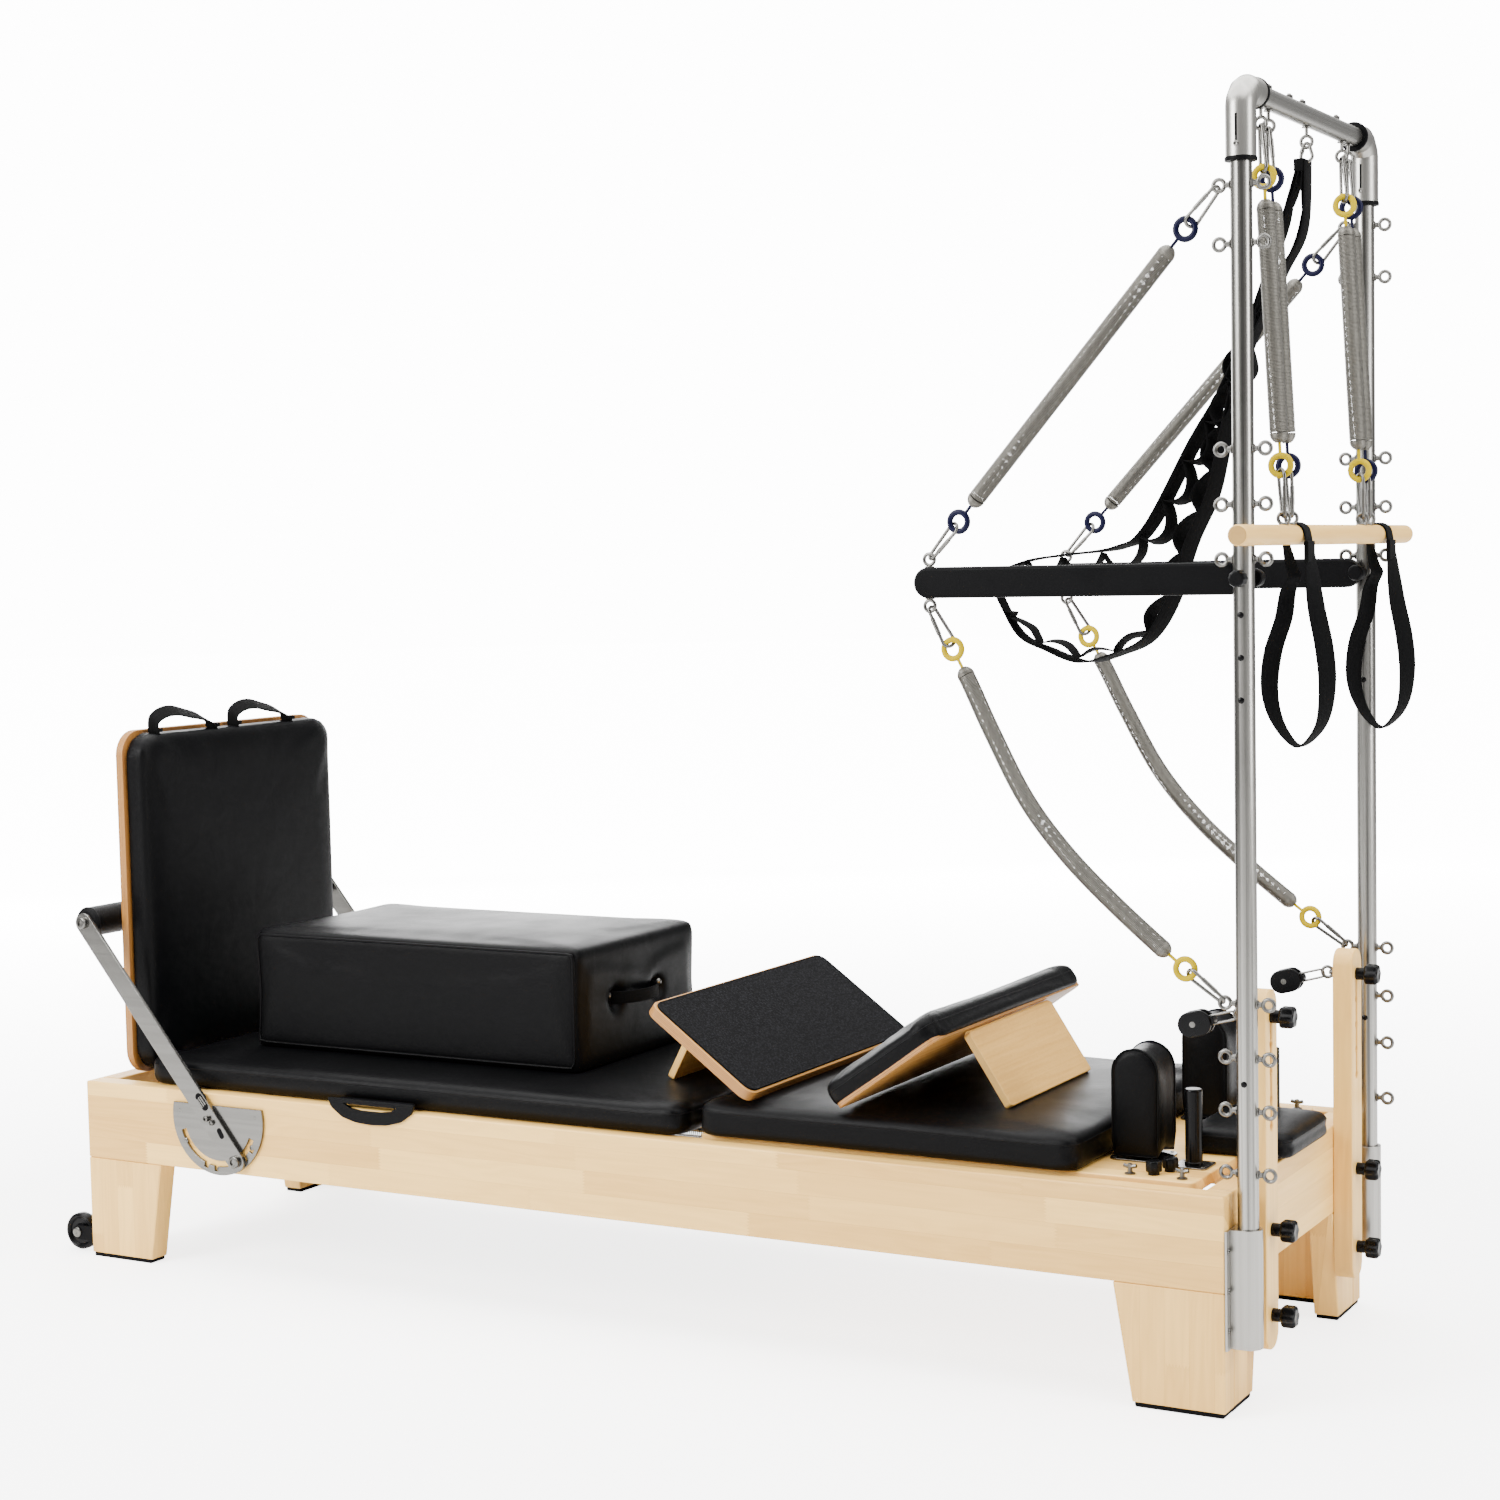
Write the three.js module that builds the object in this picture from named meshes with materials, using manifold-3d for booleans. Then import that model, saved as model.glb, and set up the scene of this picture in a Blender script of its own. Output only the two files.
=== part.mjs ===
// Pilates reformer bed with a half tower, drawn at full size in millimetres, +Z up.
// X runs from the foot end to the head end, Y from the near side to the far side.
import * as THREE from "three";
import { mergeVertices } from "three/addons/utils/BufferGeometryUtils.js";
import Module from "manifold-3d";

const wasm = await Module();
wasm.setup();

// Driving dimensions of the bed
const MAT_START = 130;
const MAT_LENGTH = 1270;
const CARRIAGE_PLAY = 8;
const CARRIAGE_LENGTH = 924;
const HEAD_ROOM = 68;
const CARRIAGE_START = MAT_START + MAT_LENGTH + CARRIAGE_PLAY;
const BED_LENGTH = CARRIAGE_START + CARRIAGE_LENGTH + HEAD_ROOM;
const BED_WIDTH = 746;
const BED_HEIGHT = 360;
const RAIL_DEPTH = 156;
const RAIL_THICK = 45;
const LEG_WIDTH = 190;
const LEG_RETURN = 168;
const LEG_TAPER = 32;

// Driving dimensions of the tower
const TOWER_HEIGHT = 2124;
const TUBE_RADIUS = 17;
const TUBE_WALL = 2;
const TUBE_OFFSET = 27;
const POST_INSET = 40;

// Clearances that the whole part shares
const GAP = 0.3;
const OVERRUN = 4;
const RUNNING = 1;
const FIT = 0.45;

// Facets
const ROUND = 16;
const SMALL_ROUND = 8;
const QUARTER = Math.PI / 2;
const DEGREE = Math.PI / 180;
const SIDES = [
  { side: "near", sign: -1 },
  { side: "far", sign: 1 },
];

// Places worked out from the driving dimensions
const FOOT_END = -BED_LENGTH / 2;
const HEAD_END = BED_LENGTH / 2;
const RAIL_FACE = BED_WIDTH / 2;
const RAIL_INNER = RAIL_FACE - RAIL_THICK;
const RAIL_BOTTOM = BED_HEIGHT - RAIL_DEPTH;
const POST_X = HEAD_END + TUBE_OFFSET;
const POST_Y = RAIL_FACE - POST_INSET;

function toSolid(geometry) {
  const bare = geometry.clone();
  bare.deleteAttribute("normal");
  bare.deleteAttribute("uv");
  const merged = mergeVertices(bare);
  const vertProperties = new Float32Array(merged.attributes.position.array);
  const triVerts = new Uint32Array(merged.index.array);
  return new wasm.Manifold(new wasm.Mesh({ numProp: 3, vertProperties, triVerts }));
}

function toGeometry(solid) {
  const mesh = solid.getMesh();
  const geometry = new THREE.BufferGeometry();
  geometry.setAttribute("position", new THREE.BufferAttribute(new Float32Array(mesh.vertProperties), 3));
  geometry.setIndex(new THREE.BufferAttribute(new Uint32Array(mesh.triVerts), 1));
  return geometry;
}

function join(...geometries) {
  let whole = toSolid(geometries[0]);
  for (const geometry of geometries.slice(1)) whole = whole.add(toSolid(geometry));
  return toGeometry(whole);
}

function cut(geometry, ...cutters) {
  let whole = toSolid(geometry);
  for (const cutter of cutters) whole = whole.subtract(toSolid(cutter));
  return toGeometry(whole);
}

// A box from pairs of limits, in any order
function slab(x, y, z) {
  const size = [x, y, z].map(([a, b]) => Math.abs(b - a));
  const middle = [x, y, z].map(([a, b]) => (a + b) / 2);
  return new THREE.BoxGeometry(...size).translate(...middle);
}

// A cylinder along an axis between two limits, its centre given by the other two coordinates
function rod(axis, radius, [from, to], [u, v], facets = ROUND, endRadius = radius) {
  const length = Math.abs(to - from);
  const cylinder = new THREE.CylinderGeometry(endRadius, radius, length, facets);
  const middle = (from + to) / 2;
  if (axis === "x") return cylinder.rotateZ(-QUARTER).translate(middle, u, v);
  if (axis === "y") return cylinder.translate(u, middle, v);
  return cylinder.rotateX(QUARTER).translate(u, v, middle);
}

function outline(points) {
  return new THREE.Shape(points.map(([x, y]) => new THREE.Vector2(x, y)));
}

// A rectangle with round corners, from its limits
function roundedOutline([x0, x1], [y0, y1], radius) {
  const r = Math.min(radius, (x1 - x0) / 2, (y1 - y0) / 2);
  const shape = new THREE.Shape();
  shape.moveTo(x0 + r, y0);
  shape.lineTo(x1 - r, y0);
  shape.absarc(x1 - r, y0 + r, r, -QUARTER, 0, false);
  shape.lineTo(x1, y1 - r);
  shape.absarc(x1 - r, y1 - r, r, 0, QUARTER, false);
  shape.lineTo(x0 + r, y1);
  shape.absarc(x0 + r, y1 - r, r, QUARTER, Math.PI, false);
  shape.lineTo(x0, y0 + r);
  shape.absarc(x0 + r, y0 + r, r, Math.PI, Math.PI + QUARTER, false);
  return shape;
}

const CORNER_STEPS = 3;
const PAD_CORNER_STEPS = 2;
const ARCH_STEPS = 10;

function extrude(shape, length) {
  return new THREE.ExtrudeGeometry(shape, { depth: length, bevelEnabled: false, curveSegments: CORNER_STEPS });
}

// Extrusions of an outline drawn in the XZ, YZ or XY plane
function alongY(shape, [y0, y1]) {
  return extrude(shape, Math.abs(y1 - y0)).rotateX(QUARTER).translate(0, Math.max(y0, y1), 0);
}

function alongX(shape, [x0, x1]) {
  const turn = new THREE.Matrix4().makeBasis(
    new THREE.Vector3(0, 1, 0),
    new THREE.Vector3(0, 0, 1),
    new THREE.Vector3(1, 0, 0),
  );
  return extrude(shape, Math.abs(x1 - x0)).applyMatrix4(turn).translate(Math.min(x0, x1), 0, 0);
}

// A ribbon or a round tube swept along points
function sweep(points, section, steps) {
  const path = new THREE.CatmullRomCurve3(points.map(([x, y, z]) => new THREE.Vector3(x, y, z)));
  return new THREE.ExtrudeGeometry(section, { steps, bevelEnabled: false, extrudePath: path });
}

function roundSection(radius, facets) {
  const corners = Array.from({ length: facets }, (_, i) => {
    const turn = (i / facets) * 2 * Math.PI;
    return [radius * Math.cos(turn), radius * Math.sin(turn)];
  });
  return outline(corners);
}

// A frame of axes whose first axis runs along a direction, the second as near to Y as it can
function facing(direction, origin) {
  const along = direction.clone().normalize();
  const across = new THREE.Vector3(0, 1, 0).addScaledVector(along, -along.y).normalize();
  const out = new THREE.Vector3().crossVectors(along, across);
  return new THREE.Matrix4().makeBasis(along, across, out).setPosition(origin);
}

// Materials
const MAPLE = { color: 0xe6cda6, roughness: 0.45, metalness: 0 };
const PLY = { color: 0xcf9a58, roughness: 0.5, metalness: 0 };
const LEATHER = { color: 0x17181a, roughness: 0.5, metalness: 0 };
const GRIP = { color: 0x202224, roughness: 0.9, metalness: 0 };
const WEBBING = { color: 0x0f0f11, roughness: 0.85, metalness: 0 };
const BLACK_PLASTIC = { color: 0x101012, roughness: 0.25, metalness: 0 };
const RUBBER = { color: 0x121212, roughness: 0.8, metalness: 0 };
const STEEL = { color: 0xb8b6b0, roughness: 0.3, metalness: 1 };
const SPRING_STEEL = { color: 0x9a968f, roughness: 0.35, metalness: 1 };
const ALUMINIUM = { color: 0xc9cbcd, roughness: 0.35, metalness: 1 };

const bed = new THREE.Group();

function piece(name, geometry, look) {
  const mesh = new THREE.Mesh(geometry, new THREE.MeshStandardMaterial(look));
  mesh.name = name;
  bed.add(mesh);
  return mesh;
}

// Side rails and end boards
const JUMP_TONGUE = 65;
const JUMP_TONGUE_WIDTH = 240;
const JUMP_BOARD_BASE = 5;
const HOLDER_DEPTH = 15;
const HOLDER_MARGIN = 10;

function makeRails() {
  for (const { side, sign } of SIDES) {
    const rail = slab([FOOT_END, HEAD_END], [sign * RAIL_INNER, sign * RAIL_FACE], [RAIL_BOTTOM, BED_HEIGHT]);
    piece(`${side}_side_rail`, rail, MAPLE);
  }
  const across = [-RAIL_INNER + GAP, RAIL_INNER - GAP];
  const headBoard = slab([HEAD_END - RAIL_THICK, HEAD_END], across, [RAIL_BOTTOM, BED_HEIGHT]);
  piece("head_end_board", headBoard, MAPLE);
  const footBoard = slab([FOOT_END, FOOT_END + RAIL_THICK], across, [RAIL_BOTTOM, BED_HEIGHT]);
  const holder = slab(
    [FOOT_END + RAIL_THICK - OVERRUN, JUMP_BACK + JUMP_BOARD_THICK + HOLDER_MARGIN],
    [-JUMP_TONGUE_WIDTH / 2 - HOLDER_MARGIN, JUMP_TONGUE_WIDTH / 2 + HOLDER_MARGIN],
    [TONGUE_END - GAP - HOLDER_DEPTH, TONGUE_END - GAP],
  );
  piece("foot_end_board", join(footBoard, holder), MAPLE);
}

// Legs: a front board and a return, both drawn in towards the floor, on a rubber foot
const FOOT_PAD = 8;
const FOOT_PAD_INSET = 3;
const WHEEL_RADIUS = 37.5;
const WHEEL_LIFT = 2.5;
const WHEEL_WIDTH = 24;
const WHEEL_REACH = 52;
const WHEEL_INSET = 30;
const AXLE_RADIUS = 5;
const FORK_THICK = 4;
const FORK_HEIGHT = 30;
const FORK_NOSE = 12;
const WHEEL_X = FOOT_END - WHEEL_REACH;
const WHEEL_Y = RAIL_FACE - WHEEL_INSET;
const WHEEL_Z = WHEEL_RADIUS + WHEEL_LIFT;

// How far a leg board of a full width has drawn in at a height above the floor
function legReach(full, z) {
  return full - LEG_TAPER * (1 - (z - FOOT_PAD) / (RAIL_BOTTOM - FOOT_PAD));
}

function legBoards(end, sign, bottom, top, inset) {
  const inward = -Math.sign(end);
  const board = (outer, way, full) => outline([
    [outer + way * inset, bottom],
    [outer + way * (legReach(full, bottom) - inset), bottom],
    [outer + way * (legReach(full, top) - inset), top],
    [outer + way * inset, top],
  ]);
  const front = alongY(
    board(end, inward, LEG_WIDTH),
    [sign * (RAIL_FACE - inset), sign * (RAIL_FACE - RAIL_THICK + inset)],
  );
  const back = alongX(
    board(sign * RAIL_FACE, -sign, LEG_RETURN),
    [end + inward * inset, end + inward * (RAIL_THICK - inset)],
  );
  return join(front, back);
}

function wheelFork(sign) {
  const plates = [-1, 1].map((cheek) => {
    const near = sign * WHEEL_Y + cheek * (WHEEL_WIDTH / 2 + RUNNING);
    return slab(
      [FOOT_END + OVERRUN, WHEEL_X - FORK_NOSE],
      [near, near + cheek * FORK_THICK],
      [WHEEL_Z - FORK_HEIGHT / 2, WHEEL_Z + FORK_HEIGHT / 2],
    );
  });
  const reach = WHEEL_WIDTH / 2 + RUNNING + FORK_THICK;
  const axle = rod("y", AXLE_RADIUS, [sign * WHEEL_Y - reach, sign * WHEEL_Y + reach], [WHEEL_X, WHEEL_Z], SMALL_ROUND);
  return [...plates, axle];
}

function makeLegs() {
  for (const { side, sign } of SIDES) {
    for (const [endName, end] of [["foot", FOOT_END], ["head", HEAD_END]]) {
      const wood = legBoards(end, sign, FOOT_PAD, RAIL_BOTTOM - GAP, 0);
      const pad = legBoards(end, sign, 0, FOOT_PAD + GAP, FOOT_PAD_INSET);
      const fork = endName === "foot" ? wheelFork(sign) : [];
      piece(`${side}_${endName}_leg`, join(wood, pad, ...fork), MAPLE);
    }
  }
}

function makeWheels() {
  for (const { side, sign } of SIDES) {
    const span = [sign * WHEEL_Y - WHEEL_WIDTH / 2, sign * WHEEL_Y + WHEEL_WIDTH / 2];
    const tyre = rod("y", WHEEL_RADIUS, span, [WHEEL_X, WHEEL_Z]);
    const reach = [span[0] - OVERRUN, span[1] + OVERRUN];
    const bore = rod("y", AXLE_RADIUS + RUNNING, reach, [WHEEL_X, WHEEL_Z], SMALL_ROUND);
    piece(`${side}_transport_wheel`, cut(tyre, bore), RUBBER);
  }
}

// Running tracks inside the rails, and the springs hooked between their bar and the carriage
const TRACK_THICK = 4;
const TRACK_LEDGE = 30;
const TRACK_TOP = 324;
const TRACK_UPSTAND = 18;
const SPRING_BAR_RADIUS = 8;
const SPRING_BAR_REACH = 160;
const SPRING_BAR_Z = 300;
const CARRIAGE_SPRING_RADIUS = 12;
const CARRIAGE_SPRING_SPACING = 120;
const SPRING_STEP_SHARES = [-1.5, -0.5, 0.5, 1.5];

function makeTracks() {
  const span = [FOOT_END + RAIL_THICK + GAP, HEAD_END - RAIL_THICK - GAP];
  for (const { side, sign } of SIDES) {
    const wall = sign * (RAIL_INNER - GAP);
    const upright = slab(span, [wall, wall - sign * TRACK_THICK], [TRACK_TOP - TRACK_THICK, TRACK_TOP + TRACK_UPSTAND]);
    const ledge = slab(span, [wall, wall - sign * TRACK_LEDGE], [TRACK_TOP - TRACK_THICK, TRACK_TOP]);
    piece(`${side}_carriage_track`, join(upright, ledge), ALUMINIUM);
  }
}

function makeCarriageSprings() {
  const barX = FOOT_END + SPRING_BAR_REACH;
  const bar = rod("y", SPRING_BAR_RADIUS, [-RAIL_INNER + GAP, RAIL_INNER - GAP], [barX, SPRING_BAR_Z], SMALL_ROUND);
  const springs = SPRING_STEP_SHARES.map((step) => rod(
    "x",
    CARRIAGE_SPRING_RADIUS,
    [barX, CARRIAGE_FOOT + CARRIAGE_HOOK_INSET - GAP],
    [step * CARRIAGE_SPRING_SPACING, SPRING_BAR_Z],
    SMALL_ROUND,
  ));
  piece("carriage_springs", join(bar, ...springs), SPRING_STEEL);
}

// Cushions: a crowned top, rounded rims and sides that draw in between the corners
const RIM_STEPS = 2;

function cushion({ xs, ys, height, corner, rim, crown, draw, panelShare = CROWN_SHARE }) {
  const halfX = (xs[1] - xs[0]) / 2;
  const halfY = (ys[1] - ys[0]) / 2;
  const ring = cushionOutline(halfX, halfY, Math.min(corner, halfX, halfY));
  const edgeTop = height - crown;
  const levels = [];
  for (let i = 0; i <= RIM_STEPS; i += 1) {
    const turn = (i / RIM_STEPS) * QUARTER;
    levels.push({ inset: rim * (1 - Math.sin(turn)), z: rim * (1 - Math.cos(turn)) });
  }
  levels.push({ inset: draw, z: edgeTop / 2 });
  for (let i = RIM_STEPS; i >= 0; i -= 1) {
    const turn = (i / RIM_STEPS) * QUARTER;
    levels.push({ inset: rim * (1 - Math.sin(turn)), z: edgeTop - rim * (1 - Math.cos(turn)) });
  }
  const panelRise = panelShare === CROWN_SHARE ? 1 - CROWN_SHARE ** 2 : 1;
  levels.push({ shrink: panelShare, z: edgeTop + crown * panelRise });
  const points = [new THREE.Vector3(0, 0, 0)];
  for (const level of levels) {
    for (const [x, y] of ring) points.push(cushionPoint(x, y, halfX, halfY, level, draw));
  }
  points.push(new THREE.Vector3(0, 0, height));
  const faces = [];
  const count = ring.length;
  for (let i = 0; i < count; i += 1) faces.push(0, 1 + ((i + 1) % count), 1 + i);
  for (let k = 0; k < levels.length - 1; k += 1) {
    for (let i = 0; i < count; i += 1) {
      const a = 1 + k * count + i;
      const b = 1 + k * count + ((i + 1) % count);
      faces.push(a, b, b + count, a, b + count, a + count);
    }
  }
  const last = points.length - 1;
  const top = last - count;
  for (let i = 0; i < count; i += 1) faces.push(last, top + i, top + ((i + 1) % count));
  const geometry = new THREE.BufferGeometry().setFromPoints(points);
  geometry.setIndex(faces);
  return geometry.translate((xs[0] + xs[1]) / 2, (ys[0] + ys[1]) / 2, 0);
}

// Where the crown's inner ring lies: a domed top, or a flat panel that other pieces stand on
const CROWN_SHARE = 0.55;
const PANEL_SHARE = 0.88;
const SIDE_SHARES = [-0.5, 0, 0.5];

function cushionOutline(halfX, halfY, corner) {
  const points = [];
  const quarters = [[1, -1], [1, 1], [-1, 1], [-1, -1]];
  quarters.forEach(([sx, sy], q) => {
    const straight = q % 2 === 0 ? halfY - corner : halfX - corner;
    for (let i = 0; i <= PAD_CORNER_STEPS; i += 1) {
      const turn = (q - 1) * QUARTER + (i / PAD_CORNER_STEPS) * QUARTER;
      points.push([sx * (halfX - corner) + corner * Math.cos(turn), sy * (halfY - corner) + corner * Math.sin(turn)]);
    }
    for (const share of SIDE_SHARES) {
      const run = share * straight;
      if (q === 0) points.push([halfX, run]);
      if (q === 1) points.push([-run, halfY]);
      if (q === 2) points.push([-halfX, -run]);
      if (q === 3) points.push([run, -halfY]);
    }
  });
  return points;
}

function cushionPoint(x, y, halfX, halfY, { inset = 0, shrink = 1, z }, draw) {
  if (shrink !== 1) return new THREE.Vector3(x * shrink, y * shrink, z);
  const slack = inset === draw ? draw : 0;
  const pull = slack ? 0 : inset;
  const alongX = 1 - (x / halfX) ** 2;
  const alongY = 1 - (y / halfY) ** 2;
  const px = x * (1 - (pull + slack * alongY) / halfX);
  const py = y * (1 - (pull + slack * alongX) / halfY);
  return new THREE.Vector3(px, py, z);
}

// Mat that fills the bed's foot side, with a carrying handle over the near rail
const MAT_THICK = 59.7;
const MAT_INSET = 12;
const MAT_CORNER = 40;
const PAD_RIM = 14;
const PAD_CROWN = 4;
const PAD_DRAW = 4;
const MAT_TOP = BED_HEIGHT + GAP + MAT_THICK;
const HANDLE_MIDDLE = 720;
const HANDLE_SPAN = 180;
const HANDLE_DROP = 20;
const HANDLE_WEB = 16;
const HANDLE_THICK = 4;
const HANDLE_RISE = 16;
const HANDLE_GRIP_SHARE = 0.6;
const HANDLE_ROOT_SHARE = 0.64;
const HANDLE_LUG_INSET = 4;

function makeMat() {
  const xs = [FOOT_END + MAT_START, FOOT_END + MAT_START + MAT_LENGTH];
  const ys = [-RAIL_FACE + MAT_INSET, RAIL_FACE - MAT_INSET];
  const pad = cushion({
    xs,
    ys,
    height: MAT_THICK,
    corner: MAT_CORNER,
    rim: PAD_RIM,
    crown: PAD_CROWN,
    draw: PAD_DRAW,
    panelShare: PANEL_SHARE,
  }).translate(0, 0, BED_HEIGHT + GAP);
  const middle = FOOT_END + HANDLE_MIDDLE;
  const high = BED_HEIGHT + HANDLE_RISE;
  const low = BED_HEIGHT - HANDLE_DROP;
  const half = HANDLE_SPAN / 2;
  const web = HANDLE_WEB / 2;
  const grip = half * HANDLE_GRIP_SHARE;
  const root = half * HANDLE_ROOT_SHARE;
  const outer = outline([
    [middle - half, high], [middle - grip, low - web], [middle + grip, low - web], [middle + half, high],
  ]);
  const inner = outline([
    [middle - root, high - web], [middle - grip + web, low + web],
    [middle + grip - web, low + web], [middle + root, high - web],
  ]);
  outer.holes.push(inner);
  const face = -RAIL_FACE - GAP;
  const loop = alongY(outer, [face, face - HANDLE_THICK]);
  const lug = slab(
    [middle - half + HANDLE_LUG_INSET, middle + half - HANDLE_LUG_INSET],
    [face - HANDLE_THICK, ys[0] + PAD_DRAW + OVERRUN],
    [high - web, high],
  );
  piece("mat_pad", join(pad, loop, lug), LEATHER);
}

// Carriage: a board on rollers, with plates, pegs, cleats and clamp knobs at its head side
const CARRIAGE_BOARD_THICK = 20;
const CARRIAGE_BOARD_TOP = 366;
const CARRIAGE_SIDE_PLAY = 6;
const CARRIAGE_FOOT = FOOT_END + CARRIAGE_START;
const CARRIAGE_HEAD = CARRIAGE_FOOT + CARRIAGE_LENGTH;
const CARRIAGE_BOARD_BASE = CARRIAGE_BOARD_TOP - CARRIAGE_BOARD_THICK;
const CARRIAGE_HALF = RAIL_INNER - GAP - CARRIAGE_SIDE_PLAY;
const CARRIAGE_HOOK_INSET = 20;
const CARRIAGE_HOOK_THICK = 8;
const ROLLER_RADIUS = (CARRIAGE_BOARD_BASE - TRACK_TOP) / 2 - GAP / 2;
const ROLLER_WIDTH = 14;
const ROLLER_INSET = 60;
const PLATE_THICK = 3;
const PEG_SETBACK = 42;
const PEG_SPREAD = 203;
const PEG_RADIUS = 14.5;
const PEG_HEIGHT = 130;
const PEG_PLATE = 60;
const CLEAT_SHARES = [0.8734, 0.9708];
const CLEAT_INSET = 20;
const CLEAT_RADIUS = 4;
const CLEAT_HEIGHT = 18;
const CLEAT_LENGTH = 22;
const CLAMP_SPOT_SHARES = [[0.9134, 0.9015], [0.9307, 0.7958]];
const CLAMP_RADIUS = 14;
const CLAMP_HEIGHT = 24;

function carriageFurniture(sign) {
  const top = CARRIAGE_BOARD_TOP;
  const base = top - OVERRUN;
  const pegX = CARRIAGE_HEAD - PEG_SETBACK;
  const restPlate = slab(
    [REST_HEAD - REST_LENGTH, REST_HEAD],
    [sign * REST_SPREAD, sign * (REST_SPREAD + REST_WIDTH)],
    [base, top + PLATE_THICK],
  );
  const pegPlate = slab(
    [pegX - PEG_PLATE / 2, pegX + PEG_PLATE / 2],
    [sign * (PEG_SPREAD - PEG_PLATE / 2), sign * (PEG_SPREAD + PEG_PLATE / 2)],
    [base, top + PLATE_THICK],
  );
  const peg = rod("z", PEG_RADIUS, [base, top + PEG_HEIGHT], [pegX, sign * PEG_SPREAD]);
  const knobs = CLAMP_SPOT_SHARES.map(([along, across]) => {
    const spot = [CARRIAGE_FOOT + along * CARRIAGE_LENGTH, sign * across * CARRIAGE_HALF];
    return rod("z", CLAMP_RADIUS, [base, top + CLAMP_HEIGHT], spot, SMALL_ROUND);
  });
  const cleatY = sign * (CARRIAGE_HALF - CLEAT_INSET);
  const cleats = CLEAT_SHARES.flatMap((along) => {
    const x = CARRIAGE_FOOT + along * CARRIAGE_LENGTH;
    const horn = [x - CLEAT_LENGTH / 2, x + CLEAT_LENGTH / 2];
    return [
      rod("z", CLEAT_RADIUS, [base, top + CLEAT_HEIGHT], [x, cleatY], SMALL_ROUND),
      rod("x", CLEAT_RADIUS, horn, [cleatY, top + CLEAT_HEIGHT - CLEAT_RADIUS], SMALL_ROUND),
    ];
  });
  const rollers = [CARRIAGE_FOOT + ROLLER_INSET, CARRIAGE_HEAD - ROLLER_INSET].flatMap((x) => {
    const outer = sign * CARRIAGE_HALF;
    const inner = sign * (CARRIAGE_HALF - ROLLER_WIDTH);
    const z = CARRIAGE_BOARD_BASE - ROLLER_RADIUS;
    return [
      rod("y", ROLLER_RADIUS, [outer, inner], [x, z], SMALL_ROUND),
      slab([x - ROLLER_RADIUS, x + ROLLER_RADIUS], [outer, inner], [z, CARRIAGE_BOARD_BASE + OVERRUN]),
    ];
  });
  return [restPlate, pegPlate, peg, ...knobs, ...cleats, ...rollers];
}

function makeCarriage() {
  const board = slab(
    [CARRIAGE_FOOT, CARRIAGE_HEAD],
    [-CARRIAGE_HALF, CARRIAGE_HALF],
    [CARRIAGE_BOARD_BASE, CARRIAGE_BOARD_TOP],
  );
  const hookX = CARRIAGE_FOOT + CARRIAGE_HOOK_INSET;
  const hookReach = CARRIAGE_SPRING_SPACING * 2;
  const hookBar = slab(
    [hookX, hookX + CARRIAGE_HOOK_THICK],
    [-hookReach, hookReach],
    [SPRING_BAR_Z - CARRIAGE_SPRING_RADIUS, CARRIAGE_BOARD_BASE + OVERRUN],
  );
  const furniture = SIDES.flatMap(({ sign }) => carriageFurniture(sign));
  piece("carriage_frame", join(board, hookBar, ...furniture), MAPLE);
}

const CARRIAGE_PAD_LIP = 3;
const CARRIAGE_PAD_SETBACK = 187;
const CARRIAGE_PAD_THICK = 65;
const CARRIAGE_PAD_INSET = 20;
const CARRIAGE_PAD_CORNER = 30;
const CARRIAGE_PAD_TOP = CARRIAGE_BOARD_TOP + GAP + CARRIAGE_PAD_THICK;

function makeCarriagePad() {
  const xs = [CARRIAGE_FOOT - CARRIAGE_PAD_LIP, CARRIAGE_HEAD - CARRIAGE_PAD_SETBACK];
  const ys = [-RAIL_FACE + CARRIAGE_PAD_INSET, RAIL_FACE - CARRIAGE_PAD_INSET];
  const pad = cushion({
    xs,
    ys,
    height: CARRIAGE_PAD_THICK,
    corner: CARRIAGE_PAD_CORNER,
    rim: PAD_RIM,
    crown: PAD_CROWN,
    draw: PAD_DRAW,
    panelShare: PANEL_SHARE,
  });
  piece("carriage_pad", pad.translate(0, 0, CARRIAGE_BOARD_TOP + GAP), LEATHER);
}

// Shoulder rests: arched blocks standing on the carriage plates
const REST_SETBACK = 100;
const REST_LENGTH = 85;
const REST_SPREAD = 125;
const REST_WIDTH = 93;
const REST_HEIGHT = 188;
const REST_RIM = 8;
const REST_CROWN = 4;
const REST_DRAW = 3;
const REST_HEAD = CARRIAGE_HEAD - REST_SETBACK;

// Headrest, hinged at its foot side
const HEADREST_REACH = 96;
const HEADREST_LENGTH = 190;
const HEADREST_WIDTH = 244;
const HEADREST_THICK = 48;
const HEADREST_CORNER = 30;

function makeRests() {
  const base = CARRIAGE_BOARD_TOP + PLATE_THICK + GAP;
  for (const { side, sign } of SIDES) {
    const arch = archedBlock(REST_LENGTH, REST_HEIGHT, REST_WIDTH);
    arch.translate(REST_HEAD - REST_LENGTH / 2, sign * (REST_SPREAD + REST_WIDTH / 2), base);
    piece(`${side}_shoulder_rest`, arch, LEATHER);
  }
  const headrest = cushion({
    xs: [CARRIAGE_HEAD + HEADREST_REACH - HEADREST_LENGTH, CARRIAGE_HEAD + HEADREST_REACH],
    ys: [-HEADREST_WIDTH / 2, HEADREST_WIDTH / 2],
    height: HEADREST_THICK,
    corner: HEADREST_CORNER,
    rim: PAD_RIM,
    crown: PAD_CROWN,
    draw: PAD_DRAW,
  });
  piece("headrest", headrest.translate(0, 0, CARRIAGE_BOARD_TOP + GAP), LEATHER);
}

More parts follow.
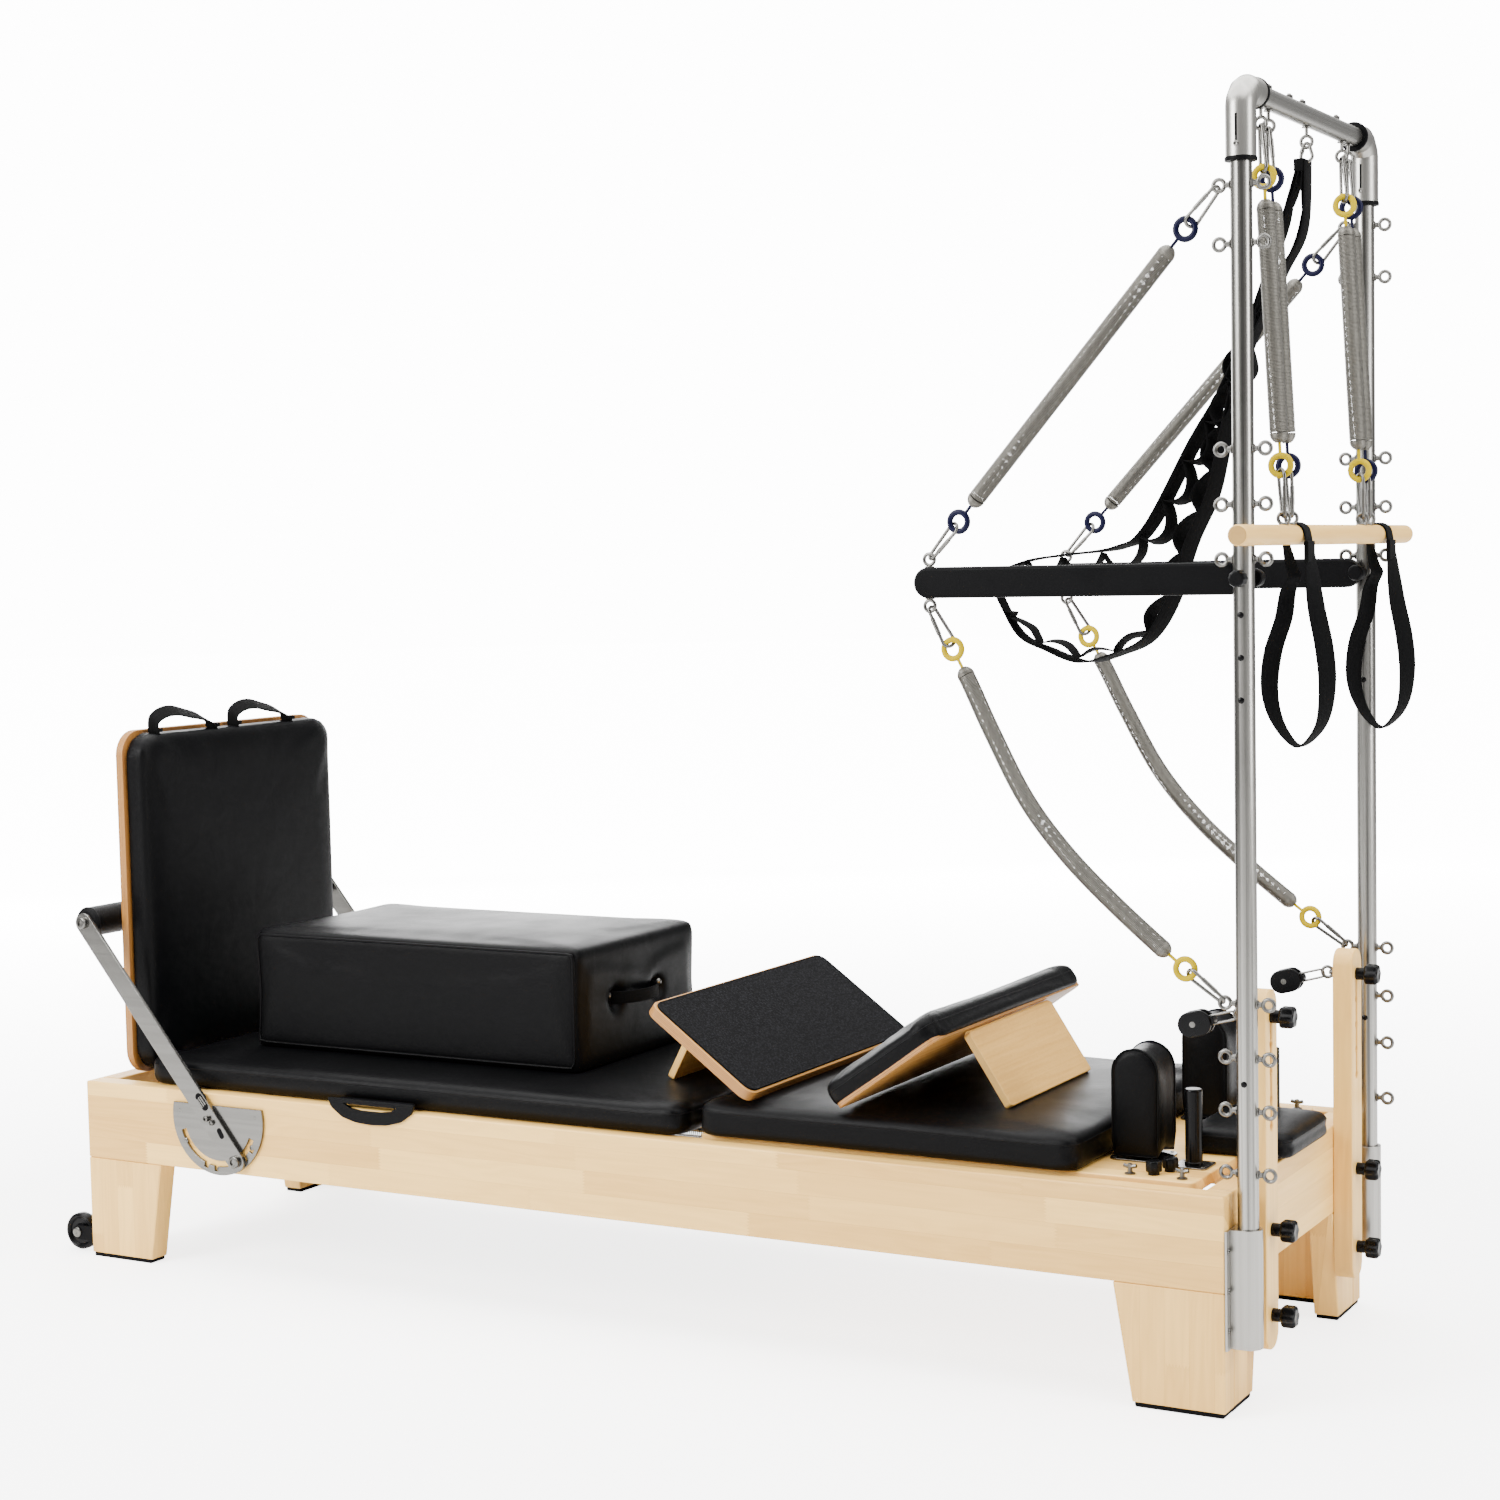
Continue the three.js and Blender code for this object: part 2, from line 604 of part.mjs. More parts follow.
// An arch in the XZ plane with crowned faces towards both sides and a drawn-in waist
function archedBlock(width, height, depth) {
  const radius = width / 2;
  const ring = [];
  ring.push([-radius, 0], [radius, 0], [radius, (height - radius) / 2]);
  for (let i = 0; i <= ARCH_STEPS; i += 1) {
    const turn = (i / ARCH_STEPS) * Math.PI;
    ring.push([radius * Math.cos(turn), height - radius + radius * Math.sin(turn)]);
  }
  ring.push([-radius, (height - radius) / 2]);
  const centre = height / 2;
  const levels = [
    { inset: REST_RIM, y: -depth / 2 + REST_CROWN },
    { inset: 0, y: -depth / 2 + REST_CROWN + REST_RIM },
    { inset: REST_DRAW, y: 0 },
    { inset: 0, y: depth / 2 - REST_CROWN - REST_RIM },
    { inset: REST_RIM, y: depth / 2 - REST_CROWN },
  ];
  const points = [new THREE.Vector3(0, -depth / 2, centre)];
  for (const { inset, y } of levels) {
    for (const [x, z] of ring) {
      const px = x * (1 - inset / radius);
      const pz = z === 0 ? 0 : centre + (z - centre) * (1 - inset / centre);
      points.push(new THREE.Vector3(px, y, pz));
    }
  }
  points.push(new THREE.Vector3(0, depth / 2, centre));
  const count = ring.length;
  const faces = [];
  for (let i = 0; i < count; i += 1) faces.push(0, 1 + i, 1 + ((i + 1) % count));
  for (let k = 0; k < levels.length - 1; k += 1) {
    for (let i = 0; i < count; i += 1) {
      const a = 1 + k * count + i;
      const b = 1 + k * count + ((i + 1) % count);
      faces.push(a, b + count, b, a, a + count, b + count);
    }
  }
  const last = points.length - 1;
  const first = last - count;
  for (let i = 0; i < count; i += 1) faces.push(last, first + ((i + 1) % count), first + i);
  const geometry = new THREE.BufferGeometry().setFromPoints(points);
  geometry.setIndex(faces);
  return geometry;
}

// Sitting box on the mat, with two hand pockets and a strap in its head-side face
const BOX_START = 290;
const BOX_SETBACK = 320;
const BOX_DEPTH = 455;
const BOX_HEIGHT = 245;
const BOX_SHIFT = 27;
const BOX_CORNER = 16;
const BOX_RIM = 12;
const BOX_CROWN = 4;
const BOX_DRAW = 3;
const POCKET_RADIUS = 30;
const POCKET_SPACING = 153;
const POCKET_DEPTH = 28;
const POCKET_DROP = 118;
const POCKET_SHIFT = -8;
const POCKET_STRAP = 24;
const POCKET_STRAP_THICK = 4;
const POCKET_STRAP_BULGE = 24;

function makeBox() {
  const xs = [FOOT_END + BOX_START, FOOT_END + MAT_START + MAT_LENGTH - BOX_SETBACK];
  const ys = [BOX_SHIFT - BOX_DEPTH / 2, BOX_SHIFT + BOX_DEPTH / 2];
  const body = cushion({
    xs, ys, height: BOX_HEIGHT, corner: BOX_CORNER, rim: BOX_RIM, crown: BOX_CROWN, draw: BOX_DRAW,
  }).translate(0, 0, MAT_TOP + GAP);
  const pocketZ = MAT_TOP + GAP + BOX_HEIGHT - POCKET_DROP;
  const face = xs[1];
  const middle = BOX_SHIFT + POCKET_SHIFT;
  const pockets = [-1, 1].map((step) => rod(
    "x",
    POCKET_RADIUS,
    [face - POCKET_DEPTH, face + OVERRUN],
    [middle + (step * POCKET_SPACING) / 2, pocketZ],
  ));
  const strapSection = outline([
    [-POCKET_STRAP / 2, -POCKET_STRAP_THICK / 2], [POCKET_STRAP / 2, -POCKET_STRAP_THICK / 2],
    [POCKET_STRAP / 2, POCKET_STRAP_THICK / 2], [-POCKET_STRAP / 2, POCKET_STRAP_THICK / 2],
  ]);
  const half = POCKET_SPACING / 2;
  const rootDepth = face - POCKET_DEPTH - OVERRUN;
  const strap = sweep([
    [rootDepth, middle - half, pocketZ],
    [face, middle - half + POCKET_RADIUS / 2, pocketZ],
    [face + POCKET_STRAP_BULGE, middle, pocketZ],
    [face, middle + half - POCKET_RADIUS / 2, pocketZ],
    [rootDepth, middle + half, pocketZ],
  ], strapSection, STRAP_STEPS);
  piece("sitting_box", join(cut(body, ...pockets), strap), LEATHER);
}

const STRAP_STEPS = 8;

// Tilt board and padded incline: each a board propped on a folding leg panel with a round hinged edge
const TILT_FOOT = 104;
const TILT_SHIFT = -11;
const TILT_WIDTH = 650;
const TILT_LENGTH = 253;
const TILT_THICK = 20;
const TILT_ANGLE = 36 * DEGREE;
const TILT_CORNER = 22;
const TILT_SKIN = 3;
const TILT_SKIN_INSET = 5;
const TILT_LEAN = 28 * DEGREE;
const TILT_PANEL_WIDTH = 300;
const INCLINE_FOOT = 282;
const INCLINE_SHIFT = -24;
const INCLINE_WIDTH = 670;
const INCLINE_LENGTH = 253;
const INCLINE_BOARD = 14;
const INCLINE_PAD = 44;
const INCLINE_ANGLE = 35 * DEGREE;
const INCLINE_CORNER = 30;
const INCLINE_LEAN = 33 * DEGREE;
const INCLINE_PANEL_WIDTH = 363;
const PANEL_THICK = 14;
const PANEL_CORNER = 7;
const PANEL_SETBACK = 26;

// The panel stands on a height and leans towards +X or -X; its round edge turns just under the board
function legPanel(foot, up, angle, lean, restZ, width, length) {
  const along = length - PANEL_SETBACK;
  const under = PANEL_THICK / 2 + GAP;
  const hingeX = foot.x + up * (along * Math.cos(angle) + under * Math.sin(angle));
  const hingeZ = foot.z + along * Math.sin(angle) - under * Math.cos(angle);
  const slack = (PANEL_THICK / 2) * Math.sin(lean);
  const run = (hingeZ - restZ - slack) / Math.cos(lean);
  const panel = join(
    alongX(
      roundedOutline([-width / 2, width / 2], [-run, 0], PANEL_CORNER),
      [-PANEL_THICK / 2, PANEL_THICK / 2],
    ),
    rod("y", PANEL_THICK / 2, [-width / 2 + PANEL_CORNER, width / 2 - PANEL_CORNER], [0, 0], SMALL_ROUND),
  );
  return panel.rotateY(-up * lean).translate(hingeX, foot.y, hingeZ);
}

function makeTiltBoard() {
  const foot = new THREE.Vector3(CARRIAGE_FOOT + TILT_FOOT, TILT_SHIFT, Math.max(MAT_TOP, CARRIAGE_PAD_TOP) + GAP);
  const half = TILT_WIDTH / 2;
  const board = extrude(roundedOutline([-TILT_LENGTH, 0], [-half, half], TILT_CORNER), TILT_THICK);
  const skinOutline = roundedOutline(
    [-TILT_LENGTH + TILT_SKIN_INSET, -TILT_SKIN_INSET],
    [-half + TILT_SKIN_INSET, half - TILT_SKIN_INSET],
    TILT_CORNER,
  );
  const skin = extrude(skinOutline, TILT_SKIN + OVERRUN).translate(0, 0, TILT_THICK - OVERRUN);
  piece("tilt_board", join(board, skin).rotateY(TILT_ANGLE).translate(foot.x, foot.y, foot.z), PLY);
  const panel = legPanel(foot, -1, TILT_ANGLE, TILT_LEAN, MAT_TOP + GAP, TILT_PANEL_WIDTH, TILT_LENGTH);
  piece("tilt_board_leg", panel, MAPLE);
}

function makeIncline() {
  const foot = new THREE.Vector3(CARRIAGE_FOOT + INCLINE_FOOT, INCLINE_SHIFT, CARRIAGE_PAD_TOP + GAP);
  const half = INCLINE_WIDTH / 2;
  const board = extrude(roundedOutline([0, INCLINE_LENGTH], [-half, half], INCLINE_CORNER), INCLINE_BOARD);
  const pad = cushion({
    xs: [0, INCLINE_LENGTH],
    ys: [-half, half],
    height: INCLINE_PAD,
    corner: INCLINE_CORNER,
    rim: PAD_RIM,
    crown: PAD_CROWN,
    draw: 0,
  }).translate(0, 0, INCLINE_BOARD - RUNNING);
  piece("incline_pad", join(board, pad).rotateY(-INCLINE_ANGLE).translate(foot.x, foot.y, foot.z), LEATHER);
  const restZ = CARRIAGE_PAD_TOP + GAP;
  const panel = legPanel(foot, 1, INCLINE_ANGLE, INCLINE_LEAN, restZ, INCLINE_PANEL_WIDTH, INCLINE_LENGTH);
  piece("incline_leg", panel, MAPLE);
}

// Jumpboard standing at the foot end, its tongue in the holder behind the end board
const JUMP_BACK_SETBACK = 52;
const JUMP_BOARD_THICK = 18;
const JUMP_PAD_THICK = 54;
const JUMP_WIDTH = 620;
const JUMP_TOP = 1065;
const JUMP_CORNER = 50;
const JUMP_DRAW = 3;
const JUMP_BACK = FOOT_END + JUMP_BACK_SETBACK;
const JUMP_BASE = BED_HEIGHT + JUMP_BOARD_BASE;
const TONGUE_END = JUMP_BASE - JUMP_TONGUE;
const JUMP_HANDLE_SHARES = [-0.2452, 0.15];
const JUMP_HANDLE_SPAN = 180;
const JUMP_HANDLE_RISE = 34;
const JUMP_HANDLE_WEB = 30;
const JUMP_HANDLE_THICK = 4;
const JUMP_HANDLE_SHOULDER_SHARE = 0.75;

function makeJumpboard() {
  const half = JUMP_WIDTH / 2;
  const face = roundedOutline([-half, half], [JUMP_BASE, JUMP_TOP], JUMP_CORNER);
  const board = alongX(face, [JUMP_BACK, JUMP_BACK + JUMP_BOARD_THICK]);
  const tongue = slab(
    [JUMP_BACK, JUMP_BACK + JUMP_BOARD_THICK],
    [-JUMP_TONGUE_WIDTH / 2, JUMP_TONGUE_WIDTH / 2],
    [TONGUE_END, JUMP_BASE + OVERRUN],
  );
  piece("jumpboard", join(board, tongue), PLY);
  const padFoot = JUMP_BACK + JUMP_BOARD_THICK + GAP;
  const height = JUMP_TOP - JUMP_BASE;
  const pad = cushion({
    xs: [-height / 2, height / 2],
    ys: [-half, half],
    height: JUMP_PAD_THICK,
    corner: JUMP_CORNER,
    rim: PAD_RIM,
    crown: PAD_CROWN,
    draw: JUMP_DRAW,
  });
  pad.rotateY(QUARTER).translate(padFoot, 0, JUMP_BASE + height / 2);
  const section = outline([
    [-JUMP_HANDLE_WEB / 2, -JUMP_HANDLE_THICK / 2], [JUMP_HANDLE_WEB / 2, -JUMP_HANDLE_THICK / 2],
    [JUMP_HANDLE_WEB / 2, JUMP_HANDLE_THICK / 2], [-JUMP_HANDLE_WEB / 2, JUMP_HANDLE_THICK / 2],
  ]);
  const handleX = padFoot + JUMP_PAD_THICK / 2;
  const root = JUMP_TOP - OVERRUN;
  const shoulder = JUMP_TOP + JUMP_HANDLE_RISE * JUMP_HANDLE_SHOULDER_SHARE;
  const handles = JUMP_HANDLE_SHARES.map((share) => {
    const y = share * JUMP_WIDTH;
    return sweep([
      [handleX, y - JUMP_HANDLE_SPAN / 2, root],
      [handleX, y - JUMP_HANDLE_SPAN / 3, shoulder],
      [handleX, y, JUMP_TOP + JUMP_HANDLE_RISE],
      [handleX, y + JUMP_HANDLE_SPAN / 3, shoulder],
      [handleX, y + JUMP_HANDLE_SPAN / 2, root],
    ], section, STRAP_STEPS);
  });
  piece("jumpboard_pad", join(pad, ...handles), LEATHER);
}

// Foot bar: two flat arms outside the rails, a padded roll and the notched plates they turn on
const PIVOT_REACH = 327;
const PIVOT_Z = 313;
const ROLL_REACH = 21;
const ROLL_Z = 684;
const ROLL_RADIUS = 30;
const ARM_TAIL_REACH = 394;
const ARM_TAIL_Z = 233;
const ARM_HALF = 20;
const ARM_THICK = 8;
const CAM_REACH = 345;
const CAM_RADIUS = 113;
const CAM_THICK = 6;
const CAM_TOP = 338;
const CAM_BOLT_RADIUS = 12;
const CAM_BOLT_HEAD = 8;
const CAM_SLOT_OUTER = 96;
const CAM_SLOT_INNER = 82;
const CAM_SLOT_START_SHARE = 0.12;
const CAM_SLOT_END_SHARE = 0.88;
const NOTCHES = 5;
const NOTCH_RADIUS = 8;
const CAM_STEPS = 20;
const PIVOT_X = FOOT_END + PIVOT_REACH;
const ROLL_X = FOOT_END + ROLL_REACH;
const ARM_TAIL_X = FOOT_END + ARM_TAIL_REACH;
const CAM_X = FOOT_END + CAM_REACH;

function camPlate(sign) {
  const rise = Math.asin((CAM_TOP - PIVOT_Z) / CAM_RADIUS);
  const whole = Math.PI + 2 * rise;
  const slotSpan = CAM_SLOT_END_SHARE - CAM_SLOT_START_SHARE;
  const at = (share, radius) => {
    const turn = rise - (1 - share) * whole;
    return [CAM_X + radius * Math.cos(turn), PIVOT_Z + radius * Math.sin(turn)];
  };
  const steps = Array.from({ length: CAM_STEPS + 1 }, (_, i) => i / CAM_STEPS);
  const slotAt = (step, radius) => at(CAM_SLOT_START_SHARE + step * slotSpan, radius);
  const shape = outline(steps.map((step) => at(step, CAM_RADIUS)));
  shape.holes.push(outline([
    ...steps.map((step) => slotAt(step, CAM_SLOT_OUTER)),
    ...steps.map((step) => slotAt(1 - step, CAM_SLOT_INNER)),
  ]));
  const face = sign * (RAIL_FACE + GAP);
  const outer = face + sign * CAM_THICK;
  const through = [face - sign * OVERRUN, outer + sign * OVERRUN];
  const notches = Array.from({ length: NOTCHES }, (_, i) => (
    rod("y", NOTCH_RADIUS, through, slotAt((i + 1 / 2) / NOTCHES, CAM_SLOT_INNER), SMALL_ROUND)
  ));
  return cut(alongY(shape, [face, outer]), ...notches);
}

// A bar with round ends between two points of the XZ plane
function stadium([x0, z0], [x1, z1], radius) {
  const turn = Math.atan2(z1 - z0, x1 - x0);
  const shape = new THREE.Shape();
  shape.absarc(x1, z1, radius, turn - QUARTER, turn + QUARTER, false);
  shape.absarc(x0, z0, radius, turn + QUARTER, turn + 3 * QUARTER, false);
  return shape;
}

function makeFootbar() {
  for (const { side, sign } of SIDES) {
    piece(`${side}_cam_plate`, camPlate(sign), STEEL);
    const inner = sign * (RAIL_FACE + CAM_THICK + 2 * GAP);
    const outer = inner + sign * ARM_THICK;
    const bar = alongY(stadium([ROLL_X, ROLL_Z], [ARM_TAIL_X, ARM_TAIL_Z], ARM_HALF), [inner, outer]);
    const heads = [[PIVOT_X, PIVOT_Z], [ARM_TAIL_X, ARM_TAIL_Z], [ROLL_X, ROLL_Z]].map((spot) => rod(
      "y", CAM_BOLT_RADIUS, [inner + (sign * ARM_THICK) / 2, outer + sign * CAM_BOLT_HEAD], spot, SMALL_ROUND,
    ));
    piece(`${side}_footbar_arm`, join(bar, ...heads), STEEL);
  }
  const reach = RAIL_FACE + CAM_THICK + GAP;
  piece("footbar_roll", rod("y", ROLL_RADIUS, [-reach, reach], [ROLL_X, ROLL_Z]), LEATHER);
}

// Eye bolts: a ring of round wire whose plane holds X and Z
const EYE_RADIUS = 9.5;
const EYE_WIRE = 3;
const EYE_REACH = 36;
const EYE_FACETS = 6;
const EYE_WIRE_FACETS = 4;
const LINK_WIDTH = 18;
const LINK_WIRE = 4;
const LINK_STEPS = 2;

// How far from the ring's middle the end wire of a link lies when it is pulled against the ring
const EYE_SEAT = Math.sqrt(
  ((EYE_RADIUS - EYE_WIRE) * Math.cos(Math.PI / EYE_FACETS) - GAP) ** 2 - (LINK_WIRE / 2) ** 2,
) - LINK_WIRE / 2;

function eyeRing(x, y, z) {
  return new THREE.TorusGeometry(EYE_RADIUS, EYE_WIRE, EYE_WIRE_FACETS, EYE_FACETS).rotateX(QUARTER).translate(x, y, z);
}

// Tower brackets, posts, elbows and crossbar
const BRACKET_TOP = 305;
const BRACKET_BASE = 111;
const BRACKET_PLATE = 4;
const BRACKET_HALF = 39;
const SOCKET_WALL = 6;
const SOCKET_FLOOR = 6;
const BRACKET_SCREW_RADIUS = 4;
const BRACKET_SCREW_HEAD = 3;
const BRACKET_SCREW_INSET = 7;
const BRACKET_SCREWS = 3;
const EYE_HEIGHT_SHARES = [0.9186, 0.8757, 0.726, 0.6855, 0.645, 0.3136, 0.2726, 0.2326, 0.185];
const PLUG_HEIGHT_SHARES = [0.604, 0.5725, 0.541, 0.2542];
const PLUG_RADIUS = 5;
const PLUG_STAND = 1;
const ELBOW_RADIUS = 24;
const ELBOW_DROP = 113;
const ELBOW_REACH = 62;
const SEAL_LENGTH = 7;
const SEAL_STAND = 1.5;
const CROSSBAR_EYE_DROP = 42;
const CROSSBAR_Z = TOWER_HEIGHT - ELBOW_RADIUS - SEAL_STAND;
const POST_TOP = CROSSBAR_Z - ELBOW_RADIUS / 2;
const CROSSBAR_EYE_SHARES = [-0.7087, -0.5285, 0, 0.5285, 0.7087];
const CROSSBAR_NUT_SHARES = [-0.5976, -0.2763, -0.0721, 0.4955];
const NUT_RADIUS = 6;
const NUT_HEIGHT = 7;
const NUT_FACETS = 6;
const PUSH_PIVOT_SHARE = 0.6308851224;
const PIVOT_PIN_RADIUS = 5;
const CROSSBAR_EYE_Z = CROSSBAR_Z - CROSSBAR_EYE_DROP;
const PUSH_PIVOT_Z = PUSH_PIVOT_SHARE * TOWER_HEIGHT;
const EYE_HEIGHTS = EYE_HEIGHT_SHARES.map((share) => share * TOWER_HEIGHT);
const PLUG_HEIGHTS = PLUG_HEIGHT_SHARES.map((share) => share * TOWER_HEIGHT);
const CROSSBAR_EYES = CROSSBAR_EYE_SHARES.map((share) => share * POST_Y);
const CROSSBAR_NUTS = CROSSBAR_NUT_SHARES.map((share) => share * POST_Y);

function makeBrackets() {
  for (const { side, sign } of SIDES) {
    const y = sign * POST_Y;
    const plate = slab(
      [HEAD_END + GAP, HEAD_END + GAP + BRACKET_PLATE],
      [y - BRACKET_HALF, y + BRACKET_HALF],
      [BRACKET_BASE, BRACKET_TOP],
    );
    const sleeve = rod("z", TUBE_RADIUS + SOCKET_WALL, [BRACKET_BASE, BRACKET_TOP], [POST_X, y]);
    const web = slab([HEAD_END + GAP, POST_X], [y - TUBE_RADIUS, y + TUBE_RADIUS], [BRACKET_BASE, BRACKET_TOP]);
    const bore = rod("z", TUBE_RADIUS + FIT, [BRACKET_BASE + SOCKET_FLOOR, BRACKET_TOP + OVERRUN], [POST_X, y]);
    const rise = BRACKET_TOP - BRACKET_BASE;
    const screws = [-1, 1].flatMap((edge) => Array.from({ length: BRACKET_SCREWS }, (_, i) => rod(
      "x",
      BRACKET_SCREW_RADIUS,
      [HEAD_END + BRACKET_PLATE / 2, HEAD_END + GAP + BRACKET_PLATE + BRACKET_SCREW_HEAD],
      [y + edge * (BRACKET_HALF - BRACKET_SCREW_INSET), BRACKET_BASE + ((i + 1 / 2) / BRACKET_SCREWS) * rise],
      SMALL_ROUND,
    )));
    piece(`${side}_tower_bracket`, join(cut(join(plate, web, sleeve), bore), ...screws), ALUMINIUM);
  }
}

function makePosts() {
  const foot = BRACKET_BASE + SOCKET_FLOOR + GAP;
  for (const { side, sign } of SIDES) {
    const y = sign * POST_Y;
    const wall = rod("z", TUBE_RADIUS, [foot, POST_TOP], [POST_X, y]);
    const bore = rod("z", TUBE_RADIUS - TUBE_WALL, [foot - OVERRUN, POST_TOP + OVERRUN], [POST_X, y]);
    const reach = TUBE_RADIUS + OVERRUN;
    const pivotHole = rod(
      "y", PIVOT_PIN_RADIUS + FIT, [y - reach, y + reach], [POST_X, PUSH_PIVOT_Z], SMALL_ROUND,
    );
    const bolts = EYE_HEIGHTS.flatMap((z) => {
      const root = TUBE_RADIUS - TUBE_WALL / 2;
      const tip = EYE_REACH - EYE_RADIUS;
      return [-1, 1].flatMap((way) => [
        rod("x", EYE_WIRE, [POST_X + way * root, POST_X + way * tip], [y, z], EYE_WIRE_FACETS),
        eyeRing(POST_X + way * EYE_REACH, y, z),
      ]);
    });
    const plugLimits = [y - TUBE_RADIUS - PLUG_STAND, y - TUBE_RADIUS + TUBE_WALL];
    const plugs = PLUG_HEIGHTS.map((z) => rod("y", PLUG_RADIUS, plugLimits, [POST_X, z], SMALL_ROUND));
    piece(`${side}_tower_post`, join(cut(wall, bore, pivotHole), ...bolts, ...plugs), STEEL);
  }
}

function makeElbows() {
  for (const { side, sign } of SIDES) {
    const y = sign * POST_Y;
    const inward = -sign;
    const mouth = y + inward * ELBOW_REACH;
    const base = CROSSBAR_Z - ELBOW_DROP + SEAL_LENGTH;
    const body = join(
      rod("z", ELBOW_RADIUS, [base, CROSSBAR_Z], [POST_X, y]),
      rod("y", ELBOW_RADIUS, [y, mouth], [POST_X, CROSSBAR_Z]),
      new THREE.SphereGeometry(ELBOW_RADIUS, ROUND, SMALL_ROUND).translate(POST_X, y, CROSSBAR_Z),
      rod("z", ELBOW_RADIUS + SEAL_STAND, [base - SEAL_LENGTH, base + GAP], [POST_X, y]),
      rod("y", ELBOW_RADIUS + SEAL_STAND, [mouth - inward * GAP, mouth + inward * SEAL_LENGTH], [POST_X, CROSSBAR_Z]),
    );
    const fit = TUBE_RADIUS + FIT;
    const postBore = rod("z", fit, [base - SEAL_LENGTH - OVERRUN, POST_TOP + GAP], [POST_X, y]);
    const barBore = rod(
      "y",
      fit,
      [y + inward * (TUBE_RADIUS + TUBE_WALL) - inward * GAP, mouth + inward * (SEAL_LENGTH + OVERRUN)],
      [POST_X, CROSSBAR_Z],
    );
    piece(`${side}_tower_elbow`, cut(body, postBore, barBore), ALUMINIUM);
  }
}

function makeCrossbar() {
  const reach = POST_Y - TUBE_RADIUS - TUBE_WALL;
  const tube = rod("y", TUBE_RADIUS, [-reach, reach], [POST_X, CROSSBAR_Z]);
  const bore = rod("y", TUBE_RADIUS - TUBE_WALL, [-reach - OVERRUN, reach + OVERRUN], [POST_X, CROSSBAR_Z]);
  const eyes = CROSSBAR_EYES.flatMap((y) => [
    rod(
      "z",
      EYE_WIRE,
      [CROSSBAR_EYE_Z + EYE_RADIUS, CROSSBAR_Z - TUBE_RADIUS + TUBE_WALL / 2],
      [POST_X, y],
      EYE_WIRE_FACETS,
    ),
    eyeRing(POST_X, y, CROSSBAR_EYE_Z),
  ]);
  const nutLimits = [CROSSBAR_Z + TUBE_RADIUS - TUBE_WALL, CROSSBAR_Z + TUBE_RADIUS + NUT_HEIGHT];
  const nuts = CROSSBAR_NUTS.map((y) => rod("z", NUT_RADIUS, nutLimits, [POST_X, y], NUT_FACETS));
  piece("tower_crossbar", join(cut(tube, bore), ...eyes, ...nuts), STEEL);
}

// Risers: slotted wooden uprights on the head end, with clamp knobs and sliding pulleys
const RISER_THICK = 35;
const RISER_INSET = 105;
const RISER_WIDTH = 60;
const RISER_BASE = 84;
const RISER_TOP = 676;
const RISER_CROWN = 28;
const SLOT_HALF = 5;
const STATION_RADIUS = 7.5;
const STATION_PITCH = 45;
const STATION_TOP = 632;
const STATIONS = 5;
const UPPER_KNOB_Z = 282;
const LOWER_KNOB_Z = 141;
const KNOB_NECK_RADIUS = 11;
const KNOB_NECK = 16;
const KNOB_RADIUS = 19;
const KNOB_HEAD = 24;
const KNOB_LOBES = 6;
const KNOB_WAIST_SHARE = 0.84;
const PULLEY_SHAFT_RADIUS = 4;
const PULLEY_EYE_GAP = 8;
const RISER_X = HEAD_END + GAP;
const RISER_FACE = RISER_X + RISER_THICK;
const RISER_Y = RAIL_FACE - RISER_INSET - RISER_WIDTH / 2;

function makeRisers() {
  for (const { side, sign } of SIDES) {
    const y = sign * RISER_Y;
    const shape = roundedOutline([y - RISER_WIDTH / 2, y + RISER_WIDTH / 2], [RISER_BASE, RISER_TOP], RISER_CROWN);
    const blank = alongX(shape, [RISER_X, RISER_FACE]);
    const through = [RISER_X - OVERRUN, RISER_FACE + OVERRUN];
    const bottom = STATION_TOP - (STATIONS - 1) * STATION_PITCH;
    const slot = slab(through, [y - SLOT_HALF, y + SLOT_HALF], [bottom, STATION_TOP]);
    const stations = Array.from({ length: STATIONS }, (_, i) => rod(
      "x", STATION_RADIUS, through, [y, STATION_TOP - i * STATION_PITCH], SMALL_ROUND,
    ));
    piece(`${side}_riser`, cut(blank, slot, ...stations), MAPLE);
  }
}

function starKnob(y, z) {
  const lobes = Array.from({ length: 2 * KNOB_LOBES }, (_, i) => {
    const radius = i % 2 === 0 ? KNOB_RADIUS : KNOB_RADIUS * KNOB_WAIST_SHARE;
    const turn = (i / (2 * KNOB_LOBES)) * 2 * Math.PI;
    return [y + radius * Math.cos(turn), z + radius * Math.sin(turn)];
  });
  const start = RISER_FACE + GAP;
  return join(
    rod("x", KNOB_NECK_RADIUS, [start, start + KNOB_NECK + OVERRUN], [y, z], SMALL_ROUND),
    alongX(outline(lobes), [start + KNOB_NECK, start + KNOB_NECK + KNOB_HEAD]),
  );
}

// Pulley block held out by a link from the eye of its knob's bolt, drooping a little
const BLOCK_LENGTH = 58;
const BLOCK_HEIGHT = 42;
const BLOCK_THICK = 24;
const BLOCK_DROOP = 15 * DEGREE;
const BLOCK_LINK = 48;

// A flat oval link of wire, lying along its first axis from the origin, its width along the second
function linkRing(length, width = LINK_WIDTH) {
  const outerHalf = width / 2;
  const innerHalf = outerHalf - LINK_WIRE;
  const shape = stadium([outerHalf - LINK_WIRE / 2, 0], [length - outerHalf + LINK_WIRE / 2, 0], outerHalf);
  const hole = stadium([outerHalf - LINK_WIRE / 2, 0], [length - outerHalf + LINK_WIRE / 2, 0], innerHalf);
  shape.holes.push(new THREE.Path(hole.getPoints(LINK_STEPS)));
  const link = new THREE.ExtrudeGeometry(shape, { depth: LINK_WIRE, bevelEnabled: false, curveSegments: LINK_STEPS });
  return link.translate(0, 0, -LINK_WIRE / 2);
}

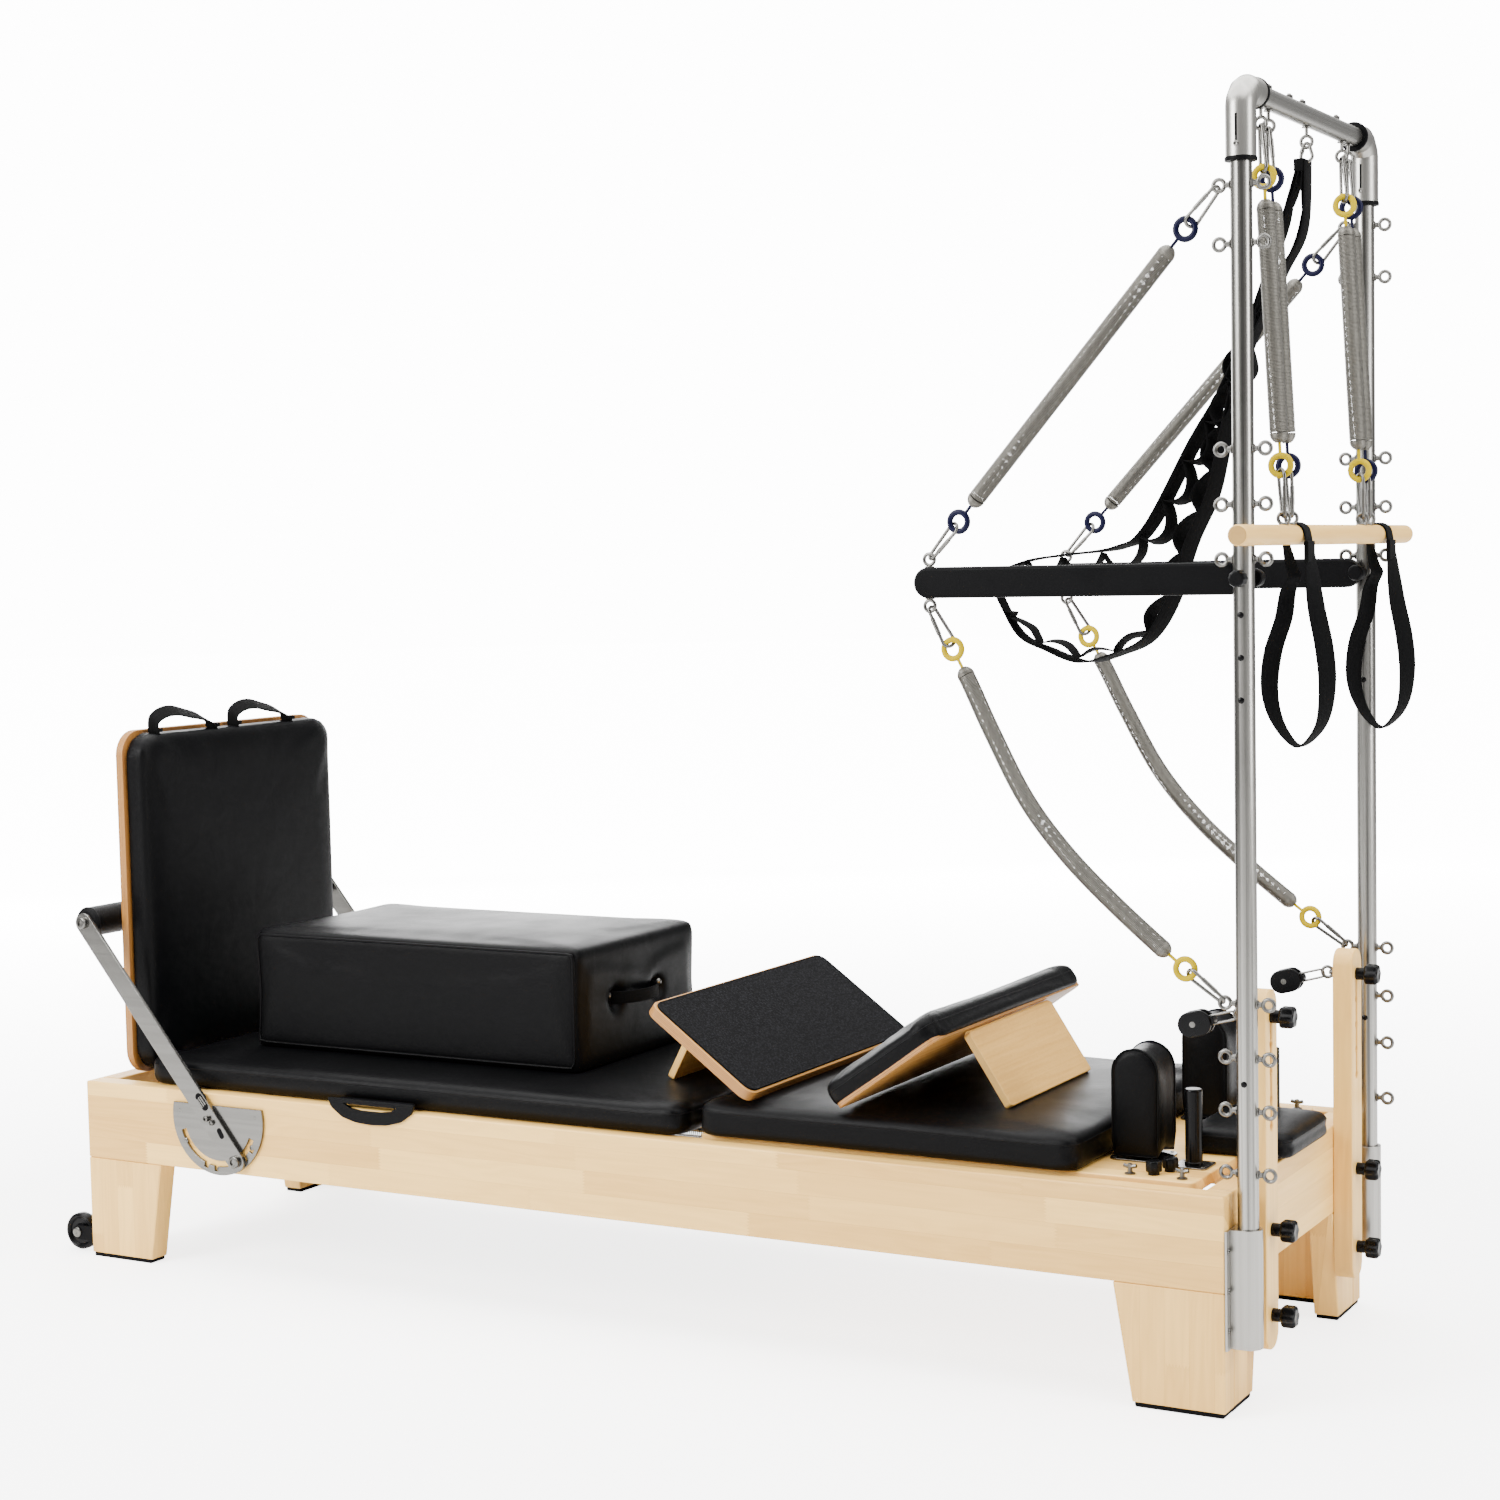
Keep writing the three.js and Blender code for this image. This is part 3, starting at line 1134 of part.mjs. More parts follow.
function makePulleys() {
  for (const { side, sign } of SIDES) {
    const y = sign * RISER_Y;
    for (const [level, z] of [["upper", UPPER_KNOB_Z], ["lower", LOWER_KNOB_Z]]) {
      piece(`${side}_riser_${level}_knob`, starKnob(y, z), BLACK_PLASTIC);
    }
    const eyeX = RISER_X - PULLEY_EYE_GAP - EYE_RADIUS;
    const shaft = rod(
      "x", PULLEY_SHAFT_RADIUS, [eyeX + EYE_RADIUS, RISER_FACE + KNOB_NECK], [y, STATION_TOP], SMALL_ROUND,
    );
    piece(`${side}_pulley_knob`, join(starKnob(y, STATION_TOP), shaft, eyeRing(eyeX, y, STATION_TOP)), BLACK_PLASTIC);
    const half = BLOCK_HEIGHT / 2;
    const body = alongY(
      stadium([BLOCK_LINK + half, 0], [BLOCK_LINK + BLOCK_LENGTH - half, 0], half),
      [-BLOCK_THICK / 2, BLOCK_THICK / 2],
    );
    const block = join(body, linkRing(BLOCK_LINK).translate(EYE_SEAT, 0, 0));
    block.rotateY(Math.PI - BLOCK_DROOP).translate(eyeX, y, STATION_TOP);
    piece(`${side}_pulley_block`, block, BLACK_PLASTIC);
  }
}

// Push-through bar: two padded arms on pivot pins, a padded cross tube and four eye bolts
const PUSH_REACH = 585;
const PUSH_HALF = 26;
const PUSH_THICK = 28;
const PUSH_GAP = 3;
const PUSH_TUBE_RADIUS = 17;
const PUSH_TUBE_INSET = 25;
const PUSH_EYE_STAND = 13;
const PIVOT_KNOB_RADIUS = 14;
const PIVOT_KNOB_LENGTH = 22;
const PUSH_OUTER = POST_Y - TUBE_RADIUS - PUSH_GAP;
const PUSH_Y = PUSH_OUTER - PUSH_THICK / 2;
const PUSH_END_X = POST_X - PUSH_REACH;
const PUSH_TUBE_X = PUSH_END_X + PUSH_TUBE_INSET;
const PUSH_EYE_DROP = PUSH_HALF + PUSH_EYE_STAND;

function makePushBar() {
  const parts = SIDES.flatMap(({ sign }) => {
    const inner = sign * (PUSH_OUTER - PUSH_THICK);
    const outer = sign * PUSH_OUTER;
    const arm = alongY(stadium([PUSH_END_X, PUSH_PIVOT_Z], [POST_X, PUSH_PIVOT_Z], PUSH_HALF), [inner, outer]);
    const knobStart = sign * (POST_Y + TUBE_RADIUS + RUNNING);
    const pin = rod(
      "y", PIVOT_PIN_RADIUS, [sign * (PUSH_OUTER - OVERRUN), knobStart + sign * OVERRUN], [POST_X, PUSH_PIVOT_Z], SMALL_ROUND,
    );
    const knob = rod(
      "y", PIVOT_KNOB_RADIUS, [knobStart, knobStart + sign * PIVOT_KNOB_LENGTH], [POST_X, PUSH_PIVOT_Z], SMALL_ROUND,
    );
    const innerKnob = rod(
      "y", PIVOT_KNOB_RADIUS, [inner + sign * OVERRUN, inner - sign * PIVOT_KNOB_LENGTH], [POST_X, PUSH_PIVOT_Z], SMALL_ROUND,
    );
    const eyes = [-1, 1].flatMap((up) => [
      rod(
        "z",
        EYE_WIRE,
        [PUSH_PIVOT_Z + up * (PUSH_HALF - OVERRUN), PUSH_PIVOT_Z + up * (PUSH_EYE_DROP - EYE_RADIUS)],
        [PUSH_TUBE_X, sign * PUSH_Y],
        EYE_WIRE_FACETS,
      ),
      eyeRing(PUSH_TUBE_X, sign * PUSH_Y, PUSH_PIVOT_Z + up * PUSH_EYE_DROP),
    ]);
    return [arm, pin, knob, innerKnob, ...eyes];
  });
  const reach = PUSH_OUTER - PUSH_THICK / 2;
  const tube = rod("y", PUSH_TUBE_RADIUS, [-reach, reach], [PUSH_TUBE_X, PUSH_PIVOT_Z]);
  piece("push_through_bar", join(...parts, tube), LEATHER);
}

// Extension springs: snap link, coloured ring, stem, wound body, and the same at the other end
const RING_RADIUS = 16.5;
const RING_WIRE = 3.5;
const RING_FACETS = 8;
const SNAP_LENGTH = 66;
const STEM_LENGTH = 26;
const STEM_RADIUS = 3;
const SPRING_RADIUS = 15;
const SPRING_FACETS = 8;
const SPRING_SHOULDER = 16;
const SHOULDER_NARROW = 6;
const SHOULDER_WIDE = 13;
const SPRING_STEPS_CURVED = 6;

function springEnd(curve, length, fromStart) {
  const at = (distance) => {
    const share = fromStart ? distance / length : 1 - distance / length;
    const direction = curve.getTangentAt(share);
    return { spot: curve.getPointAt(share), direction: fromStart ? direction : direction.negate() };
  };
  const wireAt = EYE_SEAT + SNAP_LENGTH - LINK_WIRE;
  const ringAt = wireAt + RING_RADIUS;
  const stemAt = ringAt + RING_RADIUS - RING_WIRE / 2;
  const bodyAt = stemAt + STEM_LENGTH;
  const centre = at(0).spot;
  const ringSpot = at(ringAt).spot;
  const toRing = ringSpot.clone().sub(centre);
  const snap = linkRing(SNAP_LENGTH).translate(EYE_SEAT, 0, 0).applyMatrix4(facing(toRing, centre));
  const ring = new THREE.TorusGeometry(RING_RADIUS, RING_WIRE, EYE_WIRE_FACETS, RING_FACETS).rotateX(QUARTER);
  ring.translate(ringSpot.x, ringSpot.y, ringSpot.z);
  const stem = new THREE.CylinderGeometry(STEM_RADIUS, STEM_RADIUS, STEM_LENGTH + RING_WIRE, EYE_WIRE_FACETS);
  const stemMiddle = at(stemAt + STEM_LENGTH / 2);
  stem.rotateZ(-QUARTER).applyMatrix4(facing(stemMiddle.direction, stemMiddle.spot));
  const shoulder = new THREE.CylinderGeometry(SHOULDER_WIDE, SHOULDER_NARROW, SPRING_SHOULDER, SPRING_FACETS);
  const shoulderMiddle = at(bodyAt + SPRING_SHOULDER / 2 - GAP);
  shoulder.rotateZ(-QUARTER).applyMatrix4(facing(shoulderMiddle.direction, shoulderMiddle.spot));
  return { parts: [snap, ring, stem, shoulder], bodyFrom: bodyAt + SPRING_SHOULDER - RUNNING };
}

function spring(points, steps) {
  const curve = new THREE.CatmullRomCurve3(points.map(([x, y, z]) => new THREE.Vector3(x, y, z)));
  const length = curve.getLength();
  const head = springEnd(curve, length, true);
  const tail = springEnd(curve, length, false);
  const span = length - head.bodyFrom - tail.bodyFrom;
  const body = [];
  for (let i = 0; i <= steps; i += 1) {
    const spot = curve.getPointAt((head.bodyFrom + (i / steps) * span) / length);
    body.push([spot.x, spot.y, spot.z]);
  }
  const coil = sweep(body, roundSection(SPRING_RADIUS, SPRING_FACETS), steps);
  return join(coil, ...head.parts, ...tail.parts);
}

// Points of the lower springs' sag between the bar's eye and the post's eye, as shares of the span
const SAG_SHARES = [
  [0.125, 0.18], [0.217, 0.331], [0.335, 0.505], [0.473, 0.643], [0.636, 0.767], [0.83, 0.896],
];

function makePushSprings() {
  const eyeX = POST_X - EYE_REACH;
  const postHigh = EYE_HEIGHTS[0];
  const postLow = EYE_HEIGHTS[5];
  for (const { side, sign } of SIDES) {
    const top = [eyeX, sign * POST_Y, postHigh];
    const barTop = [PUSH_TUBE_X, sign * PUSH_Y, PUSH_PIVOT_Z + PUSH_EYE_DROP];
    piece(`${side}_upper_spring`, spring([top, barTop], 1), SPRING_STEEL);
    const barLow = [PUSH_TUBE_X, sign * PUSH_Y, PUSH_PIVOT_Z - PUSH_EYE_DROP];
    const low = [eyeX, sign * POST_Y, postLow];
    const sag = SAG_SHARES.map(([acrossShare, downShare]) => [
      barLow[0] + (low[0] - barLow[0]) * acrossShare,
      barLow[1] + (low[1] - barLow[1]) * acrossShare,
      barLow[2] + (low[2] - barLow[2]) * downShare,
    ]);
    piece(`${side}_lower_spring`, spring([barLow, ...sag, low], SPRING_STEPS_CURVED), SPRING_STEEL);
  }
}

// Roll-down bar hung from the crossbar by two springs, leaning on the posts, with two strap loops
const ROLL_BAR_RADIUS = 16.5;
const ROLL_BAR_HALF = 463;
const ROLL_BAR_RISE = 67;
const ROLL_BAR_EYE = 10;
const ROLL_BAR_X = POST_X + TUBE_RADIUS + ROLL_BAR_RADIUS + GAP;
const ROLL_BAR_Z = PUSH_PIVOT_Z + ROLL_BAR_RISE;
const HANGER_Y = CROSSBAR_EYES[4];
const LOOP_WIDTH = 34;
const LOOP_THICK = 3.5;
const LOOP_NEAR_SPREAD = 173;
const LOOP_POST_GAP = 2;
const LOOP_DROP = 338;
const LOOP_BULGE = 50;
const RIBBON_STEPS = 2;

// Places on the loop's middle line as shares of its bulge and drop, first the outer strand from the bar
// down to the bottom, then the inner strand up to the end of the push-through bar that it passes
const LOOP_OUTER_SHARES = [
  [0.46, 0.098], [0.52, 0.195], [0.66, 0.355], [0.9, 0.533], [1, 0.71], [0.84, 0.888], [0.32, 0.994],
];
const LOOP_INNER_SHARES = [[-0.12, 1], [-0.68, 0.888], [-0.92, 0.74], [-0.8, 0.562], [-0.44, 0.4]];
const LOOP_WRAP_TURNS = [0, 45, 90, 135, 180];
const LOOP_PASS_TURNS = [-50, 0, 35];
const HALF_TURN = 180;

function loopLine() {
  const place = ([across, down]) => [ROLL_BAR_X + across * LOOP_BULGE, ROLL_BAR_Z - down * LOOP_DROP];
  const around = (x, z, radius, turn) => [x + radius * Math.cos(turn * DEGREE), z + radius * Math.sin(turn * DEGREE)];
  const passing = PUSH_HALF + LOOP_THICK + RUNNING;
  const grip = ROLL_BAR_RADIUS + LOOP_THICK / 2 + GAP + FIT;
  return [
    ...[...LOOP_OUTER_SHARES, ...LOOP_INNER_SHARES].map(place),
    ...LOOP_PASS_TURNS.map((turn) => around(POST_X, PUSH_PIVOT_Z, passing, turn)),
    ...LOOP_WRAP_TURNS.map((turn) => around(ROLL_BAR_X, ROLL_BAR_Z, grip, HALF_TURN - turn)),
  ];
}

// Both rims of a ribbon whose middle line lies in the XZ plane
function ribbonRims(line, thick, closed) {
  const curve = new THREE.CatmullRomCurve3(line.map(([x, z]) => new THREE.Vector3(x, 0, z)), closed, "centripetal");
  const spans = closed ? line.length : line.length - 1;
  const samples = spans * RIBBON_STEPS;
  const rims = [[], []];
  for (let i = 0; i < (closed ? samples : samples + 1); i += 1) {
    const spot = curve.getPoint(i / samples);
    const along = curve.getTangent(i / samples);
    [-thick / 2, thick / 2].forEach((offset, k) => {
      rims[k].push(new THREE.Vector2(spot.x + along.z * offset, spot.z - along.x * offset));
    });
  }
  return rims;
}

function closedRibbon(line, thick, span) {
  const rims = ribbonRims(line, thick, true);
  const areas = rims.map((rim) => Math.abs(THREE.ShapeUtils.area(rim)));
  const [outer, inner] = areas[0] > areas[1] ? rims : [rims[1], rims[0]];
  const band = new THREE.Shape(THREE.ShapeUtils.isClockWise(outer) ? outer.reverse() : outer);
  band.holes.push(new THREE.Path(THREE.ShapeUtils.isClockWise(inner) ? inner.reverse() : inner));
  return alongY(band, span);
}

function openRibbon(line, thick, span) {
  const [left, right] = ribbonRims(line, thick, false);
  return alongY(new THREE.Shape([...left, ...right.reverse()]), span);
}

function makeRollDown() {
  const axis = [ROLL_BAR_X, ROLL_BAR_Z];
  const bar = rod("y", ROLL_BAR_RADIUS, [-ROLL_BAR_HALF, ROLL_BAR_HALF], axis);
  const eyeZ = ROLL_BAR_Z + ROLL_BAR_RADIUS + ROLL_BAR_EYE;
  const eyes = [-HANGER_Y, HANGER_Y].flatMap((y) => [
    rod("z", EYE_WIRE, [ROLL_BAR_Z, eyeZ - EYE_RADIUS + EYE_WIRE], [ROLL_BAR_X, y], EYE_WIRE_FACETS),
    eyeRing(ROLL_BAR_X, y, eyeZ),
  ]);
  piece("roll_down_bar", join(bar, ...eyes), MAPLE);
  for (const { side, sign } of SIDES) {
    const y = sign * HANGER_Y;
    const hung = spring([[POST_X, y, CROSSBAR_EYE_Z], [ROLL_BAR_X, y, eyeZ]], 1);
    piece(`${side}_hanging_spring`, hung, SPRING_STEEL);
  }
  const line = loopLine();
  const farMiddle = POST_Y - TUBE_RADIUS - LOOP_POST_GAP - LOOP_WIDTH / 2;
  for (const [side, y] of [["near", -LOOP_NEAR_SPREAD], ["far", farMiddle]]) {
    const span = [y - LOOP_WIDTH / 2, y + LOOP_WIDTH / 2];
    piece(`${side}_strap_loop`, closedRibbon(line, LOOP_THICK, span), WEBBING);
  }
}

// Ladder strap: from the crossbar's middle eye it goes over the push bar's cross tube, hangs below
// it and comes back up. Places are offsets from the tower's axis and the push bar's pivot height.
const STRAP_WIDTH = 34;
const STRAP_THICK = 3;
const STRAP_LINK = 24;
const STRAP_KEEPER_HALF = 9;
const STRAP_KEEPER_HEIGHT = 18;
const STRAP_WRAP_TURNS = [70, 110, 150, 190, 230];

// Places on the strap's middle line, as shares of the way out to the cross tube and of the height up
// to the keeper, from the keeper down to the tube and from the tube back up to the keeper
const STRAP_OUT_SHARES = [
  [0.016, 1], [0.054, 0.839], [0.154, 0.639], [0.255, 0.462], [0.352, 0.335], [0.5, 0.127], [0.598, 0.078],
  [0.768, 0.062], [0.893, 0.05],
];
const STRAP_BACK_SHARES = [
  [0.939, -0.138], [0.838, -0.181], [0.721, -0.212], [0.604, -0.191], [0.505, -0.152], [0.429, -0.06],
  [0.366, 0.085], [0.298, 0.202], [0.259, 0.332], [0.202, 0.513], [0.129, 0.64], [0.08, 0.741], [0.029, 0.839],
  [-0.004, 1],
];

function makeLadderStrap() {
  const top = CROSSBAR_EYE_Z - EYE_SEAT - STRAP_LINK;
  const out = POST_X - PUSH_TUBE_X;
  const place = ([across, up]) => [POST_X - across * out, PUSH_PIVOT_Z + up * (top - PUSH_PIVOT_Z)];
  const wrap = PUSH_TUBE_RADIUS + STRAP_THICK / 2 + RUNNING;
  const line = [
    ...STRAP_OUT_SHARES.map(place),
    ...STRAP_WRAP_TURNS.map((turn) => [
      PUSH_TUBE_X + wrap * Math.cos(turn * DEGREE),
      PUSH_PIVOT_Z + wrap * Math.sin(turn * DEGREE),
    ]),
    ...STRAP_BACK_SHARES.map(place),
  ];
  const half = STRAP_WIDTH / 2;
  const strap = openRibbon(line, STRAP_THICK, [-half, half]);
  const keeperMiddle = (line[0][0] + line[line.length - 1][0]) / 2;
  const keeper = slab(
    [keeperMiddle - STRAP_KEEPER_HALF, keeperMiddle + STRAP_KEEPER_HALF],
    [-half - STRAP_THICK / 2, half + STRAP_THICK / 2],
    [top - STRAP_KEEPER_HEIGHT, top + STRAP_THICK],
  );
  const eye = new THREE.Vector3(POST_X, 0, CROSSBAR_EYE_Z);
  const link = linkRing(STRAP_LINK).translate(EYE_SEAT, 0, 0);
  link.applyMatrix4(facing(new THREE.Vector3(keeperMiddle, 0, top).sub(eye), eye));
  piece("ladder_strap", join(strap, keeper, link), WEBBING);
}

makeRails();
makeLegs();
makeWheels();
makeTracks();
makeCarriageSprings();
makeMat();
makeCarriage();
makeCarriagePad();
makeRests();
makeBox();
makeTiltBoard();
makeIncline();
makeJumpboard();
makeFootbar();
makeBrackets();
makePosts();
makeElbows();
makeCrossbar();
makeRisers();
makePulleys();
makePushBar();
makePushSprings();
makeRollDown();
makeLadderStrap();

// The origin stands on the floor under the middle of the whole length
const limits = new THREE.Box3().setFromObject(bed, true);
bed.position.x = -(limits.min.x + limits.max.x) / 2;

export default bed;
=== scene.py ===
"""Pilates bed with a half tower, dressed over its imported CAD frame.

Places are written in millimetres from the bed's middle: X towards the head end, Y towards the
far side, Z up from the floor. Form.mesh turns them into the frame's metres.
"""
import math

import bmesh
import bpy
import numpy as np
from mathutils import Matrix, Vector
from mathutils.bvhtree import BVHTree


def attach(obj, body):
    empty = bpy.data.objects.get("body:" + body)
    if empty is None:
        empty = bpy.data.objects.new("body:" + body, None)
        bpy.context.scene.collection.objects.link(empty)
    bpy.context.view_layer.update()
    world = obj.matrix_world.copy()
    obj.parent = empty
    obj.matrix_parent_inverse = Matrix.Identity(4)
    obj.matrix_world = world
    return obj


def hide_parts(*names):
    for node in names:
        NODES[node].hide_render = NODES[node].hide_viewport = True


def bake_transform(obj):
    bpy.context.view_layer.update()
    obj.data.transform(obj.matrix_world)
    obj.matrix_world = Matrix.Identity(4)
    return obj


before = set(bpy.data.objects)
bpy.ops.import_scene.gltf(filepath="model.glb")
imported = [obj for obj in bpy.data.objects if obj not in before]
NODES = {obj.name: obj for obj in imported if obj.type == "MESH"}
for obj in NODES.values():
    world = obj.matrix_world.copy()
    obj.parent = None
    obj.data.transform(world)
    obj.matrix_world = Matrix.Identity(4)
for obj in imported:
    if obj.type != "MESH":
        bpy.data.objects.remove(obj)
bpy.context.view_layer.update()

bl_info = {
    "name": "Pilates bed with half tower",
    "version": (1, 0, 0),
    "blender": (4, 5, 0),
    "location": "3D View > Sidebar > Pilates bed",
    "description": "Wood, cushions, springs, straps and fittings of a pilates bed",
    "category": "Object",
}

MM = 0.001
SHIFT = -0.0115247
WORLD = Matrix.Translation((SHIFT, 0, 0)) @ Matrix.Scale(MM, 4)
X, Y, Z = Vector((1, 0, 0)), Vector((0, 1, 0)), Vector((0, 0, 1))
SIDES = (("near", -1), ("far", 1))

# Bed
FOOT_END, HEAD_END = -1200, 1200
RAIL_FACE, RAIL_INNER = 373, 328
RAIL_BOTTOM, BED_TOP = 204, 360
RAIL_THICK, END_BOARD_Y = 45, (-327.7, 327.7)
LEG_WIDTH, LEG_RETURN, LEG_TAPER = 190, 168, 32
FOOT_PAD = 8
WHEEL = Vector((-1252, 343, 40))
# What lies on the bed
DECK_TOP, MAT_TOP, CARRIAGE_TOP = 366, 420.3, 431.6
TILT_FOOT, TILT_ANGLE, TILT_LEAN = Vector((312, -11, CARRIAGE_TOP)), 36, 28
INCLINE_FOOT, INCLINE_ANGLE, INCLINE_LEAN = Vector((490, -24, CARRIAGE_TOP)), 35, 33
BOARD_LENGTH = 253
BOX_X, BOX_Y, BOX_HEIGHT = (-910, -120), (-200.5, 254.5), 245
POCKETS = ((-57.5, 547.3), (95.5, 547.3))
REST_WIDTH, REST_HEIGHT = 85, 188
JUMP_X, JUMP_Y, JUMP_Z = -1139, (-310, 310), (365, 1065)
# Foot bar
ROLL = (-1179, 684)
ARM_END, ARM_BOLT = (-806, 233), (-873, 313)
ARM_Y, ARM_FACE = 383.6, 387.0
CAM_MIDDLE, CAM_RADIUS, CAM_SLOT = (-855, 313), 113, (84, 96, 105.5)
# Tower
POST_X, POST_Y, TUBE = 1227, 333, 17
CROSSBAR_Z = 2098.5
EYE_Z = 2056.5
PIVOT_Z = 1340
EYE_HEIGHTS = (1951.1, 1860.0, 1542.0, 1456.0, 1370.0, 666.1, 579.0, 494.0, 392.9)
PLUG_HEIGHTS = (1282.9, 1216.0, 1149.1, 539.9)
HANGING_Y = (-236, -198, 198, 236)
RISER_X, RISER_Y, RISER_KNOB_X = 1217.8, 238, 1235.6
SLOT_HEIGHTS, SLOT_RADIUS, SLOT_NECK = (632, 587, 542, 497, 452), 7.5, 5
PULLEY_EYE_X = 1182.8
PUSH_X, PUSH_Y = 667, 299
BAR_X, BAR_Z, BAR_HALF = 1260.8, 1407, 463
# Springs
SEAT, RING_REACH = 6.5, 78
COIL_RADIUS, COIL_WIRE, COIL_PITCH = 15, 1.1, 2.25
CARRIAGE_SPRING_Y, CARRIAGE_SPRING_Z, SPRING_BAR_X = (-180, -60, 60, 180), 300, -1040
SAG = ((0.125, 0.18), (0.217, 0.331), (0.335, 0.505), (0.473, 0.643), (0.636, 0.767), (0.83, 0.896))
# Straps: shares of their width and drop
LOOP_OUTER = ((0.46, 0.098), (0.52, 0.195), (0.66, 0.355), (0.9, 0.533), (1, 0.71), (0.84, 0.888),
              (0.32, 0.994))
LOOP_INNER = ((-0.12, 1), (-0.68, 0.888), (-0.92, 0.74), (-0.8, 0.562), (-0.44, 0.4))
STRAP_OUT = ((0.016, 1), (0.078, 0.839), (0.166, 0.639), (0.255, 0.462), (0.352, 0.335), (0.5, 0.127),
             (0.598, 0.078), (0.768, 0.062), (0.893, 0.05))
STRAP_BACK = ((0.939, -0.138), (0.838, -0.181), (0.721, -0.212), (0.604, -0.191), (0.505, -0.152),
              (0.429, -0.06), (0.366, 0.085), (0.298, 0.202), (0.259, 0.332), (0.202, 0.513), (0.129, 0.64),
              (0.066, 0.741), (0.006, 0.839), (-0.004, 1))
# Studio
CAMERA_PLACE, CAMERA_LENS, CAMERA_SENSOR = (2.58678, -4.373, 1.3869), 64.1, 36
CAMERA_YAW, CAMERA_PITCH, CAMERA_ROLL = 0.5110, 0.0716, -0.0203
LAMPS = (  # name, place, width, height, watts
    ("top_softbox", (0.0, 0.4, 4.6), 8.0, 6.0, 1000),
    ("key_light", (-2.6, -4.6, 3.2), 2.6, 2.6, 560),
    ("side_light", (4.8, -0.4, 2.2), 1.2, 3.2, 170),
    ("back_light", (-3.6, 5.2, 1.9), 6.4, 2.8, 420),
)

SHARP_ANGLE, STITCH = 38, 5.0
WOOD_GLOSS, PLY_GLOSS, PLY_LAYER, WEBBING_RIB = 0.42, 0.4, 0.0016, 0.0019
LOOKS, TREES = {}, {}


def at(x, y, z):
    """A place in the frame's metres."""
    return WORLD @ Vector((x, y, z))


# ---------------------------------------------------------------- shapes

class Form:
    """Corners and faces of one piece in millimetres, gathered shape by shape."""

    def __init__(self):
        self.points, self.faces, self.looks, self.uvs = [], [], [], []

    def add(self, points, faces, look=0, uvs=None):
        """Takes one more shape in."""
        start = len(self.points)
        self.points += [tuple(p) for p in points]
        self.faces += [tuple(start + i for i in face) for face in faces]
        self.looks += [look] * len(faces)
        self.uvs += uvs if uvs else [None] * len(faces)
        return self

    def mesh(self, name, place=WORLD):
        """The gathered shapes as one mesh, shaded smooth but for its sharp edges."""
        mesh = bpy.data.meshes.new(name)
        mesh.from_pydata([place @ Vector(p) for p in self.points], [], self.faces)
        mesh.polygons.foreach_set("material_index", self.looks)
        if any(self.uvs):
            layer = mesh.uv_layers.new(name="along").data
            for polygon, corners in zip(mesh.polygons, self.uvs):
                for loop, corner in zip(polygon.loop_indices, corners or [(0, 0)] * 9999):
                    layer[loop].uv = corner
        bm = bmesh.new()
        bm.from_mesh(mesh)
        bmesh.ops.remove_doubles(bm, verts=bm.verts, dist=2e-6)
        bmesh.ops.recalc_face_normals(bm, faces=bm.faces)
        bm.to_mesh(mesh)
        bm.free()
        mesh.shade_smooth()
        mesh.set_sharp_from_angle(angle=math.radians(SHARP_ANGLE))
        return mesh


def basis(direction):
    """Two directions square to one."""
    direction = direction.normalized()
    side = direction.cross(Z if abs(direction.z) < 0.9 else X).normalized()
    return side, direction.cross(side).normalized()


def turned(form, origin, axis, profile, facets, look=0, lobes=0, depth=0.0):
    """A turned shape: profile pairs are (distance along the axis, radius); lobes flute it."""
    origin, axis = Vector(origin), Vector(axis).normalized()
    side, up = basis(axis)
    points, faces = [], []
    for distance, radius in profile:
        for i in range(facets):
            turn = math.tau * i / facets
            flute = 1 - depth * (1 - math.cos(lobes * turn)) / 2
            spoke = side * math.cos(turn) + up * math.sin(turn)
            points.append(origin + axis * distance + spoke * radius * flute)
    for k in range(len(profile) - 1):
        for i in range(facets):
            j = (i + 1) % facets
            faces.append((k * facets + i, k * facets + j, (k + 1) * facets + j, (k + 1) * facets + i))
    faces.append(tuple(range(facets)))
    faces.append(tuple(range((len(profile) - 1) * facets, len(profile) * facets)))
    return form.add(points, faces, look)


def pin(form, start, axis, radius, length, edge=0.8, facets=32, look=0):
    """A rod with rounded rims."""
    low, high = edge * 0.3, length - edge * 0.3
    profile = [(0, radius - edge), (low, radius - low), (edge, radius)]
    profile += [(length - edge, radius), (high, radius - low), (length, radius - edge)]
    return turned(form, start, axis, profile, facets, look)


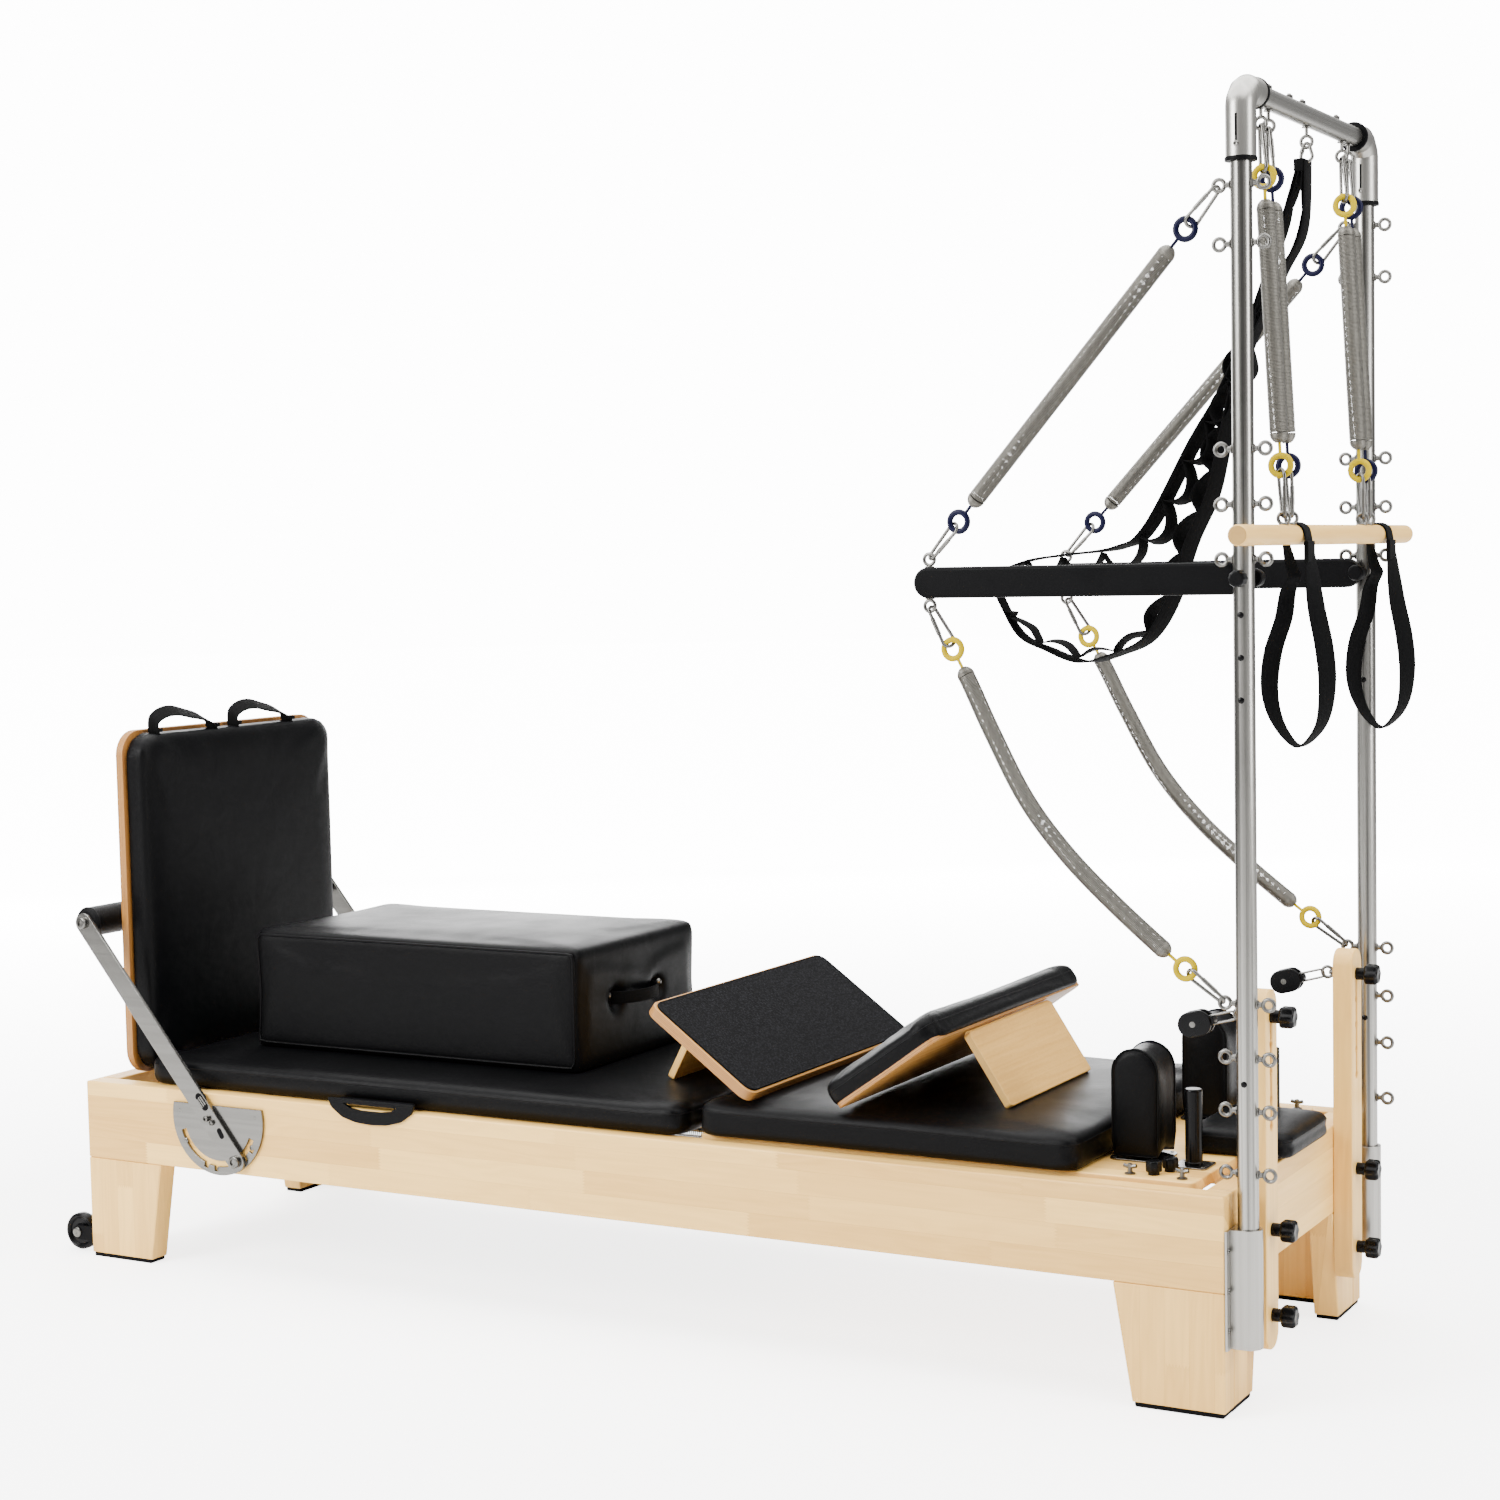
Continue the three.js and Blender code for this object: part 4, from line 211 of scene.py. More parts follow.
def swept(form, line, radius, facets, closed=False, look=0):
    """A round tube along a line."""
    line = [Vector(p) for p in line]
    count = len(line)
    tangents = []
    for i in range(count):
        if closed:
            ahead, behind = line[(i + 1) % count], line[i - 1]
        else:
            ahead, behind = line[min(i + 1, count - 1)], line[max(i - 1, 0)]
        tangents.append((ahead - behind).normalized())
    side = basis(tangents[0])[0]
    points, faces, uvs = [], [], []
    lengths = [0.0]
    for i, (spot, tangent) in enumerate(zip(line, tangents)):
        side = (side - tangent * side.dot(tangent)).normalized()
        up = tangent.cross(side)
        for k in range(facets):
            turn = math.tau * k / facets
            points.append(spot + (side * math.cos(turn) + up * math.sin(turn)) * radius)
        if i:
            lengths.append(lengths[-1] + (spot - line[i - 1]).length)
    lengths.append(lengths[-1] + (line[0] - line[-1]).length)
    for i in range(count if closed else count - 1):
        j = (i + 1) % count
        for k in range(facets):
            m = (k + 1) % facets
            faces.append((i * facets + k, i * facets + m, j * facets + m, j * facets + k))
            u0, u1 = lengths[i] * MM, lengths[i + 1] * MM
            v0, v1 = (math.tau * radius * (k + e) / facets * MM for e in (0, 1))
            uvs.append([(u0, v0), (u0, v1), (u1, v1), (u1, v0)])
    if not closed:
        faces += [tuple(range(facets)), tuple(range((count - 1) * facets, count * facets))]
        uvs += [[(0, 0)] * facets] * 2
    return form.add(points, faces, look, uvs)


def ring(form, centre, normal, radius, wire, steps, facets, look=0):
    """A round ring of wire."""
    centre, (side, up) = Vector(centre), basis(Vector(normal))
    turns = [math.tau * i / steps for i in range(steps)]
    line = [centre + (side * math.cos(t) + up * math.sin(t)) * radius for t in turns]
    return swept(form, line, wire, facets, True, look)


def arc(centre, radius, start, end, steps):
    """Places on an arc of a plane, angles in degrees."""
    turns = [math.radians(start + (end - start) * i / steps) for i in range(steps + 1)]
    return [(centre[0] + radius * math.cos(t), centre[1] + radius * math.sin(t)) for t in turns]


def round_bar(x, y, z, radius, degrees):
    """Places round a bar that runs along Y."""
    turns = map(math.radians, degrees)
    return [Vector((x + radius * math.cos(t), y, z + radius * math.sin(t))) for t in turns]


def rounded(x0, x1, y0, y1, radius, steps=8):
    """The outline of a rectangle with round corners."""
    corners = ((x1, y0, -90), (x1, y1, 0), (x0, y1, 90), (x0, y0, 180))
    loop = []
    for x, y, start in corners:
        centre = (x + (radius if x == x0 else -radius), y + (radius if y == y0 else -radius))
        loop += arc(centre, radius, start, start + 90, steps)
    return loop


def stadium(a, b, radius, steps=20):
    """The outline of a bar with round ends between two places of a plane."""
    turn = math.degrees(math.atan2(b[1] - a[1], b[0] - a[0]))
    return arc(b, radius, turn - 90, turn + 90, steps) + arc(a, radius, turn + 90, turn + 270, steps)


def frame_of(origin, u, v):
    """The matrix that lays a drawing's X and Y along two directions."""
    u, v = Vector(u).normalized(), Vector(v).normalized()
    return Matrix.Translation(Vector(origin)) @ Matrix((u, v, u.cross(v))).transposed().to_4x4()


def plane_xy(z):
    """A level drawing plane."""
    return frame_of((0, 0, z), X, Y)


def plane_xz(y):
    """A drawing plane along the bed."""
    return frame_of((0, y, 0), X, Z)


def plane_yz(x):
    """A drawing plane across the bed."""
    return frame_of((x, 0, 0), Y, Z)


def plate(form, loops, thick, edge, place, look=0, segments=2):
    """A board cut to outlines, its rims rounded; the drawing lies midway through its thickness."""
    curve = bpy.data.curves.new("outline", "CURVE")
    curve.dimensions, curve.fill_mode = "2D", "BOTH"
    curve.extrude, curve.offset = thick / 2 - edge, -edge
    curve.bevel_depth, curve.bevel_resolution = edge, segments
    for loop in loops:
        spline = curve.splines.new("POLY")
        spline.points.add(len(loop) - 1)
        spline.points.foreach_set("co", [c for x, y in loop for c in (x, y, 0, 1)])
        spline.use_cyclic_u = True
    host = linked("outline", curve)
    mesh = bpy.data.meshes.new_from_object(host.evaluated_get(bpy.context.evaluated_depsgraph_get()))
    bpy.data.objects.remove(host)
    form.add([place @ v.co for v in mesh.vertices], [tuple(p.vertices) for p in mesh.polygons], look)
    bpy.data.meshes.remove(mesh)
    return form


def slab(form, xs, ys, zs, edge, corner=None):
    """A box between limits with rounded edges."""
    corner = edge if corner is None else corner
    loop = rounded(min(xs), max(xs), min(ys), max(ys), corner, 4 if corner < 5 else 8)
    return plate(form, [loop], abs(zs[1] - zs[0]), edge, plane_xy(sum(zs) / 2))


def smooth_line(knots, steps, closed=False):
    """A flowing line through knots."""
    knots = [Vector(k) for k in knots]
    count = len(knots)
    line = []
    for i in range(count if closed else count - 1):
        if closed:
            a, b, c, d = (knots[(i + k) % count] for k in (-1, 0, 1, 2))
        else:
            a, b = knots[max(i - 1, 0)], knots[i]
            c, d = knots[i + 1], knots[min(i + 2, count - 1)]
        for k in range(steps):
            t = k / steps
            line.append((b * 2 + (c - a) * t + (a * 2 - b * 5 + c * 4 - d) * t * t
                         + (b * 3 - a - c * 3 + d) * t ** 3) / 2)
    return line if closed else line + [knots[-1]]


def even_line(line, step):
    """The same line in even steps of about a length."""
    line = [Vector(p) for p in line]
    lengths = [0.0]
    for a, b in zip(line, line[1:]):
        lengths.append(lengths[-1] + (b - a).length)
    count = max(2, round(lengths[-1] / step))
    spots, k = [], 0
    for i in range(count + 1):
        goal = lengths[-1] * i / count
        while k < len(line) - 2 and lengths[k + 1] < goal:
            k += 1
        span = lengths[k + 1] - lengths[k] or 1
        spots.append(line[k].lerp(line[k + 1], (goal - lengths[k]) / span))
    return spots


def ribbon(form, line, across, width, thick, closed=False):
    """A flat strap along a line, its width along one direction, its rims softly rounded."""
    line = [Vector(p) for p in line]
    across = [Vector(a).normalized() for a in (across if isinstance(across, list) else [across] * len(line))]
    half, flat = width / 2, thick / 2
    section = [(-half, -flat * 0.4), (-half + flat, -flat), (0, -flat), (half - flat, -flat),
               (half, -flat * 0.4), (half, flat * 0.4), (half - flat, flat), (0, flat),
               (-half + flat, flat), (-half, flat * 0.4)]
    count, size = len(line), len(section)
    points, faces, uvs, lengths = [], [], [], [0.0]
    for i, spot in enumerate(line):
        ahead = line[(i + 1) % count] if closed else line[min(i + 1, count - 1)]
        behind = line[i - 1] if closed else line[max(i - 1, 0)]
        out = across[i].cross((ahead - behind).normalized()).normalized()
        points += [spot + across[i] * a + out * b for a, b in section]
        nearest = line[(i + 1) % count]
        lengths.append(lengths[-1] + (nearest - spot).length)
    for i in range(count if closed else count - 1):
        j = (i + 1) % count
        for k in range(size):
            m = (k + 1) % size
            faces.append((i * size + k, i * size + m, j * size + m, j * size + k))
            u0, u1 = lengths[i] * MM, lengths[i + 1] * MM
            v0, v1 = section[k][0] * MM, section[m][0] * MM
            uvs.append([(u0, v0), (u0, v1), (u1, v1), (u1, v0)])
    if not closed:
        for first in (0, (count - 1) * size):
            faces.append(tuple(range(first, first + size)))
            uvs.append([(0, a * MM) for a, _ in section])
    return form.add(points, faces, uvs=uvs)


# ---------------------------------------------------------------- pieces

def linked(name, data):
    """A new object in the scene."""
    obj = bpy.data.objects.new(name, data)
    bpy.context.scene.collection.objects.link(obj)
    return obj


def finished(mesh, looks):
    """The mesh with its finishes by name."""
    for look in [looks] if isinstance(looks, str) else looks:
        mesh.materials.append(LOOKS[look])
    return mesh


def put(name, shape, body, looks, replaces=(), polish=True):
    """A finished piece from a form or a mesh: in the scene, in its finish, riding on its body."""
    mesh = shape.mesh(name) if isinstance(shape, Form) else shape
    obj = linked(name, mesh if mesh.materials else finished(mesh, looks))
    if polish:
        modifier = obj.modifiers.new("Even shading", "WEIGHTED_NORMAL")
        modifier.keep_sharp = True
        settle(obj)
    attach(obj, body)
    if replaces:
        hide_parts(*replaces)
    return obj


def scattered(name, fitting, places, body, look):
    """A piece of like fittings at places."""
    return put(name, scatter(name, fitting, places, look), body, look)


def between(name, meshes, slot, first_body, last_body, first, last):
    """A piece of plain meshes joined into one, in place of the imported part of that name."""
    obj = linked(name, joined(name, meshes))
    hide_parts(name)
    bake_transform(obj)


def settle(obj):
    """Applies an object's modifiers to its mesh."""
    evaluated = obj.evaluated_get(bpy.context.evaluated_depsgraph_get())
    mesh = bpy.data.meshes.new_from_object(evaluated)
    obj.modifiers.clear()
    old, obj.data = obj.data, mesh
    mesh.name = obj.name
    bpy.data.meshes.remove(old)


def socket(tree, name, kind, default=None, way="INPUT"):
    """A new named input or output of a tree."""
    made = tree.interface.new_socket(name, in_out=way, socket_type="NodeSocket" + kind)
    if default is not None:
        made.default_value = default


def wire(tree, kind, inputs=None, **settings):
    """A node with its settings, and values or links on its inputs."""
    node = tree.nodes.new(kind)
    for key, value in settings.items():
        setattr(node, key, value)
    for key, value in (inputs or {}).items():
        target = node.inputs[key]
        if isinstance(value, bpy.types.NodeSocket):
            tree.links.new(value, target)
        else:
            target.default_value = value
    return node


def reckoned(tree, operation, *values, kind="Math", **inputs):
    """What a mathematics node of a tree gives."""
    inputs = {**dict(enumerate(values)), **inputs}
    return wire(tree, f"ShaderNode{kind}", inputs, operation=operation).outputs[0]


def node_tree(name, sockets):
    """A new geometry tree with its inputs, and its input node."""
    tree = bpy.data.node_groups.new(name, "GeometryNodeTree")
    socket(tree, "Geometry", "Geometry")
    for entry in sockets:
        socket(tree, *entry)
    socket(tree, "Finish", "Material")
    socket(tree, "Geometry", "Geometry", way="OUTPUT")
    return tree, tree.nodes.new("NodeGroupInput").outputs


def close_tree(tree, geometry, finish):
    """Realizes what a tree made and gives it its finish."""
    smooth = wire(tree, "GeometryNodeSetShadeSmooth", {"Geometry": geometry})
    real = wire(tree, "GeometryNodeRealizeInstances", {"Geometry": smooth.outputs[0]})
    coated = wire(tree, "GeometryNodeSetMaterial", {"Geometry": real.outputs[0], "Material": finish})
    wire(tree, "NodeGroupOutput", {"Geometry": coated.outputs[0]})
    return tree


def coil_tree():
    """Wire wound round a line: the line in even steps, each step turned out by its angle."""
    tree, given = node_tree("Wound wire", [
        ("Coil radius", "Float", 0.013), ("Wire radius", "Float", 0.0015),
        ("Turns", "Float", 100.0), ("Steps per turn", "Float", 12.0),
    ])
    steps = reckoned(tree, "MULTIPLY", given["Turns"], given["Steps per turn"])
    line = wire(tree, "GeometryNodeMeshToCurve", {"Mesh": given["Geometry"]})
    even = wire(tree, "GeometryNodeResampleCurve", {"Curve": line.outputs[0], "Count": steps})
    index = wire(tree, "GeometryNodeInputIndex").outputs[0]
    angle = reckoned(tree, "MULTIPLY", reckoned(tree, "DIVIDE", index, given["Steps per turn"]), math.tau)
    normal = wire(tree, "GeometryNodeInputNormal").outputs[0]
    tangent = wire(tree, "GeometryNodeInputTangent").outputs[0]
    side = reckoned(tree, "CROSS_PRODUCT", tangent, normal, kind="VectorMath")
    parts = []
    for direction, function in ((normal, "COSINE"), (side, "SINE")):
        reach = reckoned(tree, "MULTIPLY", reckoned(tree, function, angle), given["Coil radius"])
        parts.append(reckoned(tree, "SCALE", direction, kind="VectorMath", Scale=reach))
    out = reckoned(tree, "ADD", *parts, kind="VectorMath")
    wound = wire(tree, "GeometryNodeSetPosition", {"Geometry": even.outputs[0], "Offset": out})
    section = wire(tree, "GeometryNodeCurvePrimitiveCircle", {
        "Resolution": 6, "Radius": given["Wire radius"],
    })
    tube = wire(tree, "GeometryNodeCurveToMesh", {
        "Curve": wound.outputs[0], "Profile Curve": section.outputs[0], "Fill Caps": True,
    })
    return close_tree(tree, tube.outputs[0], given["Finish"])


def fitting_tree():
    """One fitting set on every point, turned as the point's own turn says."""
    tree, given = node_tree("Fittings on points", [("Fitting", "Object"), ("Size", "Float", 1.0)])
    source = wire(tree, "GeometryNodeObjectInfo", {"Object": given["Fitting"], "As Instance": True})
    turn = wire(tree, "GeometryNodeInputNamedAttribute", {"Name": "turn"}, data_type="FLOAT_VECTOR")
    euler = wire(tree, "FunctionNodeEulerToRotation", {0: turn.outputs[0]})
    spread = wire(tree, "GeometryNodeInstanceOnPoints", {
        "Points": given["Geometry"], "Instance": source.outputs["Geometry"],
        "Rotation": euler.outputs[0], "Scale": given["Size"],
    })
    return close_tree(tree, spread.outputs[0], given["Finish"])


def stitch_tree():
    """Short threads along a line."""
    tree, given = node_tree("Stitches", [
        ("Pitch", "Float", 0.005), ("Length", "Float", 0.0032), ("Thread", "Float", 0.0008),
    ])
    line = wire(tree, "GeometryNodeMeshToCurve", {"Mesh": given["Geometry"]})
    even = wire(tree, "GeometryNodeResampleCurve", {
        "Curve": line.outputs[0], "Length": given["Pitch"],
    }, mode="LENGTH")
    thread = wire(tree, "GeometryNodeMeshIcoSphere", {"Radius": 0.5, "Subdivisions": 1})
    tangent = wire(tree, "GeometryNodeInputTangent")
    turn = wire(tree, "FunctionNodeAlignRotationToVector", {"Vector": tangent.outputs[0]}, axis="X")
    size = wire(tree, "ShaderNodeCombineXYZ", {0: given["Length"], 1: given["Thread"], 2: given["Thread"]})
    spread = wire(tree, "GeometryNodeInstanceOnPoints", {
        "Points": even.outputs[0], "Instance": thread.outputs[0],
        "Rotation": turn.outputs[0], "Scale": size.outputs[0],
    })
    return close_tree(tree, spread.outputs[0], given["Finish"])


def grown(name, start, tree, inputs):
    """The plain mesh that a tree grows from a start mesh."""
    host = linked(name, start)
    modifier = host.modifiers.new(tree.name, "NODES")
    modifier.node_group = tree
    for item in tree.interface.items_tree:
        if item.item_type == "SOCKET" and item.in_out == "INPUT" and item.name in inputs:
            modifier[item.identifier] = inputs[item.name]
    evaluated = host.evaluated_get(bpy.context.evaluated_depsgraph_get())
    mesh = bpy.data.meshes.new_from_object(evaluated)
    bpy.data.objects.remove(host)
    mesh.name = name
    if not mesh.polygons:
        raise RuntimeError(f"{name}: its node tree made nothing")
    return mesh


def line_mesh(line):
    """A mesh of one line of edges, in the frame's metres."""
    mesh = bpy.data.meshes.new("line")
    mesh.from_pydata([WORLD @ Vector(p) for p in line], [(i, i + 1) for i in range(len(line) - 1)], [])
    return mesh


def coil(name, line, radius, thread, pitch, steps):
    """A wound spring body along a line."""
    line = [Vector(p) for p in line]
    length = sum((b - a).length for a, b in zip(line, line[1:]))
    return grown(name, line_mesh(line), TREES["coil"], {
        "Coil radius": (radius - thread) * MM, "Wire radius": thread * MM,
        "Turns": length / pitch, "Steps per turn": float(steps), "Finish": LOOKS["spring"],
    })


def scatter(name, fitting, places, look):
    """Copies of a fitting at places: pairs of a spot and the direction that the fitting's Z turns to."""
    source = linked("fitting", fitting.mesh("fitting", Matrix.Scale(MM, 4)))
    mesh = bpy.data.meshes.new(name)
    mesh.from_pydata([WORLD @ Vector(spot) for spot, _ in places], [], [])
    turns = mesh.attributes.new("turn", "FLOAT_VECTOR", "POINT")
    for i, (_, direction) in enumerate(places):
        out = Vector(direction).normalized()
        level = X if abs(out.y) > 0.9 else Y
        level = (level - out * out.dot(level)).normalized()
        turns.data[i].vector = Matrix((level.cross(out), level, out)).transposed().to_euler()
    made = grown(name, mesh, TREES["fitting"], {"Fitting": source, "Size": 1.0, "Finish": LOOKS[look]})
    bpy.data.objects.remove(source)
    return made


def stitches(name, line, body):
    """A row of stitches along a line."""
    mesh = grown(name, line_mesh(line), TREES["stitch"], {
        "Pitch": STITCH * MM, "Length": STITCH * 0.68 * MM, "Thread": 0.9 * MM, "Finish": LOOKS["thread"],
    })
    put(name, mesh, body, "thread", polish=False)


def joined(name, meshes):
    """Several plain meshes as one, keeping their finishes."""
    finishes = []
    bm = bmesh.new()
    for mesh in meshes:
        for finish in mesh.materials:
            if finish not in finishes:
                finishes.append(finish)
        indices = [finishes.index(finish) for finish in mesh.materials] or [0]
        before = len(bm.faces)
        bm.from_mesh(mesh)
        bm.faces.ensure_lookup_table()
        for face in bm.faces[before:]:
            face.material_index = indices[min(face.material_index, len(indices) - 1)]
    whole = bpy.data.meshes.new(name)
    bm.to_mesh(whole)
    bm.free()
    for finish in finishes:
        whole.materials.append(finish)
    return whole


# ---------------------------------------------------------------- finishes

class Look:
    """A finish: a shader and the texture nodes in front of it."""

    def __init__(self, name, **shader):
        self.material = bpy.data.materials.new(name)
        self.material.use_nodes = True
        self.tree = self.material.node_tree
        self.shader = self.tree.nodes["Principled BSDF"]
        for key, value in shader.items():
            self.set(key, value)
        LOOKS[name] = self.material
        self.place = self.node("ShaderNodeTexCoord").outputs["Object"]
        split = self.node("ShaderNodeSeparateXYZ", {0: self.place})
        self.x, self.y, self.z = split.outputs

    def node(self, kind, inputs=None, **settings):
        """A node of this finish."""
        return wire(self.tree, kind, inputs, **settings)

    def set(self, key, value):
        """A value or link on an input of the shader."""
        target = self.shader.inputs[key.replace("_", " ")]
        if isinstance(value, bpy.types.NodeSocket):
            self.tree.links.new(value, target)
        else:
            target.default_value = value

    def math(self, operation, *values, **more):
        """What a mathematics node gives."""
        return reckoned(self.tree, operation, *values, **more)

    def vector(self, x, y, z):
        """Three numbers as one place."""
        return self.node("ShaderNodeCombineXYZ", {0: x, 1: y, 2: z}).outputs[0]

    def cell(self, dimensions, **inputs):
        """A random share for each cell."""
        return self.node("ShaderNodeTexWhiteNoise", inputs, noise_dimensions=dimensions).outputs[0]

    def noise(self, place, scale, detail=4.0, roughness=0.55, stretch=None, distortion=0.0):
        """Soft noise, drawn out where it is stretched."""
        if stretch:
            place = self.node("ShaderNodeMapping", {"Vector": place, "Scale": stretch}).outputs[0]
        return self.node("ShaderNodeTexNoise", {
            "Vector": place, "Scale": scale, "Detail": detail, "Roughness": roughness,
            "Distortion": distortion,
        }).outputs[0]

    def range(self, value, low, high, to_low=0.0, to_high=1.0):
        """A value moved from one range to another."""
        return self.node("ShaderNodeMapRange", {0: value, 1: low, 2: high, 3: to_low, 4: to_high}).outputs[0]

    def mix(self, factor, a, b):
        """A colour between two."""
        node = self.node("ShaderNodeMix", data_type="RGBA")
        for key, value in ((0, factor), (6, a), (7, b)):
            if isinstance(value, bpy.types.NodeSocket):
                self.tree.links.new(value, node.inputs[key])
            else:
                node.inputs[key].default_value = value if key == 0 else (*value[:3], 1)
        return node.outputs[2]

    def bump(self, height, depth, under=None):
        """Relief of a depth in millimetres."""
        inputs = {"Height": height, "Distance": depth * MM, "Strength": 1.0}
        if under:
            inputs["Normal"] = under
        return self.node("ShaderNodeBump", inputs).outputs[0]


def tone(colour, strength=1.0):
    """A setting's colour, darker or brighter."""
    return tuple(part * strength for part in tuple(colour)[:3])


def wood(name, light, dark, along, row=0.042, board=0.46):
    """Lamellas of pale wood glued side by side and end to end."""
    look = Look(name, Roughness=WOOD_GLOSS, Specular_IOR_Level=0.45)
    axes = {"X": (look.x, look.y, look.z), "Y": (look.y, look.z, look.x), "Z": (look.z, look.x, look.y)}
    length, a, b = axes[along]
    across = look.math("ADD", a, b)
    rows = look.math("DIVIDE", across, row)
    strip = look.math("FLOOR", rows)
    start = look.cell("1D", W=strip)
    fingers = look.math("MULTIPLY", look.math("PINGPONG", across, 0.0028), 2.4)
    run = look.math("ADD", look.math("DIVIDE", look.math("ADD", length, fingers), board), start)
    shade = look.cell("3D", Vector=look.vector(strip, look.math("FLOOR", run), 0.0))
    shift = look.math("MULTIPLY", shade, 7.0)
    grain_place = look.vector(look.math("MULTIPLY", length, 2.2), look.math("ADD", a, shift), b)
    fine = look.noise(grain_place, 1.0, 6.0, 0.6, (1.6, 150.0, 150.0))
    broad = look.noise(grain_place, 1.0, 3.0, 0.5, (1.0, 22.0, 22.0), 0.6)
    rings = look.math("PINGPONG", look.math("MULTIPLY", broad, 6.0), 0.5)
    amount = look.math("MULTIPLY_ADD", shade, 0.62, look.math("MULTIPLY", fine, 0.34))
    amount = look.math("MULTIPLY_ADD", rings, 0.34, amount)
    seam = look.math("ABSOLUTE", look.math("SUBTRACT", look.math("FRACT", rows), 0.5))
    butt = look.math("ABSOLUTE", look.math("SUBTRACT", look.math("FRACT", run), 0.5))
    line = look.math("MAXIMUM", look.range(seam, 0.488, 0.499), look.range(butt, 0.4985, 0.4999))
    amount = look.math("ADD", amount, look.math("MULTIPLY", line, 0.4))
    look.set("Base Color", look.mix(look.range(amount, 0.2, 1.15), light, dark))
    look.set("Roughness", look.range(fine, 0.2, 0.8, WOOD_GLOSS - 0.06, WOOD_GLOSS + 0.1))
    look.set("Normal", look.bump(look.math("SUBTRACT", look.math("MULTIPLY", fine, 0.5), line), 0.12))


def ply(name, face, edge, normal, origin, along):
    """Layered board: thin layers through its thickness, long grain on its faces."""
    look = Look(name, Roughness=PLY_GLOSS, Specular_IOR_Level=0.45)
    offset = look.math("SUBTRACT", look.place, Vector(origin), kind="VectorMath")

    def along_axis(direction):
        """How far a place lies along a direction."""
        return look.node("ShaderNodeVectorMath", {
            0: offset, 1: Vector(direction).normalized(),
        }, operation="DOT_PRODUCT").outputs["Value"]

    depth = look.math("ADD", look.math("DIVIDE", along_axis(normal), PLY_LAYER), 0.31)
    index = look.math("FLOOR", depth)
    odd = look.math("PINGPONG", index, 1.0)
    rough = look.noise(look.place, 260.0, 3.0)
    shade = look.cell("1D", W=index)
    side = Vector(normal).cross(Vector(along))
    grain_place = look.vector(along_axis(along), look.math("MULTIPLY", along_axis(side), 34.0), depth)
    grain = look.noise(grain_place, 3.2, 6.0, 0.62, distortion=0.4)
    glue = look.math("ABSOLUTE", look.math("SUBTRACT", look.math("FRACT", depth), 0.5))
    line = look.range(glue, 0.38, 0.5)
    amount = look.math("MULTIPLY_ADD", odd, 0.55, look.math("MULTIPLY", line, 0.3))
    amount = look.math("ADD", amount, look.math("MULTIPLY", rough, look.math("MULTIPLY", shade, 0.5)))
    amount = look.math("MULTIPLY_ADD", look.range(grain, 0.3, 0.75), 0.35, amount)
    look.set("Base Color", look.mix(look.range(amount, 0.1, 1.1), face, edge))
    look.set("Roughness", look.range(grain, 0.3, 0.7, PLY_GLOSS - 0.05, PLY_GLOSS + 0.12))
    look.set("Normal", look.bump(look.math("ADD", grain, line), 0.08))


def leather(name, colour, gloss=0.38, pebble=620.0, relief=0.08):
    """Black upholstery: fine pebbled grain with slack wrinkles."""
    look = Look(name, Roughness=gloss, Specular_IOR_Level=0.07)
    warp = look.noise(look.place, 90.0, 2.0)
    nudge = look.math("SCALE", look.vector(warp, warp, warp), kind="VectorMath", Scale=0.002)
    spot = look.math("ADD", look.place, nudge, kind="VectorMath")
    cells = look.node("ShaderNodeTexVoronoi", {"Vector": spot, "Scale": pebble, "Randomness": 0.9},
                      feature="DISTANCE_TO_EDGE").outputs[0]
    grain = look.range(cells, 0.0, 0.24)
    folds = look.noise(look.place, 14.0, 3.0, 0.55, distortion=0.6)
    wear = look.noise(look.place, 5.0, 4.0)
    height = look.math("MULTIPLY", grain, look.range(wear, 0.3, 0.7, 0.6, 1.0))
    look.set("Base Color", look.mix(height, tone(colour, 0.62), tone(colour)))
    dull = look.math("ADD", wear, look.math("MULTIPLY", grain, -0.2))
    look.set("Roughness", look.range(dull, 0.2, 0.7, gloss - 0.06, gloss + 0.1))
    look.set("Normal", look.bump(grain, relief, look.bump(folds, 1.1)))


def webbing(name, colour):
    """Woven strap: ribs across it, a herringbone along it, tighter at its rims."""
    look = Look(name, Roughness=0.72, Specular_IOR_Level=0.05, Sheen_Weight=0.01, Sheen_Roughness=0.5)
    uv = look.node("ShaderNodeUVMap", uv_map="along").outputs[0]
    parts = look.node("ShaderNodeSeparateXYZ", {0: uv}).outputs
    zigzag = look.math("PINGPONG", parts[1], 0.004)
    run = look.math("ADD", parts[0], zigzag)
    ribs = look.math("SINE", look.math("MULTIPLY", run, math.tau / WEBBING_RIB))
    threads = look.math("SINE", look.math("MULTIPLY", parts[1], math.tau / (WEBBING_RIB * 0.62)))
    weave = look.math("MULTIPLY_ADD", ribs, 0.5, look.math("MULTIPLY_ADD", threads, 0.25, 0.5))
    fuzz = look.noise(look.place, 900.0, 2.0)
    amount = look.math("MULTIPLY", look.range(weave, -0.2, 1.2), look.range(fuzz, 0.2, 0.8, 0.6, 1.2))
    look.set("Base Color", look.mix(amount, tone(colour, 0.3), tone(colour)))
    look.set("Normal", look.bump(look.math("ADD", weave, look.math("MULTIPLY", fuzz, 0.3)), 0.35))


def moulded(name, colour, gloss, scale=320.0, relief=0.03, patch=0.25, shine=0.12):
    """Moulded plastic, rubber or painted metal with a fine skin."""
    look = Look(name, Roughness=gloss, Specular_IOR_Level=shine)
    skin = look.noise(look.place, scale, 4.0)
    haze = look.noise(look.place, 18.0, 3.0)
    look.set("Base Color", look.mix(haze, tone(colour, 1 - patch), tone(colour)))
    look.set("Roughness", look.range(haze, 0.3, 0.7, gloss * 0.85, min(1.0, gloss * 1.2)))
    look.set("Normal", look.bump(skin, relief))


